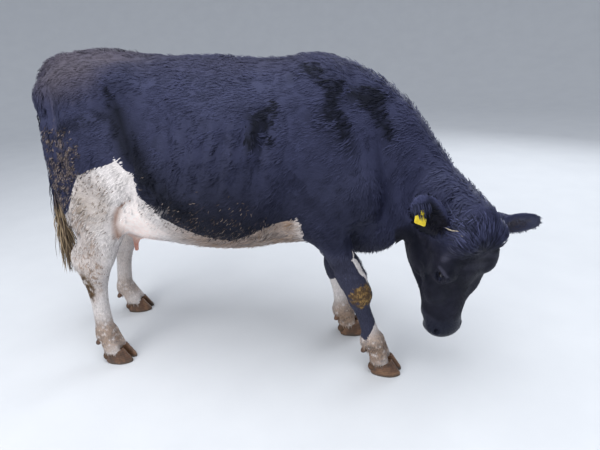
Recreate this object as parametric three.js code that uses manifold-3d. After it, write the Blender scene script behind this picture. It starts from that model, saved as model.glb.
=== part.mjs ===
// A grazing dairy cow, life size, standing with its head down and turned to
// its right.  The animal is described as named masses of bone and muscle
// (eggs and tapering tubes) that melt into one closed form; the form is then
// parted into nodes by thin cuts.  Eyes, claws, dewclaws and the ear tag are
// separate pieces seated in sockets.
// Frame: +X is the way the cow faces, +Y its left side, +Z up, feet on Z = 0.
// The form is described in metres; the pieces are written in millimetres.
import * as THREE from 'three';
import Module from 'manifold-3d';

// ------------------------------------------------------ driving dimensions
const HIP_HEIGHT = 1.42;          // ground to top of the sacrum
const WITHERS_HEIGHT = 1.35;      // ground to top of the withers
const BELLY_HEIGHT = 0.575;       // ground to the lowest line of the belly
const HEAD_SCALE = 1.10;          // 1 = a head 540 mm from poll to muzzle
const HEAD_BREADTH = 1.14, HEAD_DEPTH = 1.10;
const POLL = [1.127, -0.218, 0.762];   // crown of the head, between the ears
const FACE_HEADING = -54;         // degrees from +X that the forehead faces
const FACE_TILT = -12;            // degrees the nose swings back past plumb
const FACE_ROLL = -0.5;            // degrees of lean about the forehead normal
const CLAW_LENGTH = 0.128, CLAW_WIDTH = 0.052, CLAW_HEIGHT = 0.074;
const EYE_RADIUS = 0.0215;
const CUT = 0.0004;               // width of the cuts that part the nodes
const SOCKET = 0.00035;           // clearance round a seated piece
const MM = 1000;

// ------------------------------------------------------------ vector tools
const add = (a, b, s = 1) => [a[0] + b[0] * s, a[1] + b[1] * s, a[2] + b[2] * s];
const sub = (a, b) => [a[0] - b[0], a[1] - b[1], a[2] - b[2]];
const dot = (a, b) => a[0] * b[0] + a[1] * b[1] + a[2] * b[2];
const cross = (a, b) => [a[1] * b[2] - a[2] * b[1], a[2] * b[0] - a[0] * b[2], a[0] * b[1] - a[1] * b[0]];
const unit = (a) => { const n = Math.hypot(...a) || 1; return [a[0] / n, a[1] / n, a[2] / n]; };
const mix = (a, b, t) => a + (b - a) * t;
const rad = (d) => d * Math.PI / 180;
const WORLD = [[1, 0, 0], [0, 1, 0], [0, 0, 1]];

// head axes: a runs from poll to muzzle, s to the cow's left, f out of the forehead
function headAxes() {
  const yaw = rad(FACE_HEADING), pitch = rad(FACE_TILT), roll = rad(FACE_ROLL);
  const f0 = [Math.cos(yaw), Math.sin(yaw), 0], s0 = cross([0, 0, 1], f0);
  const a0 = [Math.sin(pitch) * f0[0], Math.sin(pitch) * f0[1], -Math.cos(pitch)];
  const f = [Math.cos(pitch) * f0[0], Math.cos(pitch) * f0[1], Math.sin(pitch)];
  const a = add([a0[0] * Math.cos(roll), a0[1] * Math.cos(roll), a0[2] * Math.cos(roll)], s0, Math.sin(roll));
  return [unit(a), unit(cross(f, a)), f];
}
const HEAD = headAxes();
const onHead = (a, s, f) => [0, 1, 2].map((i) => POLL[i] + HEAD_SCALE * (HEAD[0][i] * a + HEAD[1][i] * s * HEAD_BREADTH + HEAD[2][i] * f * HEAD_DEPTH));

// ------------------------------------------------- masses: eggs and tubes
// every mass: name, blend radius k, kind and a distance function d(p)
const flesh = [];
function egg(name, c, r, k, axes = WORLD, carve = false) {
  const R = Math.max(...r);
  flesh.push({ name, kind: 'egg', c, r, k, axes, carve, lo: c.map((v) => v - R), hi: c.map((v) => v + R),
    d(x, y, z) {
      const px = x - c[0], py = y - c[1], pz = z - c[2];
      let q0 = 0, q1 = 0;
      for (let i = 0; i < 3; i++) {
        const u = (px * axes[i][0] + py * axes[i][1] + pz * axes[i][2]) / r[i];
        q0 += u * u; q1 += (u / r[i]) * (u / r[i]);
      }
      q0 = Math.sqrt(q0); q1 = Math.sqrt(q1);
      return q1 > 1e-9 ? q0 * (q0 - 1) / q1 : -Math.min(...r);
    } });
}
// tube through stations [x, y, z, side radius, depth radius]; `side` is the
// direction the side radius is measured along
function tube(name, st, k, side = [0, 1, 0], carve = false, steps = 3) {
  const s = unit(side), p = [];
  for (let i = 0; i < st.length - 1; i++) {
    const a = st[Math.max(i - 1, 0)], b = st[i], c = st[i + 1], e = st[Math.min(i + 2, st.length - 1)];
    const n = st.length > 2 ? steps : 1;
    for (let j = 0; j < n; j++) {
      const t = j / n;
      p.push(b.map((_, m) => 0.5 * (2 * b[m] + (c[m] - a[m]) * t + (2 * a[m] - 5 * b[m] + 4 * c[m] - e[m]) * t * t + (3 * b[m] - a[m] - 3 * c[m] + e[m]) * t * t * t)));
    }
  }
  p.push(st[st.length - 1]);
  const R = Math.max(...p.map((v) => Math.max(v[3], v[4])));
  const lo = [0, 1, 2].map((i) => Math.min(...p.map((v) => v[i])) - R), hi = [0, 1, 2].map((i) => Math.max(...p.map((v) => v[i])) + R);
  flesh.push({ name, kind: 'tube', p, k, side: s, carve, lo, hi,
    d(x, y, z) {
      let best = 1e9;
      for (let i = 0; i < p.length - 1; i++) {
        const a = p[i], b = p[i + 1];
        const ux = b[0] - a[0], uy = b[1] - a[1], uz = b[2] - a[2];
        let t = ((x - a[0]) * ux + (y - a[1]) * uy + (z - a[2]) * uz) / (ux * ux + uy * uy + uz * uz);
        t = t < 0 ? 0 : t > 1 ? 1 : t;
        const vx = x - a[0] - ux * t, vy = y - a[1] - uy * t, vz = z - a[2] - uz * t;
        const rs = a[3] + (b[3] - a[3]) * t, rd = a[4] + (b[4] - a[4]) * t;
        const vs = vx * s[0] + vy * s[1] + vz * s[2];
        const vd2 = Math.max(vx * vx + vy * vy + vz * vz - vs * vs, 0);
        const k0 = Math.sqrt(vs * vs / (rs * rs) + vd2 / (rd * rd));
        const k1 = Math.sqrt(vs * vs / (rs * rs * rs * rs) + vd2 / (rd * rd * rd * rd));
        const d = k1 > 1e-9 ? k0 * (k0 - 1) / k1 : -Math.min(rs, rd);
        if (d < best) best = d;
      }
      return best;
    } });
}
// barrel of the body: stations [x, top, bottom, half width, squareness above]
function barrel(name, st, k, girthAt) {
  const lo = [st[0][0] - 0.05, -0.42, 0.5], hi = [st[st.length - 1][0] + 0.05, 0.42, 1.5];
  const at = (x) => {
    let i = 0;
    while (i < st.length - 2 && x > st[i + 1][0]) i++;
    const a = st[Math.max(i - 1, 0)], b = st[i], c = st[i + 1], e = st[Math.min(i + 2, st.length - 1)];
    const w = c[0] - b[0], t = Math.min(Math.max((x - b[0]) / w, 0), 1), t2 = t * t, t3 = t2 * t;
    return [1, 2, 3, 4].map((m) => {
      const mb = (c[m] - a[m]) / (c[0] - a[0]) * w, mc = (e[m] - b[m]) / (e[0] - b[0]) * w;
      return (2 * t3 - 3 * t2 + 1) * b[m] + (t3 - 2 * t2 + t) * mb + (3 * t2 - 2 * t3) * c[m] + (t3 - t2) * mc;
    });
  };
  flesh.push({ name, kind: 'barrel', st, girthAt, k, carve: false, lo, hi,
    d(x, y, z) {
      const [top, bot, hw, sq] = at(x);
      const zw = bot + (top - bot) * girthAt, up = z > zw;
      const rz = up ? top - zw : zw - bot, n = up ? sq : 2.25;
      const u = Math.abs(y) / hw, v = Math.abs(z - zw) / rz;
      const q = Math.pow(Math.pow(u, n) + Math.pow(v, n), 1 / n);
      let d;
      if (q < 1e-6) d = -Math.min(hw, rz);
      else {
        const gu = Math.pow(u / q, n - 1) / hw, gv = Math.pow(v / q, n - 1) / rz;
        d = (q - 1) / Math.hypot(gu, gv);
      }
      const over = Math.max(st[0][0] - x, x - st[st.length - 1][0], 0);
      return over > 0 ? Math.hypot(Math.max(d, 0), over) : d;
    } });
}

// ------------------------------------------------------------- trunk
barrel('barrel', [
  [-0.730, 1.375, 1.10, 0.085, 2.0],
  [-0.640, 1.405, 0.87, 0.165, 2.0],
  [-0.500, HIP_HEIGHT, 0.70, 0.215, 2.2],
  [-0.350, 1.402, 0.615, 0.255, 2.5],
  [-0.180, 1.384, 0.585, 0.310, 2.5],
  [0.000, 1.377, BELLY_HEIGHT, 0.352, 2.3],
  [0.180, 1.370, 0.580, 0.352, 2.1],
  [0.340, 1.360, 0.600, 0.308, 2.0],
  [0.480, WITHERS_HEIGHT, 0.600, 0.245, 2.0],
  [0.620, 1.300, 0.590, 0.190, 2.0],
  [0.760, 1.190, 0.610, 0.150, 2.0],
  [0.860, 1.080, 0.670, 0.110, 2.0],
], 0.02, 0.43);
tube('sacral_ridge', [[-0.22, 0, 1.350, 0.035, 0.035], [-0.46, 0, 1.388, 0.035, 0.035], [-0.68, 0, 1.372, 0.035, 0.035]], 0.06);
egg('loin', [-0.10, 0, 1.325], [0.24, 0.175, 0.048], 0.06);
egg('withers', [0.49, 0, 1.276], [0.16, 0.060, 0.058], 0.08);
for (const side of [-1, 1]) {
  egg('hook_bone', [-0.262, side * 0.208, 1.288], [0.062, 0.050, 0.046], 0.09);
  tube('croup', [[-0.27, side * 0.175, 1.285, 0.065, 0.07], [-0.50, side * 0.135, 1.290, 0.075, 0.085], [-0.675, side * 0.095, 1.265, 0.05, 0.065]], 0.07);
  egg('pin_bone', [-0.712, side * 0.108, 1.258], [0.042, 0.036, 0.046], 0.06);
  egg('shoulder_blade', [0.505, side * 0.100, 1.19], [0.09, 0.048, 0.15], 0.12);
  egg('flank_hollow', [-0.150, side * 0.362, 1.165], [0.11, 0.055, 0.095], 0.11, WORLD, true);
  egg('flank_groove', [-0.262, side * 0.315, 1.110], [0.040, 0.048, 0.135], 0.07, WORLD, true);
}
egg('rumen', [0.02, 0.10, 0.93], [0.36, 0.275, 0.27], 0.10);
egg('brisket', [0.655, 0, 0.630], [0.150, 0.085, 0.090], 0.06);
egg('breast', [0.725, 0, 0.79], [0.105, 0.158, 0.19], 0.08);

// ------------------------------------------------------------- neck
tube('neck', [
  [0.600, 0, 0.985, 0.155, 0.310],
  [0.750, 0.000, 0.895, 0.128, 0.240],
  [0.890, -0.035, 0.810, 0.105, 0.178],
  [0.985, -0.095, 0.778, 0.098, 0.142],
  [1.060, -0.165, 0.752, 0.090, 0.112],
], 0.05, [0.12, 0.99, 0]);
tube('neck_crest', [[0.60, 0, 1.262, 0.03, 0.04], [0.78, 0, 1.150, 0.032, 0.05], [0.902, -0.034, 0.962, 0.034, 0.048], [1.016, -0.134, 0.834, 0.038, 0.038]], 0.06);
tube('dewlap', [[0.70, 0, 0.634, 0.030, 0.055], [0.79, -0.010, 0.680, 0.022, 0.045], [0.87, -0.03, 0.698, 0.026, 0.04]], 0.05);

// ------------------------------------------------------------- hind legs
// joint centres; `turn` is the heading of the toes in degrees
const HIND = {
  right: { side: -1, hip: [-0.490, -0.165, 1.13], stifle: [-0.335, -0.212, 0.865], hock: [-0.582, -0.236, 0.485], fetlock: [-0.572, -0.247, 0.138], foot: [-0.522, -0.252], turn: 6 },
  left: { side: 1, hip: [-0.520, 0.165, 1.12], stifle: [-0.395, 0.208, 0.850], hock: [-0.735, 0.212, 0.475], fetlock: [-0.766, 0.196, 0.128], foot: [-0.695, 0.190], turn: 14 },
};
const pt = (p, rs, rd) => [p[0], p[1], p[2], rs, rd];
const lerp3 = (a, b, t) => [mix(a[0], b[0], t), mix(a[1], b[1], t), mix(a[2], b[2], t)];
for (const L of Object.values(HIND)) {
  const s = L.side, { hip, stifle, hock, fetlock } = L;
  tube('thigh', [pt(add(hip, [0.04, 0, 0.02]), 0.085, 0.16), pt(add(lerp3(hip, stifle, 0.5), [-0.02, s * 0.005, 0]), 0.090, 0.155), pt(add(stifle, [-0.02, 0, 0.0]), 0.066, 0.098)], 0.07);
  tube('ham', [[-0.690, s * 0.105, 1.215, 0.050, 0.060], [-0.668, s * 0.135, 1.02, 0.072, 0.085], pt(add(lerp3(hip, hock, 0.60), [-0.045, -s * 0.02, 0.03]), 0.068, 0.092), pt(add(lerp3(stifle, hock, 0.62), [-0.055, 0, 0]), 0.040, 0.052)], 0.06);
  egg('calf', add(lerp3(stifle, hock, 0.36), [-0.085, -s * 0.006, 0.0]), [0.085, 0.056, 0.125], 0.05);
  egg('inner_thigh', add(lerp3(hip, hock, 0.50), [0.01, -s * 0.035, 0]), [0.12, 0.055, 0.16], 0.06);
  tube('gaskin', [pt(add(stifle, [-0.01, 0, 0]), 0.066, 0.095), pt(add(lerp3(stifle, hock, 0.45), [-0.002, 0, 0]), 0.058, 0.082), pt(add(lerp3(stifle, hock, 0.80), [0.020, 0, 0]), 0.046, 0.073), pt(add(hock, [0.020, 0, 0]), 0.043, 0.070)], 0.045);
  egg('knee_cap', add(stifle, [0.025, 0, -0.005]), [0.045, 0.042, 0.055], 0.06);
  tube('hamstring', [pt(add(lerp3(stifle, hock, 0.60), [-0.070, 0, 0.02]), 0.026, 0.030), pt(add(hock, [-0.062, 0, 0.075]), 0.017, 0.022), pt(add(hock, [-0.064, 0, 0.025]), 0.021, 0.024)], 0.03);
  tube('hock_bone', [pt(add(hock, [-0.050, 0, 0.020]), 0.022, 0.028), pt(add(hock, [-0.018, 0, -0.055]), 0.028, 0.030)], 0.03);
  egg('hock', add(hock, [0.020, 0, -0.015]), [0.062, 0.046, 0.080], 0.03);
  tube('hock_web', [pt(add(lerp3(stifle, hock, 0.66), [-0.042, 0, 0.01]), 0.024, 0.040), pt(add(hock, [-0.032, 0, 0.075]), 0.018, 0.034), pt(add(hock, [-0.032, 0, 0.02]), 0.022, 0.034)], 0.03);
  tube('cannon', [pt(add(hock, [0.012, 0, -0.07]), 0.040, 0.058), pt(add(lerp3(hock, fetlock, 0.5), [0.005, 0, 0]), 0.034, 0.045), pt(add(fetlock, [0, 0, 0.03]), 0.038, 0.046)], 0.02);
  egg('fetlock', fetlock, [0.051, 0.048, 0.052], 0.025);
}

// ------------------------------------------------------------- fore legs
const FORE = {
  right: { side: -1, shoulder: [0.690, -0.178, 0.860], elbow: [0.490, -0.185, 0.725], knee: [0.657, -0.138, 0.405], fetlock: [0.716, -0.116, 0.160], foot: [0.762, -0.106], turn: -3 },
  left: { side: 1, shoulder: [0.675, 0.178, 0.865], elbow: [0.450, 0.185, 0.725], knee: [0.500, 0.168, 0.375], fetlock: [0.540, 0.168, 0.130], foot: [0.572, 0.172], turn: 8 },
};
for (const L of Object.values(FORE)) {
  const s = L.side, { shoulder, elbow, knee, fetlock } = L;
  tube('scapula', [[0.50, s * 0.115, 1.20, 0.040, 0.085], [0.585, s * 0.150, 1.03, 0.052, 0.090], pt(add(shoulder, [-0.035, 0, 0.01]), 0.050, 0.072)], 0.08);
  egg('shoulder_point', add(shoulder, [-0.015, s * 0.006, -0.02]), [0.055, 0.045, 0.065], 0.08);
  tube('triceps', [[0.475, s * 0.165, 1.00, 0.050, 0.10], pt(add(elbow, [0.03, s * 0.0, 0.12]), 0.060, 0.115), pt(add(elbow, [0.01, 0, 0.02]), 0.050, 0.075)], 0.06);
  tube('upper_arm', [pt(add(shoulder, [-0.015, 0, 0]), 0.050, 0.062), pt(add(elbow, [0.05, 0, 0.03]), 0.052, 0.085)], 0.06);
  egg('elbow', add(elbow, [-0.035, 0, 0.015]), [0.036, 0.030, 0.045], 0.05);
  tube('forearm', [pt(add(elbow, [0.045, 0, -0.01]), 0.050, 0.082), pt(add(lerp3(elbow, knee, 0.40), [0.030, 0, 0]), 0.046, 0.066), pt(add(lerp3(elbow, knee, 0.80), [0.010, 0, 0]), 0.041, 0.058), pt(add(knee, [0.002, 0, 0]), 0.042, 0.048)], 0.035);
  egg('extensors', add(lerp3(elbow, knee, 0.66), [0.032, 0, 0]), [0.050, 0.040, 0.080], 0.045);
  egg('knee', add(knee, [0.004, 0, -0.004]), [0.049, 0.047, 0.060], 0.03);
  egg('knee_back', add(knee, [-0.028, 0, 0.018]), [0.020, 0.022, 0.030], 0.025);
  tube('fore_cannon', [pt(add(knee, [0.000, 0, -0.04]), 0.037, 0.041), pt(add(lerp3(knee, fetlock, 0.5), [-0.002, 0, 0]), 0.031, 0.036), pt(add(fetlock, [-0.006, 0, 0.02]), 0.037, 0.042)], 0.02);
  egg('fore_fetlock', add(fetlock, [-0.008, 0, 0]), [0.051, 0.047, 0.050], 0.025);
}

// ------------------------------------------------------------- feet
// two toes run from the fetlock down into their claws, with heel bulbs behind
const FEET = [];
for (const [end, set] of [['hind', HIND], ['fore', FORE]]) {
  for (const [name, L] of Object.entries(set)) {
    const h = rad(L.turn), fwd = [Math.cos(h), Math.sin(h), 0], out = [-Math.sin(h), Math.cos(h), 0];
    for (const t of [-1, 1]) {
      const c = [L.foot[0], L.foot[1], 0];
      const mid = add(add(c, out, t * CLAW_WIDTH * 0.56), fwd, 0);
      const root = add(add(L.fetlock, out, t * 0.020), fwd, 0.012);
      tube('pastern', [pt(root, 0.029, 0.037), pt(add(add(mid, fwd, -0.014), [0, 0, 1], 0.068), 0.0265, 0.040), pt(add(add(mid, fwd, -0.004), [0, 0, 1], 0.045), 0.022, 0.036)], 0.014, out);
      egg('heel_bulb', add(add(mid, fwd, -0.043), [0, 0, 1], 0.034), [0.024, 0.0225, 0.024], 0.012, [fwd, out, [0, 0, 1]]);
      FEET.push({ leg: `${end}_${name}`, t, mid, fwd, out, turn: L.turn });
    }
    egg('pastern_web', add(add([L.foot[0], L.foot[1], 0.080], fwd, -0.024), out, 0), [0.040, 0.034, 0.036], 0.02, [fwd, out, [0, 0, 1]]);
    L.fwd = fwd; L.out = out;
  }
}

// ------------------------------------------------------------- udder, tail
egg('udder', [-0.475, 0, 0.705], [0.165, 0.122, 0.125], 0.05);
for (const s of [-1, 1]) {
  egg('fore_quarter', [-0.400, s * 0.062, 0.660], [0.095, 0.062, 0.085], 0.03);
  egg('hind_quarter', [-0.540, s * 0.066, 0.672], [0.085, 0.062, 0.092], 0.03);
  tube('fore_teat', [[-0.412, s * 0.086, 0.600, 0.017, 0.017], [-0.418, s * 0.092, 0.560, 0.0125, 0.0125], [-0.420, s * 0.094, 0.532, 0.0105, 0.0105]], 0.016);
  tube('hind_teat', [[-0.545, s * 0.064, 0.600, 0.017, 0.017], [-0.547, s * 0.066, 0.568, 0.0125, 0.0125], [-0.548, s * 0.067, 0.545, 0.0105, 0.0105]], 0.016);
  egg('udder_shelf', [-0.292, s * 0.120, 0.700], [0.125, 0.105, 0.085], 0.05);
}
tube('belly_floor', [[-0.33, 0, 0.672, 0.12, 0.060], [-0.20, 0, 0.660, 0.16, 0.074], [0.00, 0, 0.655, 0.17, 0.077], [0.16, 0, 0.655, 0.15, 0.073], [0.30, 0, 0.680, 0.10, 0.060]], 0.06);
const TAIL = [[-0.640, 0, 1.385], [-0.740, 0, 1.370], [-0.814, -0.006, 1.285], [-0.836, -0.020, 1.130], [-0.840, -0.040, 0.930], [-0.838, -0.062, 0.740], [-0.828, -0.080, 0.560], [-0.814, -0.088, 0.430]];
const TAIL_R = [0.032, 0.034, 0.028, 0.023, 0.020, 0.030, 0.032, 0.012];
tube('tail', TAIL.map((p, i) => [...p, TAIL_R[i], TAIL_R[i]]), 0.03);

// ------------------------------------------------------------- head
const headEgg = (name, c, r, k, carve = false) => egg(name, onHead(...c), [r[0], r[1] * HEAD_BREADTH, r[2] * HEAD_DEPTH].map((v) => v * HEAD_SCALE), k, HEAD, carve);
const headTube = (name, st, k, carve = false) => tube(name, st.map(([a, s, f, rs, rd]) => [...onHead(a, s, f), rs * HEAD_SCALE * HEAD_BREADTH, rd * HEAD_SCALE * HEAD_DEPTH]), k, HEAD[1], carve);
headEgg('cranium', [0.080, 0, -0.078], [0.092, 0.080, 0.072], 0.035);
headEgg('poll_crown', [0.026, 0, -0.044], [0.044, 0.062, 0.040], 0.03);
headEgg('forehead', [0.130, 0, -0.052], [0.130, 0.098, 0.050], 0.03);
headTube('nose_bridge', [[0.20, 0, -0.062, 0.072, 0.050], [0.32, 0, -0.066, 0.057, 0.044], [0.45, 0, -0.066, 0.052, 0.042]], 0.03);
headEgg('muzzle', [0.488, 0, -0.066], [0.054, 0.068, 0.050], 0.025);
headEgg('upper_lip', [0.508, 0, -0.092], [0.036, 0.058, 0.040], 0.02);
headEgg('chin', [0.480, 0, -0.134], [0.048, 0.042, 0.026], 0.016);
headEgg('between_jaws', [0.245, 0, -0.165], [0.15, 0.052, 0.062], 0.03);
for (const s of [-1, 1]) {
  headEgg('brow', [0.160, s * 0.080, -0.042], [0.062, 0.031, 0.034], 0.045);
  headEgg('forelock', [0.056, s * 0.046, -0.026], [0.052, 0.056, 0.042], 0.03);
  headEgg('orbit', [0.190, s * 0.080, -0.056], [0.046, 0.030, 0.036], 0.035);
  headEgg('temple', [0.115, s * 0.072, -0.100], [0.070, 0.032, 0.045], 0.04);
  headEgg('cheek_bone', [0.220, s * 0.078, -0.075], [0.060, 0.026, 0.032], 0.025);
  headEgg('cheek_front', [0.285, s * 0.068, -0.074], [0.075, 0.036, 0.038], 0.035);
  headTube('upper_jaw', [[0.21, s * 0.052, -0.098, 0.042, 0.055], [0.32, s * 0.051, -0.096, 0.036, 0.046], [0.44, s * 0.036, -0.094, 0.034, 0.042]], 0.03);
  headEgg('masseter', [0.195, s * 0.064, -0.164], [0.110, 0.043, 0.080], 0.03);
  headTube('lower_jaw', [[0.110, s * 0.064, -0.180, 0.026, 0.042], [0.178, s * 0.070, -0.237, 0.024, 0.030], [0.28, s * 0.056, -0.204, 0.024, 0.030], [0.38, s * 0.032, -0.158, 0.020, 0.028], [0.465, s * 0.018, -0.138, 0.020, 0.024]], 0.022);
  headTube('ear_root', [[0.050, s * 0.070, -0.060, 0.03, 0.034], [0.040, s * 0.105, -0.064, 0.024, 0.030]], 0.022);
  headEgg('eye_opening', [0.194, s * 0.1065, -0.032], [0.0205, 0.0155, 0.0105], 0.005, true);
  headEgg('nostril', [0.482, s * 0.052, -0.026], [0.016, 0.009, 0.014], 0.008, true);
}

// ears: a leaf-shaped blade, cupped on its front face
function ear(s, tipward, facing) {
  const root = onHead(0.042, s * 0.098, -0.064), dir = unit(tipward), open = unit(sub(facing, dir.map((v) => v * dot(facing, dir)))), across = cross(dir, open);
  const len = 0.245, at = (t, w = 0, o = 0) => add(add(add(root, dir, t * len), across, w), open, o);
  const b = [dir, across, open];
  egg('ear_base', at(0.12, 0, -0.004), [0.055, 0.033, 0.028], 0.02, b);
  egg('ear_blade', at(0.50, 0, 0), [0.119, 0.059, 0.0165], 0.016, b);
  egg('ear_tip', at(0.88, 0, 0.002), [0.044, 0.025, 0.009], 0.012, b);
  egg('ear_cup', at(0.46, 0, 0.036), [0.090, 0.043, 0.0335], 0.010, b, true);
  return { root, dir, open, across, len };
}
const along = (a, s, f) => [0, 1, 2].map((i) => HEAD[0][i] * a + HEAD[1][i] * s + HEAD[2][i] * f);
const EAR_R = ear(-1, along(-0.744, -0.663, 0.0), along(-0.30, -0.35, 0.85));
const EAR_L = ear(1, along(0.23, 0.97, 0.03), along(0.35, 0.05, 0.90));
const EYES = [-1, 1].map((s) => ({ s, c: onHead(0.194, s * 0.0820, -0.0365) }));

// ------------------------------------------------- the melted-together form
const near = (b, lo, hi) => { const m = b.k + 0.03; for (let i = 0; i < 3; i++) if (b.lo[i] - m > hi[i] || b.hi[i] + m < lo[i]) return false; return true; };
function form(list, x, y, z) {
  let d = 1;
  for (const b of list) {
    let e = b.d(x, y, z);
    if (b.carve) { e = -e; const h = Math.max(b.k - Math.abs(d - e), 0) / b.k; d = Math.max(d, e) + h * h * b.k * 0.25; } else { const h = Math.max(b.k - Math.abs(d - e), 0) / b.k; d = Math.min(d, e) - h * h * b.k * 0.25; }
  }
  return d;
}

// surface of the form inside a box, as shared vertices and triangles
function polygonise(lo, hi, h) {
  const n = [0, 1, 2].map((i) => Math.ceil((hi[i] - lo[i]) / h) + 1);
  const id = (i, j, k) => (k * n[1] + j) * n[0] + i;
  const val = new Float32Array(n[0] * n[1] * n[2]).fill(1);
  const B = 8;
  for (let k0 = 0; k0 < n[2]; k0 += B) for (let j0 = 0; j0 < n[1]; j0 += B) for (let i0 = 0; i0 < n[0]; i0 += B) {
    const bl = [lo[0] + i0 * h, lo[1] + j0 * h, lo[2] + k0 * h], bh = bl.map((v) => v + B * h);
    const list = flesh.filter((b) => near(b, bl, bh));
    if (!list.length) continue;
    const c = form(list, (bl[0] + bh[0]) / 2, (bl[1] + bh[1]) / 2, (bl[2] + bh[2]) / 2);
    if (Math.abs(c) > B * h * 1.35) { if (c < 0) for (let k = k0; k < Math.min(k0 + B, n[2]); k++) for (let j = j0; j < Math.min(j0 + B, n[1]); j++) for (let i = i0; i < Math.min(i0 + B, n[0]); i++) val[id(i, j, k)] = c; continue; }
    for (let k = k0; k < Math.min(k0 + B, n[2]); k++) for (let j = j0; j < Math.min(j0 + B, n[1]); j++) for (let i = i0; i < Math.min(i0 + B, n[0]); i++)
      val[id(i, j, k)] = form(list, lo[0] + i * h, lo[1] + j * h, lo[2] + k * h);
  }
  // the box's own walls close the surface
  for (let k = 0; k < n[2]; k++) for (let j = 0; j < n[1]; j++) for (let i = 0; i < n[0]; i++)
    if (i === 0 || j === 0 || k === 0 || i === n[0] - 1 || j === n[1] - 1 || k === n[2] - 1) val[id(i, j, k)] = Math.max(val[id(i, j, k)], h * 0.5);
  // where opposite corners of a grid face share a sign, the faintest corner
  // changes side, so that no two sheets of surface meet along one edge
  const step = [1, n[0], n[0] * n[1]];
  for (let pass = 0, hits = 1; hits && pass < 12; pass++) {
    hits = 0;
    for (let k = 0; k < n[2]; k++) for (let j = 0; j < n[1]; j++) for (let i = 0; i < n[0]; i++) for (const [u, v] of [[0, 1], [0, 2], [1, 2]]) {
      const at3 = [i, j, k]; if (at3[u] + 1 >= n[u] || at3[v] + 1 >= n[v]) continue;
      const o = id(i, j, k), q = [o, o + step[u], o + step[u] + step[v], o + step[v]], sg = q.map((m) => val[m] < 0);
      if (sg[0] !== sg[2] || sg[1] !== sg[3] || sg[0] === sg[1]) continue;
      const weak = q.filter((m) => val[m] < 0).reduce((a, b) => (Math.abs(val[a]) < Math.abs(val[b]) ? a : b));
      val[weak] = h * 0.02; hits++;
    }
  }
  const cell = new Int32Array(val.length).fill(-1), pos = [];
  for (let k = 0; k < n[2] - 1; k++) for (let j = 0; j < n[1] - 1; j++) for (let i = 0; i < n[0] - 1; i++) {
    let neg = 0;
    for (let c = 0; c < 8; c++) if (val[id(i + (c & 1), j + ((c >> 1) & 1), k + (c >> 2))] < 0) neg++;
    if (!neg || neg === 8) continue;
    let sx = 0, sy = 0, sz = 0, m = 0;
    for (let a = 0; a < 8; a++) for (let bit = 1; bit < 8; bit <<= 1) {
      if (a & bit) continue;
      const b = a | bit, va = val[id(i + (a & 1), j + ((a >> 1) & 1), k + (a >> 2))], vb = val[id(i + (b & 1), j + ((b >> 1) & 1), k + (b >> 2))];
      if ((va < 0) === (vb < 0)) continue;
      const t = va / (va - vb);
      sx += (a & 1) + (bit === 1 ? t : 0); sy += ((a >> 1) & 1) + (bit === 2 ? t : 0); sz += (a >> 2) + (bit === 4 ? t : 0); m++;
    }
    cell[id(i, j, k)] = pos.length / 3;
    pos.push(lo[0] + (i + sx / m) * h, lo[1] + (j + sy / m) * h, lo[2] + (k + sz / m) * h);
  }
  const tri = [];
  const quad = (a, b, c, d, flip) => {
    if (flip) [b, d] = [d, b];
    const P = (v) => [pos[3 * v], pos[3 * v + 1], pos[3 * v + 2]];
    const ac = Math.hypot(...sub(P(a), P(c))), bd = Math.hypot(...sub(P(b), P(d)));
    if (ac <= bd) tri.push(a, b, c, a, c, d); else tri.push(b, c, d, b, d, a);
  };
  for (let k = 0; k < n[2] - 1; k++) for (let j = 0; j < n[1] - 1; j++) for (let i = 0; i < n[0] - 1; i++) {
    const v = val[id(i, j, k)] < 0;
    if (j && k && v !== (val[id(i + 1, j, k)] < 0)) quad(cell[id(i, j - 1, k - 1)], cell[id(i, j, k - 1)], cell[id(i, j, k)], cell[id(i, j - 1, k)], !v);
    if (i && k && v !== (val[id(i, j + 1, k)] < 0)) quad(cell[id(i - 1, j, k - 1)], cell[id(i - 1, j, k)], cell[id(i, j, k)], cell[id(i, j, k - 1)], !v);
    if (i && j && v !== (val[id(i, j, k + 1)] < 0)) quad(cell[id(i - 1, j - 1, k)], cell[id(i, j - 1, k)], cell[id(i, j, k)], cell[id(i - 1, j, k)], !v);
  }
  return { pos, tri };
}

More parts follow.
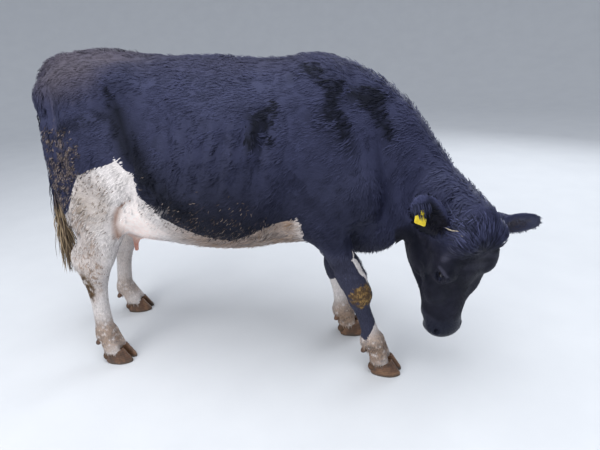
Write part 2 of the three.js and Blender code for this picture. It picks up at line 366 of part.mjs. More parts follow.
// ------------------------------------------------- thinning the mesh
// edge collapse by quadric error; `care(x, y, z)` raises the cost where the
// form needs finer facets
function thin({ pos, tri }, target, care) {
  const nv = pos.length / 3, nt = tri.length / 3, P = Float64Array.from(pos), T = Int32Array.from(tri);
  const Q = new Float64Array(nv * 10), alive = new Uint8Array(nt).fill(1), stamp = new Int32Array(nv);
  const ring = Array.from({ length: nv }, () => new Set());
  const at = (v) => [P[3 * v], P[3 * v + 1], P[3 * v + 2]];
  const normal = (a, b, c) => cross(sub(b, a), sub(c, a));
  for (let t = 0; t < nt; t++) {
    const [a, b, c] = [T[3 * t], T[3 * t + 1], T[3 * t + 2]], pa = at(a), nn = normal(pa, at(b), at(c)), A = Math.hypot(...nn) || 1e-12, u = nn.map((x) => x / A), d = -dot(u, pa);
    const q = [u[0] * u[0], u[0] * u[1], u[0] * u[2], u[0] * d, u[1] * u[1], u[1] * u[2], u[1] * d, u[2] * u[2], u[2] * d, d * d];
    for (const v of [a, b, c]) { ring[v].add(t); for (let i = 0; i < 10; i++) Q[10 * v + i] += q[i] * A; }
  }
  const heap = [];
  const up = (i) => { const e = heap[i]; while (i > 0) { const p = (i - 1) >> 1; if (heap[p].cost <= e.cost) break; heap[i] = heap[p]; i = p; } heap[i] = e; };
  const push = (e) => { heap.push(e); up(heap.length - 1); };
  const pop = () => {
    const top = heap[0], last = heap.pop();
    if (heap.length) { let i = 0; for (;;) { let c = 2 * i + 1; if (c >= heap.length) break; if (c + 1 < heap.length && heap[c + 1].cost < heap[c].cost) c++; if (heap[c].cost >= last.cost) break; heap[i] = heap[c]; i = c; } heap[i] = last; }
    return top;
  };
  const edge = (a, b) => {
    const q = []; for (let i = 0; i < 10; i++) q.push(Q[10 * a + i] + Q[10 * b + i]);
    const pa = at(a), pb = at(b), m = [(pa[0] + pb[0]) / 2, (pa[1] + pb[1]) / 2, (pa[2] + pb[2]) / 2];
    const err = (p) => q[0] * p[0] * p[0] + 2 * q[1] * p[0] * p[1] + 2 * q[2] * p[0] * p[2] + 2 * q[3] * p[0] + q[4] * p[1] * p[1] + 2 * q[5] * p[1] * p[2] + 2 * q[6] * p[1] + q[7] * p[2] * p[2] + 2 * q[8] * p[2] + q[9];
    const [A, B, C, D, E, F] = [q[0], q[1], q[2], q[4], q[5], q[7]];
    const det = A * (D * F - E * E) - B * (B * F - E * C) + C * (B * E - D * C);
    let p = m;
    const L = Math.hypot(...sub(pa, pb));
    if (Math.abs(det) > 1e-14) {
      const r = [-q[3], -q[6], -q[8]];
      const s = [(r[0] * (D * F - E * E) - B * (r[1] * F - E * r[2]) + C * (r[1] * E - D * r[2])) / det,
        (A * (r[1] * F - r[2] * E) - r[0] * (B * F - E * C) + C * (B * r[2] - r[1] * C)) / det,
        (A * (D * r[2] - E * r[1]) - B * (B * r[2] - r[1] * C) + r[0] * (B * E - D * C)) / det];
      if (Math.hypot(...sub(s, m)) < L * 1.2) p = s;
    }
    const w = care ? care(...m) : 1;
    push({ cost: (Math.max(err(p), 0) + 1e-9 * L * L) * w, a, b, p, sa: stamp[a], sb: stamp[b] });
  };
  for (let t = 0; t < nt; t++) for (let e = 0; e < 3; e++) { const a = T[3 * t + e], b = T[3 * t + (e + 1) % 3]; if (a < b) edge(a, b); }
  let left = nt;
  const links = (v) => { const s = new Set(); for (const t of ring[v]) for (let e = 0; e < 3; e++) if (T[3 * t + e] !== v) s.add(T[3 * t + e]); return s; };
  while (left > target && heap.length) {
    const { a, b, p, sa, sb } = pop();
    if (stamp[a] !== sa || stamp[b] !== sb || !ring[a].size || !ring[b].size) continue;
    const la = links(a), lb = links(b);
    if (!la.has(b)) continue;
    let common = 0; for (const v of la) if (lb.has(v)) common++;
    if (common !== 2) continue;
    let bad = false;
    for (const v of [a, b]) for (const t of ring[v]) {
      const q = [T[3 * t], T[3 * t + 1], T[3 * t + 2]];
      if (q.includes(a) && q.includes(b)) continue;
      const o = q.map(at), m = q.map((w, i) => (w === v ? p : o[i])), n0 = unit(normal(...o)), nn = normal(...m), A = Math.hypot(...nn);
      const l = Math.max(Math.hypot(...sub(m[0], m[1])), Math.hypot(...sub(m[1], m[2])), Math.hypot(...sub(m[2], m[0])));
      if (dot(n0, unit(nn)) < 0.3 || A < 0.06 * l * l) { bad = true; break; }
    }
    if (bad) continue;
    P[3 * a] = p[0]; P[3 * a + 1] = p[1]; P[3 * a + 2] = p[2];
    for (let i = 0; i < 10; i++) Q[10 * a + i] += Q[10 * b + i];
    for (const t of ring[b]) {
      const q = [T[3 * t], T[3 * t + 1], T[3 * t + 2]];
      if (q.includes(a)) { alive[t] = 0; left--; for (const v of q) if (v !== b) ring[v].delete(t); } else { for (let e = 0; e < 3; e++) if (T[3 * t + e] === b) T[3 * t + e] = a; ring[a].add(t); }
    }
    ring[b].clear(); stamp[a]++; stamp[b]++;
    for (const v of links(a)) { edge(Math.min(a, v), Math.max(a, v)); }
  }
  const map = new Int32Array(nv).fill(-1), out = [], ot = [];
  for (let t = 0; t < nt; t++) if (alive[t]) for (let e = 0; e < 3; e++) { const v = T[3 * t + e]; if (map[v] < 0) { map[v] = out.length / 3; out.push(...at(v)); } ot.push(map[v]); }
  return { pos: out, tri: ot };
}

// ------------------------------------------------- solids
const wasm = await Module();
wasm.setup();
const solid = ({ pos, tri }) => {
  const m = new wasm.Manifold(new wasm.Mesh({ numProp: 3, vertProperties: Float32Array.from(pos, (v) => v * MM), triVerts: Uint32Array.from(tri) }));
  return m;
};
// closed block from eight corners of a box with its own axes; sizes are half lengths
function block(c, axes, half) {
  const pos = [], tri = [0, 2, 3, 0, 3, 1, 4, 5, 7, 4, 7, 6, 0, 1, 5, 0, 5, 4, 2, 6, 7, 2, 7, 3, 0, 4, 6, 0, 6, 2, 1, 3, 7, 1, 7, 5];
  for (let i = 0; i < 8; i++) { let p = c; for (let m = 0; m < 3; m++) p = add(p, axes[m], ((i >> m) & 1 ? 1 : -1) * half[m]); pos.push(...p); }
  return { pos, tri };
}
const frameOf = (n, hint = [0, 0, 1]) => { const a = unit(n), b = unit(cross(hint, a)); return [a, b, cross(a, b)]; };
// everything on the far side of a plane: point p, outward normal n, reach in the plane
const beyond = (p, n, reach, deep = reach, shift = 0, hint) => { const ax = frameOf(n, hint); return block(add(p, ax[0], deep / 2 + shift), ax, [deep / 2, reach[0] ?? reach, reach[1] ?? reach]); };
function ball(c, axes, r, un = 20, vn = 12) {
  const pos = [...add(c, axes[2], r[2])], tri = [];
  for (let j = 1; j < vn; j++) for (let i = 0; i < un; i++) { const u = 2 * Math.PI * i / un, v = Math.PI * j / vn; pos.push(...add(add(add(c, axes[0], r[0] * Math.sin(v) * Math.cos(u)), axes[1], r[1] * Math.sin(v) * Math.sin(u)), axes[2], r[2] * Math.cos(v))); }
  pos.push(...add(c, axes[2], -r[2])); const last = pos.length / 3 - 1, at = (j, i) => 1 + (j - 1) * un + (i % un);
  for (let i = 0; i < un; i++) { tri.push(0, at(1, i), at(1, i + 1)); tri.push(last, at(vn - 1, i + 1), at(vn - 1, i)); for (let j = 1; j < vn - 1; j++) tri.push(at(j, i), at(j + 1, i), at(j + 1, i + 1), at(j, i), at(j + 1, i + 1), at(j, i + 1)); }
  return { pos, tri };
}
// rings of equal point count skinned into one closed piece
function skinRings(rings) {
  const m = rings[0].length, pos = rings.flat(2), tri = [], n = rings.length;
  for (let r = 0; r < n - 1; r++) for (let i = 0; i < m; i++) { const a = r * m + i, b = r * m + (i + 1) % m; tri.push(a, b, b + m, a, b + m, a + m); }
  for (const [r, flip] of [[0, true], [n - 1, false]]) {
    const c = pos.length / 3; pos.push(...[0, 1, 2].map((k) => rings[r].reduce((s, p) => s + p[k], 0) / m));
    for (let i = 0; i < m; i++) { const a = r * m + i, b = r * m + (i + 1) % m; if (flip) tri.push(c, b, a); else tri.push(c, a, b); }
  }
  return { pos, tri };
}
// one claw: flat sole on the floor, sloping toe wall, low heel
function claw({ mid, fwd, out, t }, grow = 0) {
  const rings = [], N = 12, L = CLAW_LENGTH, W = CLAW_WIDTH, H = CLAW_HEIGHT;
  for (const [lift, toe, heel, half, sink] of [[0, 0.62, -0.40, 0.48, 0], [0.20, 0.605, -0.425, 0.50, 0], [1.0, 0.315, -0.42, 0.435, 0.42]]) {
    const ring = [];
    for (let i = 0; i < N; i++) {
      const u = 2 * Math.PI * i / N, cx = Math.cos(u), cy = Math.sin(u);
      const q = Math.pow(Math.pow(Math.abs(cx), 2.4) + Math.pow(Math.abs(cy), 2.4), -1 / 2.4);
      const ahead = cx * q, aside = cy * q, length = (mix(heel, toe, (ahead + 1) / 2)) * L;
      const taper = 1 - 0.20 * Math.max(ahead, 0) ** 2, inner = aside * t < 0 ? 0.86 : 1;
      let z = lift * H * (1 - sink * (1 - (ahead + 1) / 2)) + (lift > 0.9 ? grow : 0);
      if (lift === 0) z = -0 + 0;
      const p = add(add(add(mid, fwd, length + Math.sign(ahead) * grow), out, aside * half * W * taper * inner + Math.sign(aside) * grow - t * 0.010 * Math.max(ahead, 0) ** 2), [0, 0, 1], z);
      ring.push(p);
    }
    rings.push(ring);
  }
  if (grow) for (const p of rings[0]) p[2] -= 0.01;
  return skinRings(rings);
}
// dewclaw: a blunt cone behind the fetlock
function dewclaw(c, axis, grow = 0) {
  const [a, b, e] = frameOf(axis), rings = [];
  for (const [h, r] of [[-0.014 - grow, 0.0150], [0.007, 0.0145], [0.0215 + grow, 0.006]]) {
    const ring = []; for (let i = 0; i < 6; i++) { const u = 2 * Math.PI * i / 6; ring.push(add(add(add(c, a, h), b, (r + grow) * Math.cos(u)), e, (r + grow) * Math.sin(u))); }
    rings.push(ring);
  }
  return skinRings(rings);
}

// prism with a profile in the X-Z plane, from y0 to y1
function prism(profile, y0, y1) {
  let area = 0;
  profile.forEach(([x, z], i) => { const [u, w] = profile[(i + 1) % profile.length]; area += x * w - u * z; });
  const p = area > 0 ? profile : [...profile].reverse();
  const ring = (y) => p.map(([x, z]) => [x, y, z]);
  return skinRings([ring(Math.max(y0, y1)), ring(Math.min(y0, y1))]);
}
// the same profile with every edge moved outward by g
const grow2 = (profile, g) => {
  let area = 0;
  profile.forEach(([x, z], i) => { const [u, w] = profile[(i + 1) % profile.length]; area += x * w - u * z; });
  const p = area > 0 ? profile : [...profile].reverse(), n = p.length;
  const out = p.map(([x, z], i) => { const [u, w] = p[(i + 1) % n], l = Math.hypot(u - x, w - z); return [(w - z) / l, (x - u) / l]; });
  return p.map(([x, z], i) => { const a = out[(i + n - 1) % n], b = out[i], k = g / (1 + a[0] * b[0] + a[1] * b[1]); return [x + (a[0] + b[0]) * k, z + (a[1] + b[1]) * k]; });
};
// the largest connected piece of a solid
function whole(man, name) {
  const { vertProperties, triVerts, numProp } = man.getMesh(), n = vertProperties.length / numProp, up = Int32Array.from({ length: n }, (_, i) => i);
  const find = (i) => { while (up[i] !== i) { up[i] = up[up[i]]; i = up[i]; } return i; };
  const key = new Map();
  for (let i = 0; i < n; i++) { const k = `${vertProperties[i * numProp]},${vertProperties[i * numProp + 1]},${vertProperties[i * numProp + 2]}`; if (key.has(k)) up[find(i)] = find(key.get(k)); else key.set(k, i); }
  for (let t = 0; t < triVerts.length; t += 3) { up[find(triVerts[t])] = find(triVerts[t + 1]); up[find(triVerts[t + 1])] = find(triVerts[t + 2]); }
  const vol = new Map(), V = (i) => [vertProperties[i * numProp], vertProperties[i * numProp + 1], vertProperties[i * numProp + 2]];
  for (let t = 0; t < triVerts.length; t += 3) { const r = find(triVerts[t]), v = dot(V(triVerts[t]), cross(V(triVerts[t + 1]), V(triVerts[t + 2]))) / 6; vol.set(r, (vol.get(r) ?? 0) + v); }
  if (vol.size <= 1) return man;
  const best = [...vol.entries()].sort((a, b) => b[1] - a[1])[0][0];
  const map = new Map(), vp = [], tv = [];
  for (let t = 0; t < triVerts.length; t += 3) if (find(triVerts[t]) === best) for (let e = 0; e < 3; e++) {
    const v = triVerts[t + e]; if (!map.has(v)) { map.set(v, vp.length / 3); vp.push(...V(v)); } tv.push(map.get(v));
  }
  return new wasm.Manifold(new wasm.Mesh({ numProp: 3, vertProperties: Float32Array.from(vp), triVerts: Uint32Array.from(tv) }));
}

// whole form: coarse over the body, finer over the head
const bodyLo = [-0.92, -0.40, -0.02], bodyHi = [1.16, 0.42, 1.46];
const bodyCare = (x, y, z) => (z < 0.2 ? 3 : z < 0.6 ? 2.0 : 1) * (x < -0.38 && x > -0.6 && Math.abs(y) < 0.13 && z < 0.62 ? 3 : 1);
const bodyMesh = thin(polygonise(bodyLo, bodyHi, 0.0105), 3350, bodyCare);
const headBox = [[0.78, 1.42], [-0.60, 0.20], [0.10, 0.98]];
const neckPlane = onHead(-0.02, 0, -0.09), neckNormal = unit(add(HEAD[0], HEAD[2], 1 / HEAD_DEPTH));
const nearEar = (p) => [EAR_R, EAR_L].some((e) => { const t = dot(sub(p, e.root), e.dir); return t > -0.01 && Math.hypot(...sub(p, add(e.root, e.dir, t))) < 0.08; });
const headMesh = thin(polygonise(headBox.map((b) => b[0]), headBox.map((b) => b[1]), 0.0060), 1480, (x, y, z) => (dot(sub([x, y, z], neckPlane), neckNormal) < -0.01 && !nearEar([x, y, z]) ? 0.02 : 1));

const group = new THREE.Group();
const BLACK = [0x1d1c22, 0.62], WHITE = [0xe6e0d6, 0.7], PINK = [0xdcc0b0, 0.6], HORN = [0x6d4a35, 0.5], DARK = [0x0e0b0a, 0.08], YELLOW = [0xe8c81e, 0.45];
const nodes = [];
const node = (name, man, paint) => nodes.push([name, man, paint]);

// head and ears
const headHalf = (shift) => solid(beyond(neckPlane, neckNormal, 0.9, 0.9, shift, HEAD[1]));
const inset = (g) => { const c = headBox.map(([a, b]) => (a + b) / 2), h = headBox.map(([a, b]) => (b - a) / 2 + g); return solid(block(c, WORLD, h)); };
const headRegion = headHalf(0).intersect(inset(-0.010)), headRegionOut = headHalf(-CUT).intersect(inset(-0.0105 + 0.001));
let head = solid(headMesh), rest = solid(bodyMesh).subtract(headRegionOut);
for (const [name, e] of [['ear_right', EAR_R], ['ear_left', EAR_L]]) {
  // the cut across the ear's root leans half way from the ear towards the head's own side
  const lean = frameOf(unit(add(e.dir, along(0, name === 'ear_right' ? -1 : 1, 0))), e.open);
  const region = (g) => { const deep = 0.30, c = add(e.root, lean[0], deep / 2 + 0.026 - g); return solid(block(c, lean, [deep / 2, 0.072 + g, 0.050 + g])); };
  e.solid = head.intersect(region(0)); head = head.subtract(region(CUT)); rest = rest.subtract(region(CUT)); e.name = name;
}
head = head.intersect(headRegion);
for (const eye of EYES) {
  const r = (g) => [EYE_RADIUS + g, EYE_RADIUS + g, EYE_RADIUS + g];
  head = head.subtract(solid(ball(eye.c, [HEAD[2], HEAD[0], HEAD[1]], r(SOCKET), 14, 9)));
  node(eye.s < 0 ? 'eye_right' : 'eye_left', solid(ball(eye.c, [HEAD[2], HEAD[0], HEAD[1]], r(0), 14, 9)), DARK);
}
// ear tag: a blank flag with a neck and a round button, through the right ear
{
  const e = EAR_R, flag = new THREE.Shape();
  const w = 0.0265, h = 0.040, neck = 0.010, r = 0.006;
  flag.moveTo(-neck, 0.009); flag.lineTo(neck, 0.009); flag.lineTo(neck, -0.006); flag.lineTo(w - r, -0.013); flag.quadraticCurveTo(w, -0.013, w, -0.013 - r);
  flag.lineTo(w, -h + r); flag.quadraticCurveTo(w, -h, w - r, -h); flag.lineTo(-w + r, -h); flag.quadraticCurveTo(-w, -h, -w, -h + r);
  flag.lineTo(-w, -0.013 - r); flag.quadraticCurveTo(-w, -0.013, -w + r, -0.013); flag.lineTo(-neck, -0.006); flag.closePath();
  const plate = (g) => { const G = new THREE.ExtrudeGeometry(flag, { depth: 0.0024 + 2 * g, bevelEnabled: false, curveSegments: 2 }); return G; };
  const hang = unit(add(add([0, 0, -1], e.dir, 0.5), e.open, 0.22)), face = unit(sub(e.open, hang.map((v) => v * dot(e.open, hang)))), wide = cross(hang.map((v) => -v), face);
  const at = add(add(add(e.root, e.dir, 0.177), e.open, 0.0165), e.across, -0.018);
  const put = (G, g) => {
    const P = G.getAttribute('position'), key = new Map(), pos = [], tri = [], idx = [];
    for (let i = 0; i < P.count; i++) { const k = [P.getX(i), P.getY(i), P.getZ(i)].map((v) => v.toFixed(7)).join(); if (!key.has(k)) { key.set(k, pos.length / 3); pos.push(...add(add(add(at, wide, P.getX(i)), hang, -P.getY(i)), face, P.getZ(i) - g)); } idx.push(key.get(k)); }
    for (let i = 0; i < idx.length; i += 3) tri.push(idx[i], idx[i + 1], idx[i + 2]);
    return solid({ pos, tri });
  };
  const disc = (r0, z0, z1) => { const rings = [z0, z1].map((z) => Array.from({ length: 8 }, (_, i) => { const u = 2 * Math.PI * i / 8; return add(add(add(at, wide, r0 * Math.cos(u)), hang, -r0 * Math.sin(u) - 0.003), face, z); })); return solid(skinRings(rings)); };
  const tag = put(plate(0), 0).add(disc(0.0100, -0.0005, 0.0062)).add(disc(0.0035, -0.020, 0.001));
  const bed = disc(0.0100 + SOCKET, -0.001, 0.0068).add(disc(0.0035 + SOCKET, -0.0206, 0.001)).add(put(plate(SOCKET), SOCKET));
  e.solid = whole(e.solid.subtract(bed)); node('ear_tag_right', tag, YELLOW);
}
node('head', whole(head, 'head'), BLACK);
for (const e of [EAR_R, EAR_L]) node(e.name, whole(e.solid, e.name), BLACK);

// claws and dewclaws, seated in the flesh of the feet
for (const f of FEET) {
  const inner = (f.leg.endsWith('right') ? 1 : -1) * f.t > 0 ? 'inner' : 'outer';
  node(`claw_${f.leg}_${inner}`, solid(claw(f)), HORN);
  rest = rest.subtract(solid(claw(f, SOCKET)));
  const set = f.leg.startsWith('hind') ? HIND : FORE, L = set[f.leg.split('_')[1]];
  const c = add(add(add(L.fetlock, f.fwd, -0.034), f.out, f.t * 0.024), [0, 0, 1], -0.034), axis = unit(add(add([0, 0, 0], f.fwd, -0.62), [0, 0, 1], -0.78));
  node(`dewclaw_${f.leg}_${inner}`, solid(dewclaw(c, axis)), HORN);
  rest = rest.subtract(solid(dewclaw(c, axis, SOCKET)));
}

// part the rest: each region is cut away with a gap of one cut
const takeOff = (profile, y0, y1, extra) => {
  let inner = solid(prism(profile, y0, y1)), outer = solid(prism(grow2(profile, CUT), y0 - CUT * Math.sign(y1 - y0) , y1));
  if (extra) { inner = inner.add(solid(prism(extra.profile, extra.y0, y1))); outer = outer.add(solid(prism(grow2(extra.profile, CUT), extra.y0 - CUT * Math.sign(y1 - y0), y1))); }
  const part = rest.intersect(inner); rest = rest.subtract(outer);
  return part;
};
const tail = takeOff([[-0.705, 1.48], [-0.733, 1.350], [-0.780, 1.325], [-0.780, 0.30], [-1.0, 0.30], [-1.0, 1.48]], -0.16, 0.12);
const udder = takeOff([[-0.665, 0.50], [-0.665, 0.80], [-0.290, 0.735], [-0.290, 0.50]], -0.127, 0.127);
const legs = {};
for (const s of [-1, 1]) {
  const side = s < 0 ? 'right' : 'left', back = s < 0 ? -0.780 : -1.0;
  legs[`hind_leg_${side}`] = [takeOff([[back, 1.04], [-0.72, 1.06], [-0.215, 0.82], [-0.250, 0.69], [-0.350, 0.57], [-0.350, -0.05], [back, -0.05]], s * 0.088, s * 0.45), 0.585];
  legs[`fore_leg_${side}`] = [takeOff([[0.355, 0.765], [0.755, 0.765], [0.740, 0.66], [0.715, 0.50], [0.355, 0.48]], s * 0.103, s * 0.45, { profile: [[0.355, 0.50], [0.715, 0.50], [0.90, 0.35], [0.90, -0.05], [0.355, -0.05]], y0: s * 0.015 }), 0.470];
}
const neck = takeOff([[0.660, 1.50], [0.800, 0.45], [1.30, 0.45], [1.30, 1.50]], -0.5, 0.5);
node('trunk', whole(rest, 'trunk'), BLACK);
node('neck', whole(neck, 'neck'), BLACK);
node('udder', whole(udder, 'udder'), PINK);
const split = (man, z) => [man.intersect(solid(block([0, 0, z + 1], WORLD, [2, 2, 1]))), man.intersect(solid(block([0, 0, z - 1 - CUT], WORLD, [2, 2, 1])))];
const [tailTop, tailEnd] = split(tail, 0.80);
node('tail', whole(tailTop, 'tail'), BLACK); node('tail_switch', whole(tailEnd, 'switch'), WHITE);
for (const [name, [man, z]] of Object.entries(legs)) {
  const [top, low] = split(man, z);
  node(`${name}_upper`, whole(top, name), name.startsWith('fore') ? BLACK : WHITE); node(`${name}_lower`, whole(low, name), WHITE);
}

// stand the model with its origin at the middle of its own footprint box
const box = { lo: [1e9, 1e9, 1e9], hi: [-1e9, -1e9, -1e9] }, meshes = nodes.map(([name, man, paint]) => [name, man.getMesh(), paint]);
for (const [, m] of meshes) for (let i = 0; i < m.vertProperties.length; i += m.numProp) for (let k = 0; k < 3; k++) { box.lo[k] = Math.min(box.lo[k], m.vertProperties[i + k]); box.hi[k] = Math.max(box.hi[k], m.vertProperties[i + k]); }
const shift = [-(box.lo[0] + box.hi[0]) / 2, -(box.lo[1] + box.hi[1]) / 2, -box.lo[2]];
for (const [name, { vertProperties, triVerts, numProp }, [color, roughness]] of meshes) {
  const g = new THREE.BufferGeometry(), pos = new Float32Array(vertProperties.length / numProp * 3);
  for (let i = 0; i < pos.length / 3; i++) for (let k = 0; k < 3; k++) pos[3 * i + k] = vertProperties[i * numProp + k];
  g.setAttribute('position', new THREE.BufferAttribute(pos, 3)); g.setIndex(new THREE.BufferAttribute(Uint32Array.from(triVerts), 1)); g.computeVertexNormals();
  const mesh = new THREE.Mesh(g, new THREE.MeshStandardMaterial({ color, roughness, metalness: 0 }));
  mesh.name = name; mesh.position.set(...shift); group.add(mesh);
}
export default group;
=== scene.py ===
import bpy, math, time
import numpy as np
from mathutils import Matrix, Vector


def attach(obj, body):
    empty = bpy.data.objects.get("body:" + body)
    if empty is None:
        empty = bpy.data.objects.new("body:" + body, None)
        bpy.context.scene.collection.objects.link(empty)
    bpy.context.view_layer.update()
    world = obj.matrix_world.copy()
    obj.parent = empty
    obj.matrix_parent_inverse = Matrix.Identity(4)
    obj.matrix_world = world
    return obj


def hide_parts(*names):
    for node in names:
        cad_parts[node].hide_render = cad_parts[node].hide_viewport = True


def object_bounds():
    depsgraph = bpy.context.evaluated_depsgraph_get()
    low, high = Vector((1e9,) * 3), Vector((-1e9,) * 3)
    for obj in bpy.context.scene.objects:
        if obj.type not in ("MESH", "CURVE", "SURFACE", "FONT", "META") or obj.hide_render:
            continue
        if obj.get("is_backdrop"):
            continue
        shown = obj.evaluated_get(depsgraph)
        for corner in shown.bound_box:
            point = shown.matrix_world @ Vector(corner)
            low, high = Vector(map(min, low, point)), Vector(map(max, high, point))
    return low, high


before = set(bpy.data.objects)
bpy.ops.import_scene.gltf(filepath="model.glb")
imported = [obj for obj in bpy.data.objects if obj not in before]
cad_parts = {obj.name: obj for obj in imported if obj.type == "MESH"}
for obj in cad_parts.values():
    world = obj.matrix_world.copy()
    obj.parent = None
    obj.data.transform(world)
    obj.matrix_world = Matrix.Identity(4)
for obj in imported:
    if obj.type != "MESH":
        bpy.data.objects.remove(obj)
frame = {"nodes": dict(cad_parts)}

# A life-size dairy cow with her head down.  The CAD solids hold the true
# outline out to the tips of the coat.  Here the same named masses are melted
# together again, a coat's depth inside those solids, into one skin; locks of
# hair are then laid over it along the lie of the coat.
# Working frame: +X the way the cow faces, +Y its left, +Z up, metres, feet on
# Z = 0.  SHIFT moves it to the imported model's own origin at the very end.
from concurrent.futures import ThreadPoolExecutor

CAD_BOX = [[float(v) for v in p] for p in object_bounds()]
T0 = time.time()
def say(*a): print("[cow %5.1f s]" % (time.time() - T0), *a, flush=True)

# ------------------------------------------------------ driving dimensions
HIP_HEIGHT, WITHERS_HEIGHT, BELLY_HEIGHT = 1.42, 1.35, 0.575
HEAD_SCALE, HEAD_BREADTH, HEAD_DEPTH = 1.10, 1.14, 1.10
POLL = np.array([1.127, -0.218, 0.762])
FACE_HEADING, FACE_TILT, FACE_ROLL = -54.0, -12.0, -0.5
CLAW_LENGTH, CLAW_WIDTH, CLAW_HEIGHT = 0.128, 0.052, 0.074
EYE_RADIUS = 0.0215
SHIFT = np.array([-0.25403924, -0.01145062, 0.0])
COAT_DEPTH = 0.0045          # lie of the short coat over the trunk
SKIN_CELL = 0.0060           # grid of the first skin
SKIN_FACES = 190000

# ------------------------------------------------------------ vector tools
def vec(*a): return np.array(a, float)
def unit(a): a = np.asarray(a, float); return a / (np.linalg.norm(a, axis=-1, keepdims=True) + 1e-12)
def mix(a, b, t): return a + (b - a) * t
def smooth(lo, hi, x):
    t = np.clip((x - lo) / (hi - lo), 0, 1)
    return t * t * (3 - 2 * t)
def dots(a, b): return np.einsum("ij,ij->i", a, b)

def head_axes():
    yaw, pitch, roll = map(math.radians, (FACE_HEADING, FACE_TILT, FACE_ROLL))
    f0 = vec(math.cos(yaw), math.sin(yaw), 0); s0 = np.cross(vec(0, 0, 1), f0)
    a0 = vec(math.sin(pitch) * f0[0], math.sin(pitch) * f0[1], -math.cos(pitch))
    f = vec(math.cos(pitch) * f0[0], math.cos(pitch) * f0[1], math.sin(pitch))
    a = a0 * math.cos(roll) + s0 * math.sin(roll)
    return np.array([unit(a), unit(np.cross(f, a)), f])
HEAD = head_axes()                      # rows: poll to muzzle, cow's left, out of the forehead
HEAD_UNITS = HEAD_SCALE * vec(1, HEAD_BREADTH, HEAD_DEPTH)
def on_head(a, s, f): return POLL + (vec(a, s, f) * HEAD_UNITS) @ HEAD
def head_coords(P): return ((P - POLL) @ HEAD.T) / HEAD_UNITS
def along(a, s, f): return vec(a, s, f) @ HEAD

# ------------------------------------------------- masses: eggs and tubes
flesh = []
part = ""
class Mass: pass
def keep(m, name, k, carve, lo, hi):
    m.name, m.part, m.k, m.carve, m.lo, m.hi = name, part, k, carve, np.asarray(lo, float), np.asarray(hi, float)
    flesh.append(m); return m

def egg(name, c, r, k, axes=None, carve=False):
    m = Mass(); c = np.asarray(c, float); r = np.asarray(r, float); A = np.eye(3) if axes is None else np.asarray(axes, float)
    G = (A.T / r)                        # (P-c) @ G gives the scaled coordinates
    def d(P, lo, hi):
        u = (P - c) @ G
        q0 = np.sqrt(np.einsum("ij,ij->i", u, u)); w = u / r
        q1 = np.sqrt(np.einsum("ij,ij->i", w, w))
        return np.where(q1 > 1e-9, q0 * (q0 - 1) / np.maximum(q1, 1e-9), -r.min())
    m.d = d; R = r.max()
    return keep(m, name, k, carve, c - R, c + R)

def stations(st, steps=3):
    st = np.asarray(st, float); out = []
    n = steps if len(st) > 2 else 1
    for i in range(len(st) - 1):
        a, b, c, e = st[max(i - 1, 0)], st[i], st[i + 1], st[min(i + 2, len(st) - 1)]
        for j in range(n):
            t = j / n
            out.append(0.5 * (2 * b + (c - a) * t + (2 * a - 5 * b + 4 * c - e) * t * t + (3 * b - a - 3 * c + e) * t ** 3))
    out.append(st[-1])
    return np.array(out)

def tube(name, st, k, side=(0, 1, 0), carve=False, steps=3):
    m = Mass(); p = stations(st, steps); s = unit(side)
    a, u = p[:-1, :3], p[1:, :3] - p[:-1, :3]
    uu = np.maximum((u * u).sum(1), 1e-12); ra, du = p[:-1, 3:5], p[1:, 3:5] - p[:-1, 3:5]
    rmax = p[:, 3:5].max()
    slo = np.minimum(p[:-1, :3], p[1:, :3]) - rmax; shi = np.maximum(p[:-1, :3], p[1:, :3]) + rmax
    pad = k + 0.03
    def d(P, lo, hi):
        best = np.full(len(P), 1e9)
        for i in range(len(a)):
            if (slo[i] - pad > hi).any() or (shi[i] + pad < lo).any(): continue
            V = P - a[i]
            t = np.clip(V @ u[i] / uu[i], 0, 1)
            V = V - t[:, None] * u[i]
            rs = ra[i, 0] + du[i, 0] * t; rd = ra[i, 1] + du[i, 1] * t
            vs = V @ s; vs2 = vs * vs
            vd2 = np.maximum(np.einsum("ij,ij->i", V, V) - vs2, 0)
            rs2 = rs * rs; rd2 = rd * rd
            k0 = np.sqrt(vs2 / rs2 + vd2 / rd2); k1 = np.sqrt(vs2 / (rs2 * rs2) + vd2 / (rd2 * rd2))
            best = np.minimum(best, np.where(k1 > 1e-9, k0 * (k0 - 1) / np.maximum(k1, 1e-9), -np.minimum(rs, rd)))
        return best
    m.d = d; m.p = p
    return keep(m, name, k, carve, slo.min(0), shi.max(0))

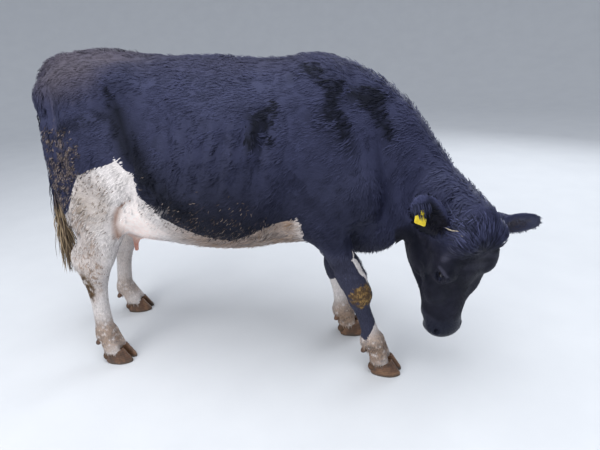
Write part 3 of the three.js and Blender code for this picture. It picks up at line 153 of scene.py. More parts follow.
def barrel(name, st, k, girth_at):
    m = Mass(); st = np.asarray(st, float); n = len(st)
    def d(P, lo, hi):
        x, y, z = P.T
        i = np.clip(np.searchsorted(st[:, 0], x, side="right") - 1, 0, n - 2)
        a, b, c, e = st[np.maximum(i - 1, 0)], st[i], st[i + 1], st[np.minimum(i + 2, n - 1)]
        w = c[:, 0] - b[:, 0]; t = np.clip((x - b[:, 0]) / w, 0, 1); t2 = t * t; t3 = t2 * t
        mb = (c - a)[:, 1:5] / (c - a)[:, :1] * w[:, None]; mc = (e - b)[:, 1:5] / (e - b)[:, :1] * w[:, None]
        v = (2 * t3 - 3 * t2 + 1)[:, None] * b[:, 1:5] + (t3 - 2 * t2 + t)[:, None] * mb + (3 * t2 - 2 * t3)[:, None] * c[:, 1:5] + (t3 - t2)[:, None] * mc
        top, bot, hw, sq = v.T
        zw = bot + (top - bot) * girth_at; up = z > zw
        rz = np.where(up, top - zw, zw - bot); ex = np.where(up, sq, 2.25)
        uu = np.abs(y) / hw; vv = np.abs(z - zw) / rz
        q = np.power(np.power(uu, ex) + np.power(vv, ex), 1 / ex); qs = np.maximum(q, 1e-6)
        gu = np.power(uu / qs, ex - 1) / hw; gv = np.power(vv / qs, ex - 1) / rz
        dd = np.where(q < 1e-6, -np.minimum(hw, rz), (q - 1) / np.maximum(np.hypot(gu, gv), 1e-9))
        over = np.maximum(np.maximum(st[0, 0] - x, x - st[-1, 0]), 0)
        return np.where(over > 0, np.hypot(np.maximum(dd, 0), over), dd)
    m.d = d
    return keep(m, name, k, False, [st[0, 0] - 0.05, -0.42, 0.5], [st[-1, 0] + 0.05, 0.42, 1.5])

# ------------------------------------------------------------- trunk
part = "trunk"
barrel("barrel", [
    [-0.730, 1.375, 1.10, 0.085, 2.0], [-0.640, 1.405, 0.87, 0.165, 2.0], [-0.500, HIP_HEIGHT, 0.70, 0.215, 2.2],
    [-0.350, 1.402, 0.615, 0.255, 2.5], [-0.180, 1.384, 0.585, 0.310, 2.5], [0.000, 1.377, BELLY_HEIGHT, 0.352, 2.3],
    [0.180, 1.370, 0.580, 0.352, 2.1], [0.340, 1.360, 0.600, 0.308, 2.0], [0.480, WITHERS_HEIGHT, 0.600, 0.245, 2.0],
    [0.620, 1.300, 0.590, 0.190, 2.0], [0.760, 1.190, 0.610, 0.150, 2.0], [0.860, 1.080, 0.670, 0.110, 2.0]], 0.02, 0.43)
tube("sacral_ridge", [[-0.22, 0, 1.350, 0.035, 0.035], [-0.46, 0, 1.388, 0.035, 0.035], [-0.68, 0, 1.372, 0.035, 0.035]], 0.06)
egg("loin", [-0.10, 0, 1.325], [0.24, 0.175, 0.048], 0.06)
egg("withers", [0.49, 0, 1.276], [0.16, 0.060, 0.058], 0.08)
for side in (-1, 1):
    egg("hook_bone", [-0.262, side * 0.208, 1.288], [0.062, 0.050, 0.046], 0.09)
    tube("croup", [[-0.27, side * 0.175, 1.285, 0.065, 0.07], [-0.50, side * 0.135, 1.290, 0.075, 0.085], [-0.675, side * 0.095, 1.265, 0.05, 0.065]], 0.07)
    egg("pin_bone", [-0.712, side * 0.108, 1.258], [0.042, 0.036, 0.046], 0.06)
    egg("shoulder_blade", [0.505, side * 0.100, 1.19], [0.09, 0.048, 0.15], 0.12)
    egg("flank_hollow", [-0.150, side * 0.362, 1.165], [0.11, 0.055, 0.095], 0.11, None, True)
    egg("flank_groove", [-0.262, side * 0.315, 1.110], [0.040, 0.048, 0.135], 0.07, None, True)
egg("rumen", [0.02, 0.10, 0.93], [0.36, 0.275, 0.27], 0.10)
egg("brisket", [0.655, 0, 0.630], [0.150, 0.085, 0.090], 0.06)
egg("breast", [0.725, 0, 0.79], [0.105, 0.158, 0.19], 0.08)

# ------------------------------------------------------------- neck
part = "neck"
NECK = [[0.600, 0, 0.985, 0.155, 0.310], [0.750, 0.000, 0.895, 0.128, 0.240], [0.890, -0.035, 0.810, 0.105, 0.178],
        [0.985, -0.095, 0.778, 0.098, 0.142], [1.060, -0.165, 0.752, 0.090, 0.112]]
tube("neck", NECK, 0.05, [0.12, 0.99, 0])
CREST = [[0.60, 0, 1.262, 0.03, 0.04], [0.78, 0, 1.150, 0.032, 0.05], [0.902, -0.034, 0.962, 0.034, 0.048], [1.016, -0.134, 0.834, 0.038, 0.038]]
tube("neck_crest", CREST, 0.06)
tube("dewlap", [[0.70, 0, 0.634, 0.030, 0.055], [0.79, -0.010, 0.680, 0.022, 0.045], [0.87, -0.03, 0.698, 0.026, 0.04]], 0.05)

# ------------------------------------------------------------- hind legs
HIND = {
    "right": dict(side=-1, hip=[-0.490, -0.165, 1.13], stifle=[-0.335, -0.212, 0.865], hock=[-0.582, -0.236, 0.485], fetlock=[-0.572, -0.247, 0.138], foot=[-0.522, -0.252], turn=6),
    "left": dict(side=1, hip=[-0.520, 0.165, 1.12], stifle=[-0.395, 0.208, 0.850], hock=[-0.735, 0.212, 0.475], fetlock=[-0.766, 0.196, 0.128], foot=[-0.695, 0.190], turn=14)}
def pt(p, rs, rd): return [p[0], p[1], p[2], rs, rd]
def off(a, b): return [a[0] + b[0], a[1] + b[1], a[2] + b[2]]
def lerp3(a, b, t): return [mix(a[i], b[i], t) for i in range(3)]
for name, L in HIND.items():
    part = "hind_" + name
    s, hip, stifle, hock, fetlock = L["side"], L["hip"], L["stifle"], L["hock"], L["fetlock"]
    tube("thigh", [pt(off(hip, [0.04, 0, 0.02]), 0.085, 0.16), pt(off(lerp3(hip, stifle, 0.5), [-0.02, s * 0.005, 0]), 0.090, 0.155), pt(off(stifle, [-0.02, 0, 0]), 0.066, 0.098)], 0.07)
    tube("ham", [[-0.690, s * 0.105, 1.215, 0.050, 0.060], [-0.668, s * 0.135, 1.02, 0.072, 0.085], pt(off(lerp3(hip, hock, 0.60), [-0.045, -s * 0.02, 0.03]), 0.068, 0.092), pt(off(lerp3(stifle, hock, 0.62), [-0.055, 0, 0]), 0.040, 0.052)], 0.06)
    egg("calf", off(lerp3(stifle, hock, 0.36), [-0.085, -s * 0.006, 0.0]), [0.085, 0.056, 0.125], 0.05)
    egg("inner_thigh", off(lerp3(hip, hock, 0.50), [0.01, -s * 0.035, 0]), [0.12, 0.055, 0.16], 0.06)
    tube("gaskin", [pt(off(stifle, [-0.01, 0, 0]), 0.066, 0.095), pt(off(lerp3(stifle, hock, 0.45), [-0.002, 0, 0]), 0.058, 0.082), pt(off(lerp3(stifle, hock, 0.80), [0.020, 0, 0]), 0.046, 0.073), pt(off(hock, [0.020, 0, 0]), 0.043, 0.070)], 0.045)
    egg("knee_cap", off(stifle, [0.025, 0, -0.005]), [0.045, 0.042, 0.055], 0.06)
    tube("hamstring", [pt(off(lerp3(stifle, hock, 0.60), [-0.070, 0, 0.02]), 0.026, 0.030), pt(off(hock, [-0.062, 0, 0.075]), 0.017, 0.022), pt(off(hock, [-0.064, 0, 0.025]), 0.021, 0.024)], 0.03)
    tube("hock_bone", [pt(off(hock, [-0.050, 0, 0.020]), 0.022, 0.028), pt(off(hock, [-0.018, 0, -0.055]), 0.028, 0.030)], 0.03)
    egg("hock", off(hock, [0.020, 0, -0.015]), [0.062, 0.046, 0.080], 0.03)
    tube("hock_web", [pt(off(lerp3(stifle, hock, 0.66), [-0.042, 0, 0.01]), 0.024, 0.040), pt(off(hock, [-0.032, 0, 0.075]), 0.018, 0.034), pt(off(hock, [-0.032, 0, 0.02]), 0.022, 0.034)], 0.03)
    tube("cannon", [pt(off(hock, [0.012, 0, -0.07]), 0.040, 0.058), pt(off(lerp3(hock, fetlock, 0.5), [0.005, 0, 0]), 0.034, 0.045), pt(off(fetlock, [0, 0, 0.03]), 0.038, 0.046)], 0.02)
    egg("fetlock", fetlock, [0.051, 0.048, 0.052], 0.025)

# ------------------------------------------------------------- fore legs
FORE = {
    "right": dict(side=-1, shoulder=[0.690, -0.178, 0.860], elbow=[0.490, -0.185, 0.725], knee=[0.657, -0.138, 0.405], fetlock=[0.716, -0.116, 0.160], foot=[0.762, -0.106], turn=-3),
    "left": dict(side=1, shoulder=[0.675, 0.178, 0.865], elbow=[0.450, 0.185, 0.725], knee=[0.500, 0.168, 0.375], fetlock=[0.540, 0.168, 0.130], foot=[0.572, 0.172], turn=8)}
for name, L in FORE.items():
    part = "fore_" + name
    s, shoulder, elbow, knee, fetlock = L["side"], L["shoulder"], L["elbow"], L["knee"], L["fetlock"]
    tube("scapula", [[0.50, s * 0.115, 1.20, 0.040, 0.085], [0.585, s * 0.150, 1.03, 0.052, 0.090], pt(off(shoulder, [-0.035, 0, 0.01]), 0.050, 0.072)], 0.08)
    egg("shoulder_point", off(shoulder, [-0.015, s * 0.006, -0.02]), [0.055, 0.045, 0.065], 0.08)
    tube("triceps", [[0.475, s * 0.165, 1.00, 0.050, 0.10], pt(off(elbow, [0.03, 0, 0.12]), 0.060, 0.115), pt(off(elbow, [0.01, 0, 0.02]), 0.050, 0.075)], 0.06)
    tube("upper_arm", [pt(off(shoulder, [-0.015, 0, 0]), 0.050, 0.062), pt(off(elbow, [0.05, 0, 0.03]), 0.052, 0.085)], 0.06)
    egg("elbow", off(elbow, [-0.035, 0, 0.015]), [0.036, 0.030, 0.045], 0.05)
    tube("forearm", [pt(off(elbow, [0.045, 0, -0.01]), 0.050, 0.082), pt(off(lerp3(elbow, knee, 0.40), [0.030, 0, 0]), 0.046, 0.066), pt(off(lerp3(elbow, knee, 0.80), [0.010, 0, 0]), 0.041, 0.058), pt(off(knee, [0.002, 0, 0]), 0.042, 0.048)], 0.035)
    egg("extensors", off(lerp3(elbow, knee, 0.66), [0.032, 0, 0]), [0.050, 0.040, 0.080], 0.045)
    egg("knee", off(knee, [0.004, 0, -0.004]), [0.049, 0.047, 0.060], 0.03)
    egg("knee_back", off(knee, [-0.028, 0, 0.018]), [0.020, 0.022, 0.030], 0.025)
    tube("fore_cannon", [pt(off(knee, [0.000, 0, -0.04]), 0.037, 0.041), pt(off(lerp3(knee, fetlock, 0.5), [-0.002, 0, 0]), 0.031, 0.036), pt(off(fetlock, [-0.006, 0, 0.02]), 0.037, 0.042)], 0.02)
    egg("fore_fetlock", off(fetlock, [-0.008, 0, 0]), [0.051, 0.047, 0.050], 0.025)

# ------------------------------------------------------------- feet
FEET = []
for end, legs in (("hind", HIND), ("fore", FORE)):
    for name, L in legs.items():
        part = end + "_" + name
        h = math.radians(L["turn"]); fwd = vec(math.cos(h), math.sin(h), 0); out = vec(-math.sin(h), math.cos(h), 0); up = vec(0, 0, 1)
        for t in (-1, 1):
            c = vec(L["foot"][0], L["foot"][1], 0); mid = c + out * t * CLAW_WIDTH * 0.56
            root = np.array(L["fetlock"]) + out * t * 0.020 + fwd * 0.012
            tube("pastern", [pt(root, 0.029, 0.037), pt(mid - fwd * 0.014 + up * 0.068, 0.0265, 0.040), pt(mid - fwd * 0.004 + up * 0.045, 0.022, 0.036)], 0.014, out)
            egg("heel_bulb", mid - fwd * 0.043 + up * 0.034, [0.024, 0.0225, 0.024], 0.012, [fwd, out, up])
            FEET.append(dict(leg=f"{end}_{name}", t=t, mid=mid, fwd=fwd, out=out, set=L))
        egg("pastern_web", c + up * 0.080 - fwd * 0.024, [0.040, 0.034, 0.036], 0.02, [fwd, out, up])

# ------------------------------------------------------------- udder, tail
part = "udder"
egg("udder", [-0.475, 0, 0.705], [0.165, 0.122, 0.125], 0.05)
for s in (-1, 1):
    egg("fore_quarter", [-0.400, s * 0.062, 0.660], [0.095, 0.062, 0.085], 0.03)
    egg("hind_quarter", [-0.540, s * 0.066, 0.672], [0.085, 0.062, 0.092], 0.03)
    tube("fore_teat", [[-0.412, s * 0.086, 0.600, 0.017, 0.017], [-0.418, s * 0.092, 0.560, 0.0125, 0.0125], [-0.420, s * 0.094, 0.532, 0.0105, 0.0105]], 0.016)
    tube("hind_teat", [[-0.545, s * 0.064, 0.600, 0.017, 0.017], [-0.547, s * 0.066, 0.568, 0.0125, 0.0125], [-0.548, s * 0.067, 0.545, 0.0105, 0.0105]], 0.016)
    egg("udder_shelf", [-0.292, s * 0.120, 0.700], [0.125, 0.105, 0.085], 0.05)
part = "trunk"
tube("belly_floor", [[-0.33, 0, 0.672, 0.12, 0.060], [-0.20, 0, 0.660, 0.16, 0.074], [0.00, 0, 0.655, 0.17, 0.077], [0.16, 0, 0.655, 0.15, 0.073], [0.30, 0, 0.680, 0.10, 0.060]], 0.06)
part = "tail"
TAIL = [[-0.640, 0, 1.385], [-0.740, 0, 1.370], [-0.814, -0.006, 1.285], [-0.836, -0.020, 1.130], [-0.840, -0.040, 0.930], [-0.838, -0.062, 0.740], [-0.828, -0.080, 0.560], [-0.814, -0.088, 0.430]]
TAIL_R = [0.032, 0.034, 0.028, 0.023, 0.020, 0.030, 0.032, 0.012]
tube("tail", [p + [r, r] for p, r in zip(TAIL, TAIL_R)], 0.03)

# ------------------------------------------------------------- head
part = "head"
def head_egg(name, c, r, k, carve=False): return egg(name, on_head(*c), np.array(r) * HEAD_UNITS, k, HEAD, carve)
def head_tube(name, st, k, carve=False): return tube(name, [[*on_head(a, s, f), rs * HEAD_UNITS[1], rd * HEAD_UNITS[2]] for a, s, f, rs, rd in st], k, HEAD[1], carve)
head_egg("cranium", [0.080, 0, -0.078], [0.092, 0.080, 0.072], 0.035)
head_egg("poll_crown", [0.026, 0, -0.044], [0.044, 0.062, 0.040], 0.03)
head_egg("forehead", [0.130, 0, -0.052], [0.130, 0.098, 0.050], 0.03)
head_tube("nose_bridge", [[0.20, 0, -0.062, 0.072, 0.050], [0.32, 0, -0.066, 0.057, 0.044], [0.45, 0, -0.066, 0.052, 0.042]], 0.03)
head_egg("muzzle", [0.488, 0, -0.066], [0.054, 0.068, 0.050], 0.025)
head_egg("upper_lip", [0.508, 0, -0.092], [0.036, 0.058, 0.040], 0.02)
head_egg("chin", [0.480, 0, -0.134], [0.048, 0.042, 0.026], 0.016)
head_egg("between_jaws", [0.245, 0, -0.165], [0.15, 0.052, 0.062], 0.03)
for s in (-1, 1):
    head_egg("brow", [0.160, s * 0.080, -0.042], [0.062, 0.031, 0.034], 0.045)
    head_egg("forelock", [0.056, s * 0.046, -0.026], [0.052, 0.056, 0.042], 0.03)
    head_egg("orbit", [0.190, s * 0.080, -0.056], [0.046, 0.030, 0.036], 0.035)
    head_egg("temple", [0.115, s * 0.072, -0.100], [0.070, 0.032, 0.045], 0.04)
    head_egg("cheek_bone", [0.220, s * 0.078, -0.075], [0.060, 0.026, 0.032], 0.025)
    head_egg("cheek_front", [0.285, s * 0.068, -0.074], [0.075, 0.036, 0.038], 0.035)
    head_tube("upper_jaw", [[0.21, s * 0.052, -0.098, 0.042, 0.055], [0.32, s * 0.051, -0.096, 0.036, 0.046], [0.44, s * 0.036, -0.094, 0.034, 0.042]], 0.03)
    head_egg("masseter", [0.195, s * 0.064, -0.164], [0.110, 0.043, 0.080], 0.03)
    head_tube("lower_jaw", [[0.110, s * 0.064, -0.180, 0.026, 0.042], [0.178, s * 0.070, -0.237, 0.024, 0.030], [0.28, s * 0.056, -0.204, 0.024, 0.030], [0.38, s * 0.032, -0.158, 0.020, 0.028], [0.465, s * 0.018, -0.138, 0.020, 0.024]], 0.022)
    head_tube("ear_root", [[0.050, s * 0.070, -0.060, 0.03, 0.034], [0.040, s * 0.105, -0.064, 0.024, 0.030]], 0.022)
    head_egg("eye_opening", [0.194, s * 0.1065, -0.032], [0.0205, 0.0155, 0.0105], 0.005, True)
    head_egg("nostril", [0.482, s * 0.052, -0.026], [0.016, 0.009, 0.014], 0.008, True)

def ear(s, tipward, facing):
    root = on_head(0.042, s * 0.098, -0.064); d = unit(tipward); facing = np.asarray(facing)
    op = unit(facing - d * (facing @ d)); ac = np.cross(d, op); ln = 0.245
    at = lambda t, w=0, o=0: root + d * t * ln + ac * w + op * o
    b = [d, ac, op]
    egg("ear_base", at(0.12, 0, -0.004), [0.055, 0.033, 0.028], 0.02, b)
    egg("ear_blade", at(0.50, 0, 0), [0.112, 0.059, 0.0165], 0.016, b)
    egg("ear_tip", at(0.80, 0, 0.002), [0.040, 0.025, 0.009], 0.012, b)
    egg("ear_cup", at(0.46, 0, 0.036), [0.090, 0.043, 0.0335], 0.010, b, True)
    return dict(root=root, dir=d, open=op, across=ac, len=ln, at=at)
part = "ear_right"; EAR_R = ear(-1, along(-0.744, -0.663, 0.0), along(-0.30, -0.35, 0.85))
part = "ear_left"; EAR_L = ear(1, along(0.23, 0.97, 0.03), along(0.35, 0.05, 0.90))
EARS = (EAR_R, EAR_L)
EYES = [dict(s=s, c=on_head(0.194, s * 0.0820, -0.0365)) for s in (-1, 1)]
BASE = list(flesh)                       # the masses of the solids, before the skin's own details
def part_distance(P, names, reach=0.25):
    """distance to the nearest mass of the named parts"""
    ms = [m for m in BASE if not m.carve and m.part in names]
    out = np.full(len(P), 1.0)
    lo = np.min([m.lo for m in ms], 0) - reach; hi = np.max([m.hi for m in ms], 0) + reach
    idx = np.flatnonzero(((P > lo) & (P < hi)).all(1))
    if not len(idx): return out
    Q = P[idx]; v = np.full(len(idx), 1.0)
    big = vec(-9, -9, -9), vec(9, 9, 9)
    for m in ms:
        j = np.flatnonzero(((Q > m.lo - reach) & (Q < m.hi + reach)).all(1))
        if len(j): v[j] = np.minimum(v[j], m.d(Q[j], *[np.array(b) for b in (Q[j].min(0), Q[j].max(0))]))
    out[idx] = v
    return out
def on_tail(P): return smooth(0.035, 0.018, part_distance(P, ("tail",), 0.05))
def on_ear(P, lo=0.010, hi=0.022): return smooth(hi, lo, part_distance(P, ("ear_right", "ear_left"), 0.03))

# ------------------------------------------------- the melted-together form
LO, HI = vec(-0.94, -0.42, -0.03), vec(1.36, 0.42, 1.47)
def near(m, lo, hi):
    pad = m.k + 0.03
    return not ((m.lo - pad > hi).any() or (m.hi + pad < lo).any())
def form(P, masses, lo, hi):
    d = np.ones(len(P))
    for m in masses:
        e = m.d(P, lo, hi); k = m.k
        if m.carve:
            e = -e; h = np.maximum(k - np.abs(d - e), 0) / k; d = np.maximum(d, e) + h * h * k * 0.25
        else:
            h = np.maximum(k - np.abs(d - e), 0) / k; d = np.minimum(d, e) - h * h * k * 0.25
    return d
POOL = ThreadPoolExecutor(4)
def grouped(P, cell):
    q = np.floor((P - (LO - 1)) / cell).astype(np.int64)
    code = (q[:, 0] * 4096 + q[:, 1]) * 4096 + q[:, 2]
    order = np.argsort(code, kind="stable"); cuts = np.flatnonzero(np.diff(code[order])) + 1
    return np.split(order, cuts)
def field(P, masses=None, cell=0.11):
    masses = flesh if masses is None else masses
    out = np.empty(len(P))
    def work(idx):
        Q = P[idx]; lo, hi = Q.min(0), Q.max(0)
        out[idx] = form(Q, [m for m in masses if near(m, lo, hi)], lo, hi)
    list(POOL.map(work, grouped(P, cell)))
    return out

# depth of the coat: how far the skin lies inside the solids
def ear_param(P, e):
    V = P - e["root"]; t = V @ e["dir"]
    return t / e["len"], np.sqrt(np.maximum((V * V).sum(1) - t * t, 0))
def coat_depth(P):
    x, y, z = P.T
    d = np.full(len(P), COAT_DEPTH)
    d = mix(d, 0.0032, smooth(0.62, 0.50, z)); d = mix(d, 0.0018, smooth(0.20, 0.12, z))
    belly = smooth(0.50, 0.62, x) * smooth(0.93, 0.76, x) * smooth(0.660, 0.585, z) * smooth(0.50, 0.53, z)
    d = mix(d, 0.014, belly)
    dock = smooth(-0.770, -0.785, x) * on_tail(P)
    d = mix(d, 0.0045, dock); d = mix(d, 0.017, dock * smooth(0.86, 0.74, z))
    bag = smooth(-0.68, -0.66, x) * smooth(-0.27, -0.30, x) * smooth(0.150, 0.125, np.abs(y)) * smooth(0.78, 0.70, z) * smooth(0.49, 0.51, z)
    d = mix(d, 0.0012, bag)
    i = np.flatnonzero(x > 0.80)
    if len(i):
        Q = P[i]; h = head_coords(Q); inside = smooth(0.98, 0.90, Q[:, 2])
        v = d[i]
        v = mix(v, 0.0030, smooth(0.0, 0.08, h[:, 0]) * inside); v = mix(v, 0.0012, smooth(0.40, 0.44, h[:, 0]) * inside)
        ew = on_ear(Q)
        for e in EARS:
            t, r = ear_param(Q, e); v = mix(v, 0.0012, smooth(0.05, 0.25, t) * smooth(0.085, 0.07, r) * ew)
        for e in EYES: v = mix(v, 0.0008, smooth(0.050, 0.030, np.linalg.norm(Q - e["c"], axis=1)))
        d[i] = v
    return d
def skin(P, masses=None): return field(P, masses) + coat_depth(P)
TETRA = vec(1, 1, 1, 1, -1, -1, -1, 1, -1, -1, -1, 1).reshape(4, 3)
def settle(P, rounds=2, eps=0.0008, masses=None, limit=0.004, level=None):
    """moves points onto the skin along its slope; gives the points and the normals"""
    P = P.copy(); n = len(P); G = None
    for r in range(rounds + 1):
        Q = (P[None] + TETRA[:, None] * eps).reshape(-1, 3)
        v = skin(Q, masses).reshape(4, n)
        G = (v[:, :, None] * TETRA[:, None]).sum(0) / (4 * eps); v = v.mean(0) - (0 if level is None else level)
        g2 = np.maximum((G * G).sum(1), 0.05)
        if r == rounds: break
        step = v[:, None] * G / g2[:, None]; ln = np.linalg.norm(step, axis=1, keepdims=True)
        P -= step * np.minimum(1, limit / np.maximum(ln, 1e-9))
    return P, unit(G)

# ------------------------------------------------- folds, lids and lips
# each line is laid near the surface, settled onto it, and raised or sunk
def line_on_skin(pts, lift=0.0):
    P, N = settle(np.array(pts, float), 4, masses=BASE, limit=0.02)
    return P + N * lift
def ridge(name, pts, r, k, lift=0.0, carve=False):
    P = line_on_skin(pts, lift); r = np.broadcast_to(r, len(P))
    return tube(name, [[*p, q, q] for p, q in zip(P, r)], k, HEAD[1], carve, 3)
part = "head"
for e in EYES:
    s, c = e["s"], e["c"]; A, S, F = HEAD[0], HEAD[1] * s, HEAD[2]
    def rim(deg, wide, high, stand=0.0015):
        t = math.radians(deg); u, v = wide * math.cos(t), high * math.sin(t) + 0.0045
        w = math.sqrt(max((EYE_RADIUS + stand) ** 2 - u * u - v * v, 0.0)) if u * u + v * v < (EYE_RADIUS + stand) ** 2 else 0.0
        return c + A * u + F * v + S * max(w, 0.0075)
    upper = [rim(d, 0.0222, 0.0108) for d in range(-4, 186, 19)]
    lower = [rim(d, 0.0222, 0.0108) for d in range(184, 360, 19)]
    taper = lambda n, a, b: a + (b - a) * np.sin(np.linspace(0, math.pi, n))
    tube("upper_lid", [[*p, q, q] for p, q in zip(upper, taper(len(upper), 0.0026, 0.0052))], 0.005, S)
    tube("lower_lid", [[*p, q, q] for p, q in zip(lower, taper(len(lower), 0.0022, 0.0034))], 0.004, S)
    crease = [rim(d, 0.0285, 0.0215, 0.006) for d in range(20, 165, 18)]
    ridge("lid_crease", crease, taper(len(crease), 0.0010, 0.0022), 0.006, 0.0, True)
    fold = [rim(d, 0.030, 0.0235, 0.006) for d in range(200, 345, 18)]
    ridge("under_eye_fold", fold, taper(len(fold), 0.0005, 0.0011), 0.008, 0.0, True)
    # nostril: a comma-shaped opening with a rolled rim
    head_egg("nostril_hole", [0.486, s * 0.049, -0.034], [0.0125, 0.0065, 0.0150], 0.004, True)
    wing = [on_head(0.486 + 0.0185 * math.cos(t), s * (0.056 - 0.004 * math.sin(t)), -0.028 + 0.0165 * math.sin(t)) for t in np.radians(range(-150, 115, 22))]
    ridge("nostril_rim", wing, taper(len(wing), 0.0020, 0.0042), 0.006, -0.0012)
    # corner and line of the mouth
    ridge("mouth_side", [on_head(*p) for p in [(0.385, s * 0.060, -0.122), (0.41, s * 0.058, -0.124), (0.44, s * 0.056, -0.126), (0.47, s * 0.050, -0.127), (0.497, s * 0.036, -0.127)]], [0.0012, 0.0020, 0.0024, 0.0026, 0.0024], 0.005, 0.0, True)
    ridge("jaw_groove", [on_head(*p) for p in [(0.30, s * 0.065, -0.135), (0.26, s * 0.075, -0.150), (0.22, s * 0.080, -0.130)]], [0.002, 0.0035, 0.002], 0.016, 0.0, True)
    ridge("face_crest", [on_head(*p) for p in [(0.245, s * 0.095, -0.085), (0.30, s * 0.082, -0.095), (0.355, s * 0.070, -0.100)]], [0.006, 0.007, 0.005], 0.020, -0.004)
ridge("mouth_front", [on_head(*p) for p in [(0.497, -0.036, -0.127), (0.512, -0.018, -0.126), (0.518, 0, -0.125), (0.512, 0.018, -0.126), (0.497, 0.036, -0.127)]], [0.0024, 0.0026, 0.0026, 0.0026, 0.0024], 0.005, 0.0, True)
ridge("lip_cleft", [on_head(*p) for p in [(0.528, 0, -0.070), (0.540, 0, -0.092), (0.535, 0, -0.112)]], [0.0010, 0.0016, 0.0012], 0.006, 0.0, True)
# skin folds of the bent neck, the elbow and the flank
part = "neck"
def fold_line(name, pts, r, k, carve=True):
    return ridge(name, pts, r, k, 0.0, carve)
for s in (-1, 1):
    fold_line("throat_fold", [[0.955, -0.075 + s * 0.095, 0.860], [0.935, -0.060 + s * 0.105, 0.790], [0.930, -0.060 + s * 0.095, 0.710], [0.935, -0.060 + s * 0.07, 0.655]], [0.002, 0.0045, 0.0045, 0.002], 0.026)
    fold_line("neck_fold", [[0.890, -0.030 + s * 0.085, 0.930], [0.870, -0.025 + s * 0.11, 0.850], [0.865, -0.025 + s * 0.11, 0.760], [0.870, -0.030 + s * 0.08, 0.680]], [0.002, 0.004, 0.004, 0.002], 0.030)
    fold_line("shoulder_groove", [[0.740, s * 0.130, 1.060], [0.755, s * 0.150, 0.960], [0.765, s * 0.155, 0.860], [0.760, s * 0.145, 0.760]], [0.003, 0.007, 0.008, 0.004], 0.045)
part = "trunk"
fold_line("bag_fold", [[-0.272, -0.285, 0.840], [-0.301, -0.288, 0.827], [-0.336, -0.282, 0.797], [-0.360, -0.273, 0.761], [-0.378, -0.270, 0.713], [-0.394, -0.259, 0.661]], [0.0020, 0.0045, 0.0075, 0.0090, 0.0090, 0.0050], 0.016)
for s in (-1, 1):
    fold_line("elbow_fold", [[0.405, s * 0.25, 0.860], [0.375, s * 0.26, 0.770], [0.365, s * 0.24, 0.700]], [0.003, 0.006, 0.003], 0.040)
    fold_line("flank_fold", [[-0.235, s * 0.27, 0.985], [-0.245, s * 0.28, 0.900], [-0.262, s * 0.26, 0.815]], [0.002, 0.005, 0.002], 0.035)
    for i in range(6):                   # faint ribs behind the shoulder
        x = 0.330 - 0.075 * i
        fold_line("rib_dip", [[x + 0.02, s * 0.27, 1.150], [x + 0.005, s * 0.33, 1.030], [x - 0.025, s * 0.34, 0.900]], [0.001, 0.0032, 0.001], 0.034)
say("masses", len(flesh), "of which", len(BASE), "are the solids'")

# ------------------------------------------------- skin: polygons of the form
def sample_grid(h):
    n = np.ceil((HI - LO) / h).astype(int) + 1
    val = np.ones(n, np.float32)
    B = 16
    ax = [LO[i] + h * np.arange(n[i]) for i in range(3)]
    def work(o):
        i0, j0, k0 = o
        xs, ys, zs = ax[0][i0:i0 + B], ax[1][j0:j0 + B], ax[2][k0:k0 + B]
        lo, hi = vec(xs[0], ys[0], zs[0]), vec(xs[-1], ys[-1], zs[-1])
        ms = [m for m in flesh if near(m, lo, hi)]
        if not ms: return
        c = form(((lo + hi) / 2)[None], ms, lo, hi)[0]
        if abs(c) > B * h * 1.15:
            if c < 0: val[i0:i0 + B, j0:j0 + B, k0:k0 + B] = c
            return
        P = np.stack(np.meshgrid(xs, ys, zs, indexing="ij"), -1).reshape(-1, 3)
        val[i0:i0 + B, j0:j0 + B, k0:k0 + B] = (form(P, ms, lo, hi) + coat_depth(P)).reshape(len(xs), len(ys), len(zs))
    list(POOL.map(work, [(i, j, k) for i in range(0, n[0], B) for j in range(0, n[1], B) for k in range(0, n[2], B)]))
    for a in range(3):
        s = [slice(None)] * 3
        for e in (0, -1): s[a] = e; val[tuple(s)] = np.maximum(val[tuple(s)], h * 0.5)
    return val

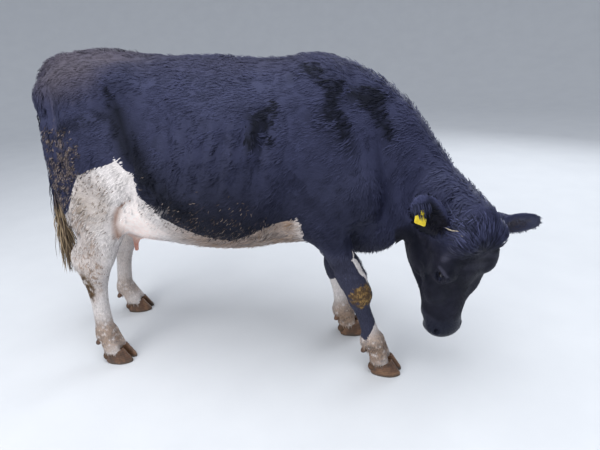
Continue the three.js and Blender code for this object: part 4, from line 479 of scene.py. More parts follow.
def surface_nets(h):
    val = sample_grid(h); n = np.array(val.shape)
    for _ in range(12):                  # no two sheets of surface may meet along one edge
        ins = val < 0; hits = 0
        for u, v in ((0, 1), (0, 2), (1, 2)):
            def sl(du, dv):
                s = [slice(None)] * 3; s[u] = slice(du, n[u] - 1 + du); s[v] = slice(dv, n[v] - 1 + dv); return tuple(s)
            a, b, c, d = ins[sl(0, 0)], ins[sl(1, 0)], ins[sl(1, 1)], ins[sl(0, 1)]
            I = np.argwhere((a == c) & (b == d) & (a != b))
            if not len(I): continue
            hits += len(I)
            for i in I:
                q = [i.copy() for _ in range(4)]; q[1][u] += 1; q[2][u] += 1; q[2][v] += 1; q[3][v] += 1
                q = [tuple(t) for t in q if val[tuple(t)] < 0]
                if q: w = min(q, key=lambda t: abs(val[t])); val[w] = h * 0.02
        if not hits: break
    ins = val < 0
    cnt = np.zeros(n - 1, np.int8)
    for c in range(8):
        i, j, k = c & 1, (c >> 1) & 1, c >> 2
        cnt += ins[i:n[0] - 1 + i, j:n[1] - 1 + j, k:n[2] - 1 + k]
    I = np.argwhere((cnt > 0) & (cnt < 8)); m = len(I)
    cell = np.full(n - 1, -1, np.int32); cell[I[:, 0], I[:, 1], I[:, 2]] = np.arange(m)
    g = [val[I[:, 0] + (c & 1), I[:, 1] + ((c >> 1) & 1), I[:, 2] + (c >> 2)] for c in range(8)]
    acc = np.zeros((m, 3)); num = np.zeros(m)
    for a in range(8):
        for ax in range(3):
            bit = 1 << ax
            if a & bit: continue
            va, vb = g[a], g[a | bit]; x = (va < 0) != (vb < 0)
            t = np.where(x, va / np.where(x, va - vb, 1), 0)
            base = np.array([a & 1, (a >> 1) & 1, a >> 2], float)
            acc += x[:, None] * base; acc[:, ax] += t; num += x
    V = LO + (I + acc / num[:, None]) * h
    quads = []
    for ax, (p, q) in ((0, (1, 2)), (1, (0, 2)), (2, (0, 1))):
        s0 = [slice(1, None)] * 3; s1 = [slice(1, None)] * 3
        s0[ax] = slice(0, n[ax] - 1); s1[ax] = slice(1, n[ax])
        A, B = ins[tuple(s0)], ins[tuple(s1)]
        E = np.argwhere(A != B); v = A[E[:, 0], E[:, 1], E[:, 2]]
        E = E + 1; E[:, ax] -= 1
        ok = (E[:, p] < n[p] - 1) & (E[:, q] < n[q] - 1); E, v = E[ok], v[ok]
        def at(dp, dq):
            F = E.copy(); F[:, p] -= dp; F[:, q] -= dq; return cell[F[:, 0], F[:, 1], F[:, 2]]
        a, b, c, d = at(1, 1), at(0, 1), at(0, 0), at(1, 0)
        if ax == 1: b, d = d, b
        flip = ~v
        Q = np.stack([a, np.where(flip, d, b), c, np.where(flip, b, d)], 1)
        quads.append(Q)
    Q = np.concatenate(quads)
    ac = np.linalg.norm(V[Q[:, 0]] - V[Q[:, 2]], axis=1) <= np.linalg.norm(V[Q[:, 1]] - V[Q[:, 3]], axis=1)
    T = np.concatenate([np.where(ac[:, None], Q[:, [0, 1, 2]], Q[:, [1, 2, 3]]), np.where(ac[:, None], Q[:, [0, 2, 3]], Q[:, [1, 3, 0]])])
    return V, T

def refine(V, T, chosen):
    """splits every edge of the chosen triangles in two, and keeps the mesh closed"""
    E = np.stack([T, T[:, [1, 2, 0]]], 2).reshape(-1, 2); E.sort(1)
    code = E[:, 0].astype(np.int64) * len(V) + E[:, 1]
    uniq, inv = np.unique(code, return_inverse=True); inv = inv.reshape(-1, 3)
    cut = np.zeros(len(uniq), bool); cut[inv[chosen].ravel()] = True
    new = np.full(len(uniq), -1); ids = np.flatnonzero(cut); new[ids] = len(V) + np.arange(len(ids))
    a, b = (uniq[ids] // len(V)), (uniq[ids] % len(V))
    V2 = np.concatenate([V, (V[a] + V[b]) / 2])
    m = new[inv]; k = (m >= 0).sum(1); out = [T[k == 0]]
    t, q = T[k == 3], m[k == 3]
    out += [np.stack(c, 1) for c in ((t[:, 0], q[:, 0], q[:, 2]), (q[:, 0], t[:, 1], q[:, 1]), (q[:, 2], q[:, 1], t[:, 2]), (q[:, 0], q[:, 1], q[:, 2]))]
    for r in range(3):
        s = [(r + i) % 3 for i in range(3)]
        one = (k == 1) & (m[:, r] >= 0); t, q = T[one][:, s], m[one, r]
        out += [np.stack((t[:, 0], q, t[:, 2]), 1), np.stack((q, t[:, 1], t[:, 2]), 1)]
        two = (k == 2) & (m[:, r] < 0); t, q = T[two][:, s], m[two][:, s]     # edge r whole, the other two cut
        out += [np.stack((t[:, 0], t[:, 1], q[:, 1]), 1), np.stack((t[:, 0], q[:, 1], q[:, 2]), 1), np.stack((q[:, 2], q[:, 1], t[:, 2]), 1)]
    return V2, np.concatenate(out), np.arange(len(V), len(V2))

def mesh_of(name, V, T, flat=False):
    me = bpy.data.meshes.new(name)
    me.vertices.add(len(V)); me.vertices.foreach_set("co", np.ascontiguousarray(V, np.float32).ravel())
    k = T.shape[1]
    me.loops.add(T.size); me.loops.foreach_set("vertex_index", np.ascontiguousarray(T, np.int32).ravel())
    me.polygons.add(len(T)); me.polygons.foreach_set("loop_start", np.arange(0, T.size, k, dtype=np.int32))
    me.update(calc_edges=True)
    if not flat: me.polygons.foreach_set("use_smooth", np.ones(len(T), bool))
    me.update()
    return me
def piece_of(name, V, T, mat=None, flat=False, shift=True):
    ob = bpy.data.objects.new(name, mesh_of(name, V + (SHIFT if shift else 0), T, flat))
    bpy.context.scene.collection.objects.link(ob)
    if mat: ob.data.materials.append(mat)
    return ob
def arrays_of(me):
    V = np.empty(len(me.vertices) * 3, np.float32); me.vertices.foreach_get("co", V)
    me.calc_loop_triangles(); T = np.empty(len(me.loop_triangles) * 3, np.int32); me.loop_triangles.foreach_get("vertices", T)
    return V.reshape(-1, 3).astype(float), T.reshape(-1, 3)

NECK_PLANE, NECK_NORMAL = on_head(-0.02, 0, -0.09), unit(HEAD[0] + HEAD[2] / HEAD_DEPTH)
def in_head(P, grow=0.0):
    x, y, z = P.T
    d = (P - NECK_PLANE) @ NECK_NORMAL + grow
    return ((d > 0) & (x > 0.80) & (z < 0.95) & (y < 0.16)) | ((on_ear(P) > 0.5) & (x > 0.80))

MOUTH = on_head(0.46, 0, -0.11)
def fine_spots(P):
    h = head_coords(P); near_eye = np.zeros(len(P), bool)
    for e in EYES: near_eye |= np.linalg.norm(P - e["c"], axis=1) < 0.046
    nose = (h[:, 0] > 0.44) & in_head(P)
    mouth = (h[:, 0] > 0.37) & (h[:, 2] < -0.10) & (h[:, 2] > -0.15) & in_head(P)
    return near_eye | nose | mouth

def make_skin():
    V, T = surface_nets(SKIN_CELL); say("first skin", len(T))
    mid = V[T].mean(1)
    V, T, new = refine(V, T, in_head(mid, 0.01))
    V, _ = settle(V, 2, limit=0.006)
    V, T, new = refine(V, T, fine_spots(V[T].mean(1)))
    near_new = np.flatnonzero(fine_spots(V)); V[near_new] = settle(V[near_new], 3)[0]
    say("fine skin", len(T))
    me = mesh_of("raw", V, T); ob = bpy.data.objects.new("raw", me); bpy.context.scene.collection.objects.link(ob)
    w = np.ones(len(V)); d = in_head(V, -0.02); w[d] = 0.5; w[fine_spots(V)] = 0.2
    low = smooth(0.62, 0.5, V[:, 2]); w = np.minimum(w, 1 - 0.45 * low)
    g = ob.vertex_groups.new(name="thin")
    lev = np.round(w * 10).astype(int)
    for k in np.unique(lev): g.add(np.flatnonzero(lev == k).tolist(), k / 10, "REPLACE")
    mod = ob.modifiers.new("thin", "DECIMATE"); mod.ratio = min(1.0, SKIN_FACES / len(T)); mod.vertex_group = "thin"; mod.vertex_group_factor = 1.0
    dg = bpy.context.evaluated_depsgraph_get(); out = bpy.data.meshes.new_from_object(ob.evaluated_get(dg))
    V, T = arrays_of(out); bpy.data.objects.remove(ob)
    say("thinned skin", len(T))
    V, N = settle(V, 2, limit=0.003)
    return V, T, N
SKIN_V, SKIN_T, SKIN_N = make_skin()
say("skin", len(SKIN_V), len(SKIN_T), SKIN_V.min(0), SKIN_V.max(0))

# ------------------------------------------------- noise, regions, markings
def hash3(i, j, k, seed):
    h = (i * 374761393 + j * 668265263 + k * 2147483647 + seed * 1274126177) & 0xFFFFFFFF
    h = ((h ^ (h >> 13)) * 1274126177) & 0xFFFFFFFF
    return ((h ^ (h >> 16)) & 0xFFFFFF) / float(0xFFFFFF)
def noise(P, size, seed=0):
    """soft lattice noise, about -1..1"""
    Q = P / size; I = np.floor(Q).astype(np.int64); f = Q - I; f = f * f * (3 - 2 * f)
    out = np.zeros(len(P))
    for c in range(8):
        d = ((c & 1), (c >> 1) & 1, c >> 2)
        w = np.prod([f[:, a] if d[a] else 1 - f[:, a] for a in range(3)], axis=0)
        out += w * hash3(I[:, 0] + d[0], I[:, 1] + d[1], I[:, 2] + d[2], seed)
    return out * 2 - 1
def rough(P, size, seed=0): return 0.6 * noise(P, size, seed) + 0.3 * noise(P, size * 0.47, seed + 7) + 0.15 * noise(P, size * 0.21, seed + 13)

def trail(P, pts, soft=0.6):
    """soft band along a line of points with radii, 1 on it and 0 off it"""
    pts = np.asarray(pts, float); best = np.full(len(P), 9.0)
    pad = pts[:, 3].max() * (1 + soft); idx = np.flatnonzero(((P > pts[:, :3].min(0) - pad) & (P < pts[:, :3].max(0) + pad)).all(1)); out = np.zeros(len(P))
    if not len(idx): return out
    Q = P[idx]; best = np.full(len(idx), 9.0)
    for a, b in zip(pts[:-1], pts[1:]):
        u = b[:3] - a[:3]; t = np.clip(((Q - a[:3]) @ u) / (u @ u), 0, 1)
        best = np.minimum(best, np.linalg.norm(Q - a[:3] - t[:, None] * u, axis=1) / (a[3] + (b[3] - a[3]) * t))
    out[idx] = smooth(1 + soft, 1 - soft, best); return out

def outline(P2, poly):
    """signed distance to a closed outline in a plane, positive inside"""
    poly = np.asarray(poly, float); best = np.full(len(P2), 1e9); odd = np.zeros(len(P2), bool)
    for i in range(len(poly)):
        a, b = poly[i], poly[(i + 1) % len(poly)]; u = b - a
        t = np.clip(((P2 - a) @ u) / (u @ u), 0, 1); best = np.minimum(best, np.linalg.norm(P2 - a - t[:, None] * u, axis=1))
        c = (a[1] > P2[:, 1]) != (b[1] > P2[:, 1])
        odd ^= c & (P2[:, 0] < (b[0] - a[0]) * (P2[:, 1] - a[1]) / np.where(b[1] != a[1], b[1] - a[1], 1) + a[0])
    return np.where(odd, best, -best)

# the white of each side: stifle patch, belly line and hind leg, as outlines in X and Z
WHITE_RIGHT = [(-0.289, 1.014), (-0.281, 0.990), (-0.267, 0.961), (-0.239, 0.942), (-0.213, 0.922), (-0.219, 0.896), (-0.224, 0.868), (-0.192, 0.842), (-0.143, 0.798), (-0.101, 0.767), (-0.015, 0.733), (0.062, 0.695), (0.151, 0.680), (0.234, 0.703), (0.278, 0.734), (0.327, 0.752), (0.373, 0.762), (0.436, 0.780), (0.458, 0.740), (0.455, -0.20), (-0.95, -0.20), (-0.95, 0.700), (-0.700, 0.715), (-0.640, 0.745), (-0.600, 0.786), (-0.582, 0.855), (-0.552, 0.912), (-0.492, 0.946), (-0.440, 0.964), (-0.368, 0.983), (-0.325, 0.998)]
WHITE_LEFT = [(-0.300, 0.900), (-0.235, 0.925), (-0.150, 0.860), (-0.080, 0.775), (0.030, 0.720), (0.130, 0.745), (0.215, 0.870), (0.290, 0.935), (0.360, 0.880), (0.400, 0.790), (0.455, 0.740), (0.455, -0.20), (-0.95, -0.20), (-0.95, 0.690), (-0.700, 0.700), (-0.650, 0.760), (-0.590, 0.800), (-0.500, 0.870), (-0.420, 0.985), (-0.350, 0.960)]
def white_margin(P):
    """metres inside (+) or outside (-) the white of the coat"""
    x, y, z = P.T
    P2 = P[:, [0, 2]]
    s = mix(outline(P2, WHITE_RIGHT), outline(P2, WHITE_LEFT), smooth(-0.05, 0.05, y))
    # fore legs: near one black down to the pastern, far one white below the knee
    fore = smooth(0.43, 0.46, x)
    ray = trail(P * vec(0.2, 1, 1), [(0.1280, -0.176, 0.618, 0.005), (0.1296, -0.176, 0.598, 0.009), (0.1310, -0.177, 0.586, 0.010), (0.1334, -0.176, 0.560, 0.009), (0.1352, -0.173, 0.541, 0.009), (0.1370, -0.169, 0.517, 0.009), (0.1386, -0.156, 0.486, 0.007), (0.1400, -0.147, 0.462, 0.003)], 0.3)
    near_leg = np.maximum(0.183 + 2.3 * np.clip(x - 0.692, 0, 0.05) - z - 0.3 * np.maximum(y + 0.12, 0), np.where(ray > 0.01, 0.012 * (2 * ray - 1), -0.05))
    far_leg = 0.335 - 0.5 * np.abs(x - 0.53) - z
    leg = np.where(y < 0.0, near_leg, far_leg)
    f = np.where(z < 0.66, leg, -0.05); f = np.minimum(f, 0.05)
    s = mix(np.clip(s, -0.06, 0.06), f, fore)
    head = x > 0.86
    s = np.where(head, -0.06, s)
    tl = on_tail(P); dock = smooth(-0.785, -0.800, x) * smooth(0.60, 0.64, z) * tl
    s = mix(s, np.full(len(P), -0.05), dock)
    return s + 0.004 * rough(P, 0.035, 3) + 0.0025 * noise(P, 0.010, 5)

# darker marks over the short ribs, the withers and the far side: partly wet hair, partly painted shade where the hair
# lies away from the light
WET_AND_SHADE_MARKS = [
    (-1, [(0.354, 1.222), (0.378, 1.202), (0.381, 1.161), (0.367, 1.156), (0.370, 1.106), (0.369, 1.063), (0.349, 1.068), (0.341, 1.097), (0.338, 1.119), (0.322, 1.126), (0.318, 1.098), (0.322, 1.064), (0.293, 1.058), (0.262, 1.080), (0.259, 1.135), (0.271, 1.140), (0.283, 1.128), (0.291, 1.147), (0.290, 1.169), (0.303, 1.179), (0.328, 1.186), (0.344, 1.201)]),
    (-1, [(0.447, 1.330), (0.480, 1.336), (0.528, 1.330), (0.537, 1.306), (0.530, 1.283), (0.563, 1.279), (0.606, 1.270), (0.604, 1.243), (0.587, 1.231), (0.584, 1.198), (0.580, 1.145), (0.553, 1.146), (0.542, 1.180), (0.546, 1.220), (0.552, 1.246), (0.522, 1.261), (0.485, 1.303)]),
    (-1, [(0.576, 1.179), (0.607, 1.170), (0.636, 1.124), (0.633, 1.080), (0.605, 1.085), (0.594, 1.127)]),
    (-1, [(0.652, 1.244), (0.675, 1.249), (0.717, 1.239), (0.747, 1.207), (0.752, 1.163), (0.772, 1.121), (0.781, 1.066), (0.768, 1.050), (0.739, 1.076), (0.716, 1.125), (0.701, 1.161), (0.666, 1.184), (0.651, 1.215)]),
    (1, [(0.24, 1.20), (0.33, 1.22), (0.36, 1.12), (0.30, 1.03), (0.22, 1.10)])]
def blob(P, c, r, soft=0.35):
    q = np.linalg.norm((P - np.asarray(c)) / np.asarray(r), axis=1)
    return smooth(1 + soft, 1 - soft, q)
def coat_facts(P):
    """what every point of the coat is like: white margin, bare pink, soil, and so on"""
    x, y, z = P.T; f = {}
    f["white"] = white_margin(P)
    bag = part_distance(P, ("udder",), 0.06)
    f["bare"] = smooth(0.012, 0.002, bag + 0.003 * noise(P, 0.02, 9)) * smooth(0.80, 0.74, z)
    f["teat"] = smooth(0.590, 0.560, z) * (bag < 0.02) * (np.abs(y) < 0.13) * (x < -0.38)
    f["shelf"] = smooth(-0.40, -0.33, x) * smooth(0.60, 0.66, z)       # fore part of the bag, thinly haired
    f["bare"] = np.maximum(f["bare"], 0.75 * blob(P, (-0.275, -0.19, 0.735), (0.115, 0.12, 0.105), 0.25) * (y < 0) * smooth(0.86, 0.80, z))
    f["bare"] *= np.maximum(smooth(0.0, 0.004, f["white"]), smooth(0.70, 0.62, z))
    h = head_coords(P); head = in_head(P, 0.0)
    f["muzzle"] = head * smooth(0.425, 0.458, h[:, 0] + 0.06 * (h[:, 2] + 0.09)) * smooth(-0.150, -0.118, h[:, 2])
    eye = np.zeros(len(P))
    for e in EYES:
        V = P - e["c"]; q = np.sqrt((V @ HEAD[0] / 0.025) ** 2 + (V @ HEAD[2] / 0.0175) ** 2 + (V @ HEAD[1] / 0.04) ** 2)
        eye = np.maximum(eye, smooth(1.16, 0.98, q))
    f["lid"] = eye
    # soiling
    n1, n2, n3 = rough(P, 0.05, 21), rough(P, 0.016, 23), rough(P, 0.007, 27)
    soil = np.zeros(len(P)); dung = np.zeros(len(P))
    right = smooth(0.02, -0.04, y)
    soil = np.maximum(soil, blob(P, (-0.482, -0.24, 0.845), (0.122, 0.22, 0.140), 0.32) * (0.46 + 0.16 * n1 + 0.44 * smooth(0.05, 0.45, n3 + 0.5 * n2)))
    soil = np.maximum(soil, blob(P, (-0.575, -0.24, 0.61), (0.090, 0.20, 0.23), 0.35) * (0.36 + 0.20 * n1 + 0.45 * smooth(0.10, 0.45, n3 + 0.7 * n2)))
    soil = np.maximum(soil, smooth(0.70, 0.60, z) * (x < -0.40) * (0.10 + 0.10 * n1 + 0.28 * smooth(0.15, 0.5, n2 + 0.4 * n3)))
    soil = np.maximum(soil, 0.45 * blob(P, (-0.62, 0.22, 0.68), (0.16, 0.2, 0.24), 0.35) * smooth(-0.1, 0.4, n1 + n2))
    belly = smooth(0.790, 0.730, z - 0.10 * smooth(0.15, 0.35, x)) * smooth(-0.20, -0.06, x) * smooth(0.46, 0.40, x)
    earth = belly * (0.74 + 0.20 * n2 + 0.26 * smooth(0.0, 0.4, n3)) * mix(0.55, 1.0, smooth(-0.10, 0.06, x))
    for L in HIND.values():
        earth = np.maximum(earth, (0.92 if L["fetlock"][1] < 0 else 0.66) * blob(P, off(L["fetlock"], [0, 0, -0.02]), (0.095, 0.08, 0.115), 0.5) * smooth(-0.55, 0.15, n2 + 0.6 * n3 + 0.22))
        earth = np.maximum(earth, 0.35 * blob(P, off(L["hock"], [-0.03, 0, 0.0]), (0.08, 0.06, 0.10), 0.5) * smooth(-0.3, 0.4, n2 + 0.2))
    for L in FORE.values():
        earth = np.maximum(earth, 0.95 * blob(P, off(L["fetlock"], [0.01, 0, -0.03]), (0.085, 0.085, 0.095), 0.5) * smooth(-0.6, 0.10, n2 + 0.5 * n3 + 0.28))
    earth = np.maximum(earth, trail(P, [(-0.575, -0.26, 0.72, 0.050), (-0.550, -0.272, 0.66, 0.058), (-0.530, -0.275, 0.60, 0.060), (-0.527, -0.275, 0.53, 0.048), (-0.534, -0.272, 0.46, 0.038), (-0.555, -0.268, 0.395, 0.034), (-0.575, -0.264, 0.34, 0.022)], 0.6) * (0.32 + 0.52 * smooth(0.0, 0.45, n2 + 0.6 * n3)))
    f["earth"] = np.clip(earth, 0, 1); soil = np.maximum(soil, f["earth"])
    f["earth"] = np.maximum(f["earth"], 0.30 * blob(P, (-0.700, 0.18, 0.37), (0.10, 0.10, 0.20), 0.5) * (0.8 + 0.4 * n1)); soil = np.maximum(soil, f["earth"])
    dung = np.maximum(dung, blob(P, (-0.590, -0.262, 0.408), (0.034, 0.055, 0.075), 0.3) * smooth(-0.4, 0.1, n2 + 0.15))
    knee = blob(P, (0.676, -0.172, 0.418), (0.046, 0.055, 0.052), 0.9) + 0.55 * n2 + 0.30 * n3
    dung = np.maximum(dung, 0.95 * smooth(0.40, 0.58, knee) * blob(P, (0.674, -0.172, 0.414), (0.062, 0.064, 0.066), 0.2))
    f["straw"] = blob(P, (0.672, -0.172, 0.414), (0.066, 0.066, 0.070), 0.3)
    curls = trail(P, [(-0.65, -0.20, 1.08, 0.055), (-0.575, -0.235, 1.02, 0.075), (-0.60, -0.225, 0.94, 0.072), (-0.64, -0.225, 0.86, 0.055), (-0.665, -0.21, 0.79, 0.042)], 0.5) + 0.6 * blob(P, (-0.68, 0.18, 0.97), (0.10, 0.12, 0.18), 0.35)
    fleck = smooth(-0.085, -0.02, f["white"]) * (f["white"] < 0.004) * smooth(-0.16, -0.06, x) * smooth(0.34, 0.24, x) * smooth(0.90, 0.82, z)
    f["fleck"] = fleck; dung = np.maximum(dung, 0.65 * fleck * smooth(0.30, 0.55, n3 + 0.5 * n2))
    f["curls"] = np.clip(curls, 0, 1)
    dung = np.maximum(dung, 0.85 * curls * smooth(0.20, 0.52, n3 + 0.6 * n2))
    tl = on_tail(P); sw = smooth(-0.770, -0.790, x) * smooth(0.84, 0.72, z) * tl
    soil = np.maximum(soil, 0.8 * sw)
    f["switch"] = sw
    f["soil"] = np.clip(soil, 0, 1); f["dung"] = np.clip(dung, 0, 1)
    heel = np.zeros(len(P))
    for t in FEET:
        V = P - t["mid"]; heel = np.maximum(heel, smooth(0.064, 0.054, z + 0.004 * n3) * smooth(0.040, 0.032, np.abs(V @ t["out"])) * smooth(0.02, 0.0, V @ t["fwd"]) * smooth(-0.12, -0.09, V @ t["fwd"]))
    f["heel"] = heel
    # painted shade: the hollow before the thigh, a band across the thigh below the hip, the fold above the bag and the
    # low belly between the legs are painted darker, more faintly on the far side
    band = [(-0.285, -0.261, 1.290, 0.010), (-0.284, -0.256, 1.225, 0.024), (-0.272, -0.250, 1.167, 0.042), (-0.248, -0.256, 1.100, 0.058), (-0.220, -0.268, 1.045, 0.064), (-0.180, -0.295, 0.990, 0.064), (-0.145, -0.311, 0.938, 0.060), (-0.105, -0.320, 0.888, 0.056), (-0.050, -0.327, 0.838, 0.052), (0.020, -0.332, 0.800, 0.046)]
    fork = [(-0.300, -0.254, 1.176, 0.020), (-0.367, -0.256, 1.173, 0.022), (-0.412, -0.258, 1.170, 0.022), (-0.462, -0.258, 1.159, 0.025), (-0.523, -0.251, 1.135, 0.030), (-0.607, -0.212, 1.100, 0.034)]
    hol = np.maximum(trail(P, band, 0.60), 0.60 * trail(P, fork, 0.75))
    far = lambda pts: [(a, -b, c, d) for a, b, c, d in pts]
    hol = np.maximum(hol, np.maximum(0.6 * trail(P, far(band), 0.62), 0.4 * trail(P, far(fork), 0.75)))
    hol = np.maximum(hol, 0.72 * trail(P, [(-0.290, -0.286, 0.835, 0.004), (-0.301, -0.288, 0.827, 0.006), (-0.336, -0.282, 0.797, 0.008), (-0.360, -0.273, 0.761, 0.010), (-0.378, -0.270, 0.713, 0.012), (-0.394, -0.259, 0.661, 0.012)], 0.7) * (f["white"] > 0))
    hol = np.maximum(hol, 0.55 * smooth(0.86, 0.72, z) * smooth(-0.24, -0.10, x) * smooth(0.52, 0.40, x))
    f["shade"] = np.clip(hol, 0, 0.97)
    bagged = (y < -0.12) * 1.0; side = P * vec(1, 0.12, 1)
    # painted shade along the fold above the bag, in dark brown
    f["crease"] = bagged * 0.80 * trail(side, [(-0.272, -0.034, 0.841, 0.003), (-0.301, -0.034, 0.829, 0.004), (-0.336, -0.034, 0.799, 0.006), (-0.360, -0.033, 0.763, 0.008), (-0.378, -0.032, 0.713, 0.010), (-0.394, -0.031, 0.661, 0.011)], 0.75)
    # painted highlight on the fore part of the bag
    f["glow"] = bagged * blob(P, (-0.285, -0.25, 0.765), (0.060, 0.14, 0.062), 0.5)
    # darker marks on the black coat: painted shade where its hair lies away from the light, and wet hair
    P2 = P[:, [0, 2]]; wet = np.full(len(P), -1.0)
    for sd, poly in WET_AND_SHADE_MARKS:
        wet = np.maximum(wet, np.where(y * sd > 0.02, outline(P2, poly), -1.0))
    f["wet"] = smooth(-0.004, 0.004, wet + 0.003 + 0.0055 * rough(P, 0.016, 31)) * (0.96 - 0.30 * smooth(0.0, 0.6, rough(P, 0.020, 35)))
    f["face"] = head * smooth(0.03, 0.13, h[:, 0]); f["dust"] = blob(P, (-0.55, -0.08, 1.37), (0.26, 0.22, 0.13), 0.5) * (0.75 + 0.25 * n1)
    # painted shade: the lower flank and ribs are painted darker, less so towards the shoulder, as the light comes from
    # above
    f["low"] = smooth(1.13, 0.80, z) * mix(1.0, 0.55, smooth(0.20, 0.42, x)) * smooth(0.80, 0.68, x) * smooth(-0.26, -0.16, x) * smooth(0.60, 0.66, z); f["leg"] = smooth(0.64, 0.58, z) * (x < 0.86)
    # painted highlights on the brow, beside the eye and along the face, and painted shade in the hollows of the face
    fl = np.maximum(0.95 * trail(P, [(0.980, -0.248, 0.642, 0.012), (1.022, -0.264, 0.678, 0.020), (1.058, -0.267, 0.686, 0.016)], 0.7), trail(P, [(0.966, -0.245, 0.607, 0.007), (0.985, -0.249, 0.590, 0.007), (1.000, -0.243, 0.565, 0.006)], 0.6))
    fl = np.maximum(fl, 0.65 * trail(P, [(1.140, -0.167, 0.630, 0.012), (1.188, -0.126, 0.612, 0.012)], 0.7)); fl = np.maximum(fl, 0.50 * trail(P, [(0.905, -0.080, 0.322, 0.014), (0.946, -0.118, 0.303, 0.018), (0.970, -0.132, 0.290, 0.014)], 0.7))
    fl = np.maximum(fl, 0.45 * trail(P, [(1.075, -0.205, 0.592, 0.014), (1.138, -0.151, 0.578, 0.016)], 0.7)); f["lit"] = np.clip(fl * (0.85 + 0.3 * n2), 0, 1)
    f["deep"] = np.clip(0.75 * trail(P, [(1.010, -0.245, 0.590, 0.014), (1.044, -0.197, 0.534, 0.022), (1.083, -0.141, 0.463, 0.022)], 0.7) + 0.75 * trail(P, [(0.871, -0.098, 0.660, 0.030), (0.901, -0.134, 0.579, 0.034), (0.934, -0.187, 0.520, 0.026)], 0.6), 0, 1)
    # the near ear: a painted highlight along its upper rim and tip, and painted shade in its cup; the far ear a little
    # lighter
    ew = on_ear(P, 0.012, 0.022); V = P - EAR_R["root"]; t_, a_, o_ = V @ EAR_R["dir"] / EAR_R["len"], V @ EAR_R["across"], V @ EAR_R["open"]; mine = ew * (y < -0.15)
    f["cup"] = mine * smooth(0.02, 0.22, t_) * smooth(0.90, 0.70, t_) * smooth(0.050, 0.024, a_) * smooth(-0.009, 0.000, o_)
    f["helix"] = mine * np.maximum(smooth(0.030, 0.048, a_), smooth(0.76, 0.90, t_)) * smooth(0.10, 0.25, t_); f["far_ear"] = ew * (y > -0.15) * smooth(0.02, 0.05, P @ vec(1, 0, 0) - 1.17)
    f["chaff"] = np.clip(sum(blob(P, c, (0.011, 0.011, 0.011), 0.3) for c in ((1.034, -0.267, 0.742), (1.024, -0.259, 0.754))), 0, 1)
    f["strokes"] = np.clip(blob(P, (-0.49, -0.25, 0.84), (0.125, 0.2, 0.150), 0.3) + 0.9 * blob(P, (-0.555, -0.25, 0.61), (0.080, 0.2, 0.20), 0.35), 0, 1) * (f["white"] > -0.004)
    f["brown"] = np.clip(0.75 * blob(P, (-0.50, 0.0, 1.40), (0.36, 0.24, 0.16), 0.45) * smooth(-0.5, 0.5, n1 + 0.35) + 0.35 * blob(P, (0.0, 0.0, 1.38), (0.7, 0.2, 0.10), 0.5), 0, 1)
    f["tan"] = np.clip(sum(smooth(0.03, 0.0, ear_param(P, e)[0] - 0.55) * smooth(0.20, 0.05, np.abs(ear_param(P, e)[0] - 0.30)) * smooth(0.06, 0.03, ear_param(P, e)[1]) for e in EARS), 0, 1) * 0.25 * ew
    return f

# the blue cast of the black coat's colours is partly a painted reflection of the sky
BLACK_COAT = vec(0.0290, 0.0318, 0.0650); BROWN_COAT = vec(0.050, 0.044, 0.062); WET_AND_SHADE_COAT = vec(0.0030, 0.0033, 0.0062)
SHADE_COAT = vec(0.0050, 0.0056, 0.0105); LOW_SHADE_COAT = vec(0.0125, 0.0135, 0.0230); FACE_COAT = vec(0.0130, 0.0130, 0.0215); FACE_LIT = vec(0.0520, 0.0520, 0.0760); DUST_COAT = vec(0.088, 0.076, 0.092)
WHITE_COAT = vec(0.640, 0.605, 0.590); BARE = vec(0.740, 0.560, 0.480); BAG_PALE = vec(0.830, 0.760, 0.720); TEAT = vec(0.640, 0.330, 0.260)
SOIL = vec(0.230, 0.180, 0.135); SOIL_DARK = vec(0.110, 0.083, 0.062); DUNG = vec(0.085, 0.052, 0.025); STRAW = vec(0.330, 0.205, 0.070)
EARTH = vec(0.255, 0.170, 0.112); EARTH_DARK = vec(0.085, 0.055, 0.037)
MUZZLE = vec(0.0135, 0.0148, 0.0240); SWITCH = vec(0.265, 0.200, 0.125); HEEL = vec(0.085, 0.055, 0.036)
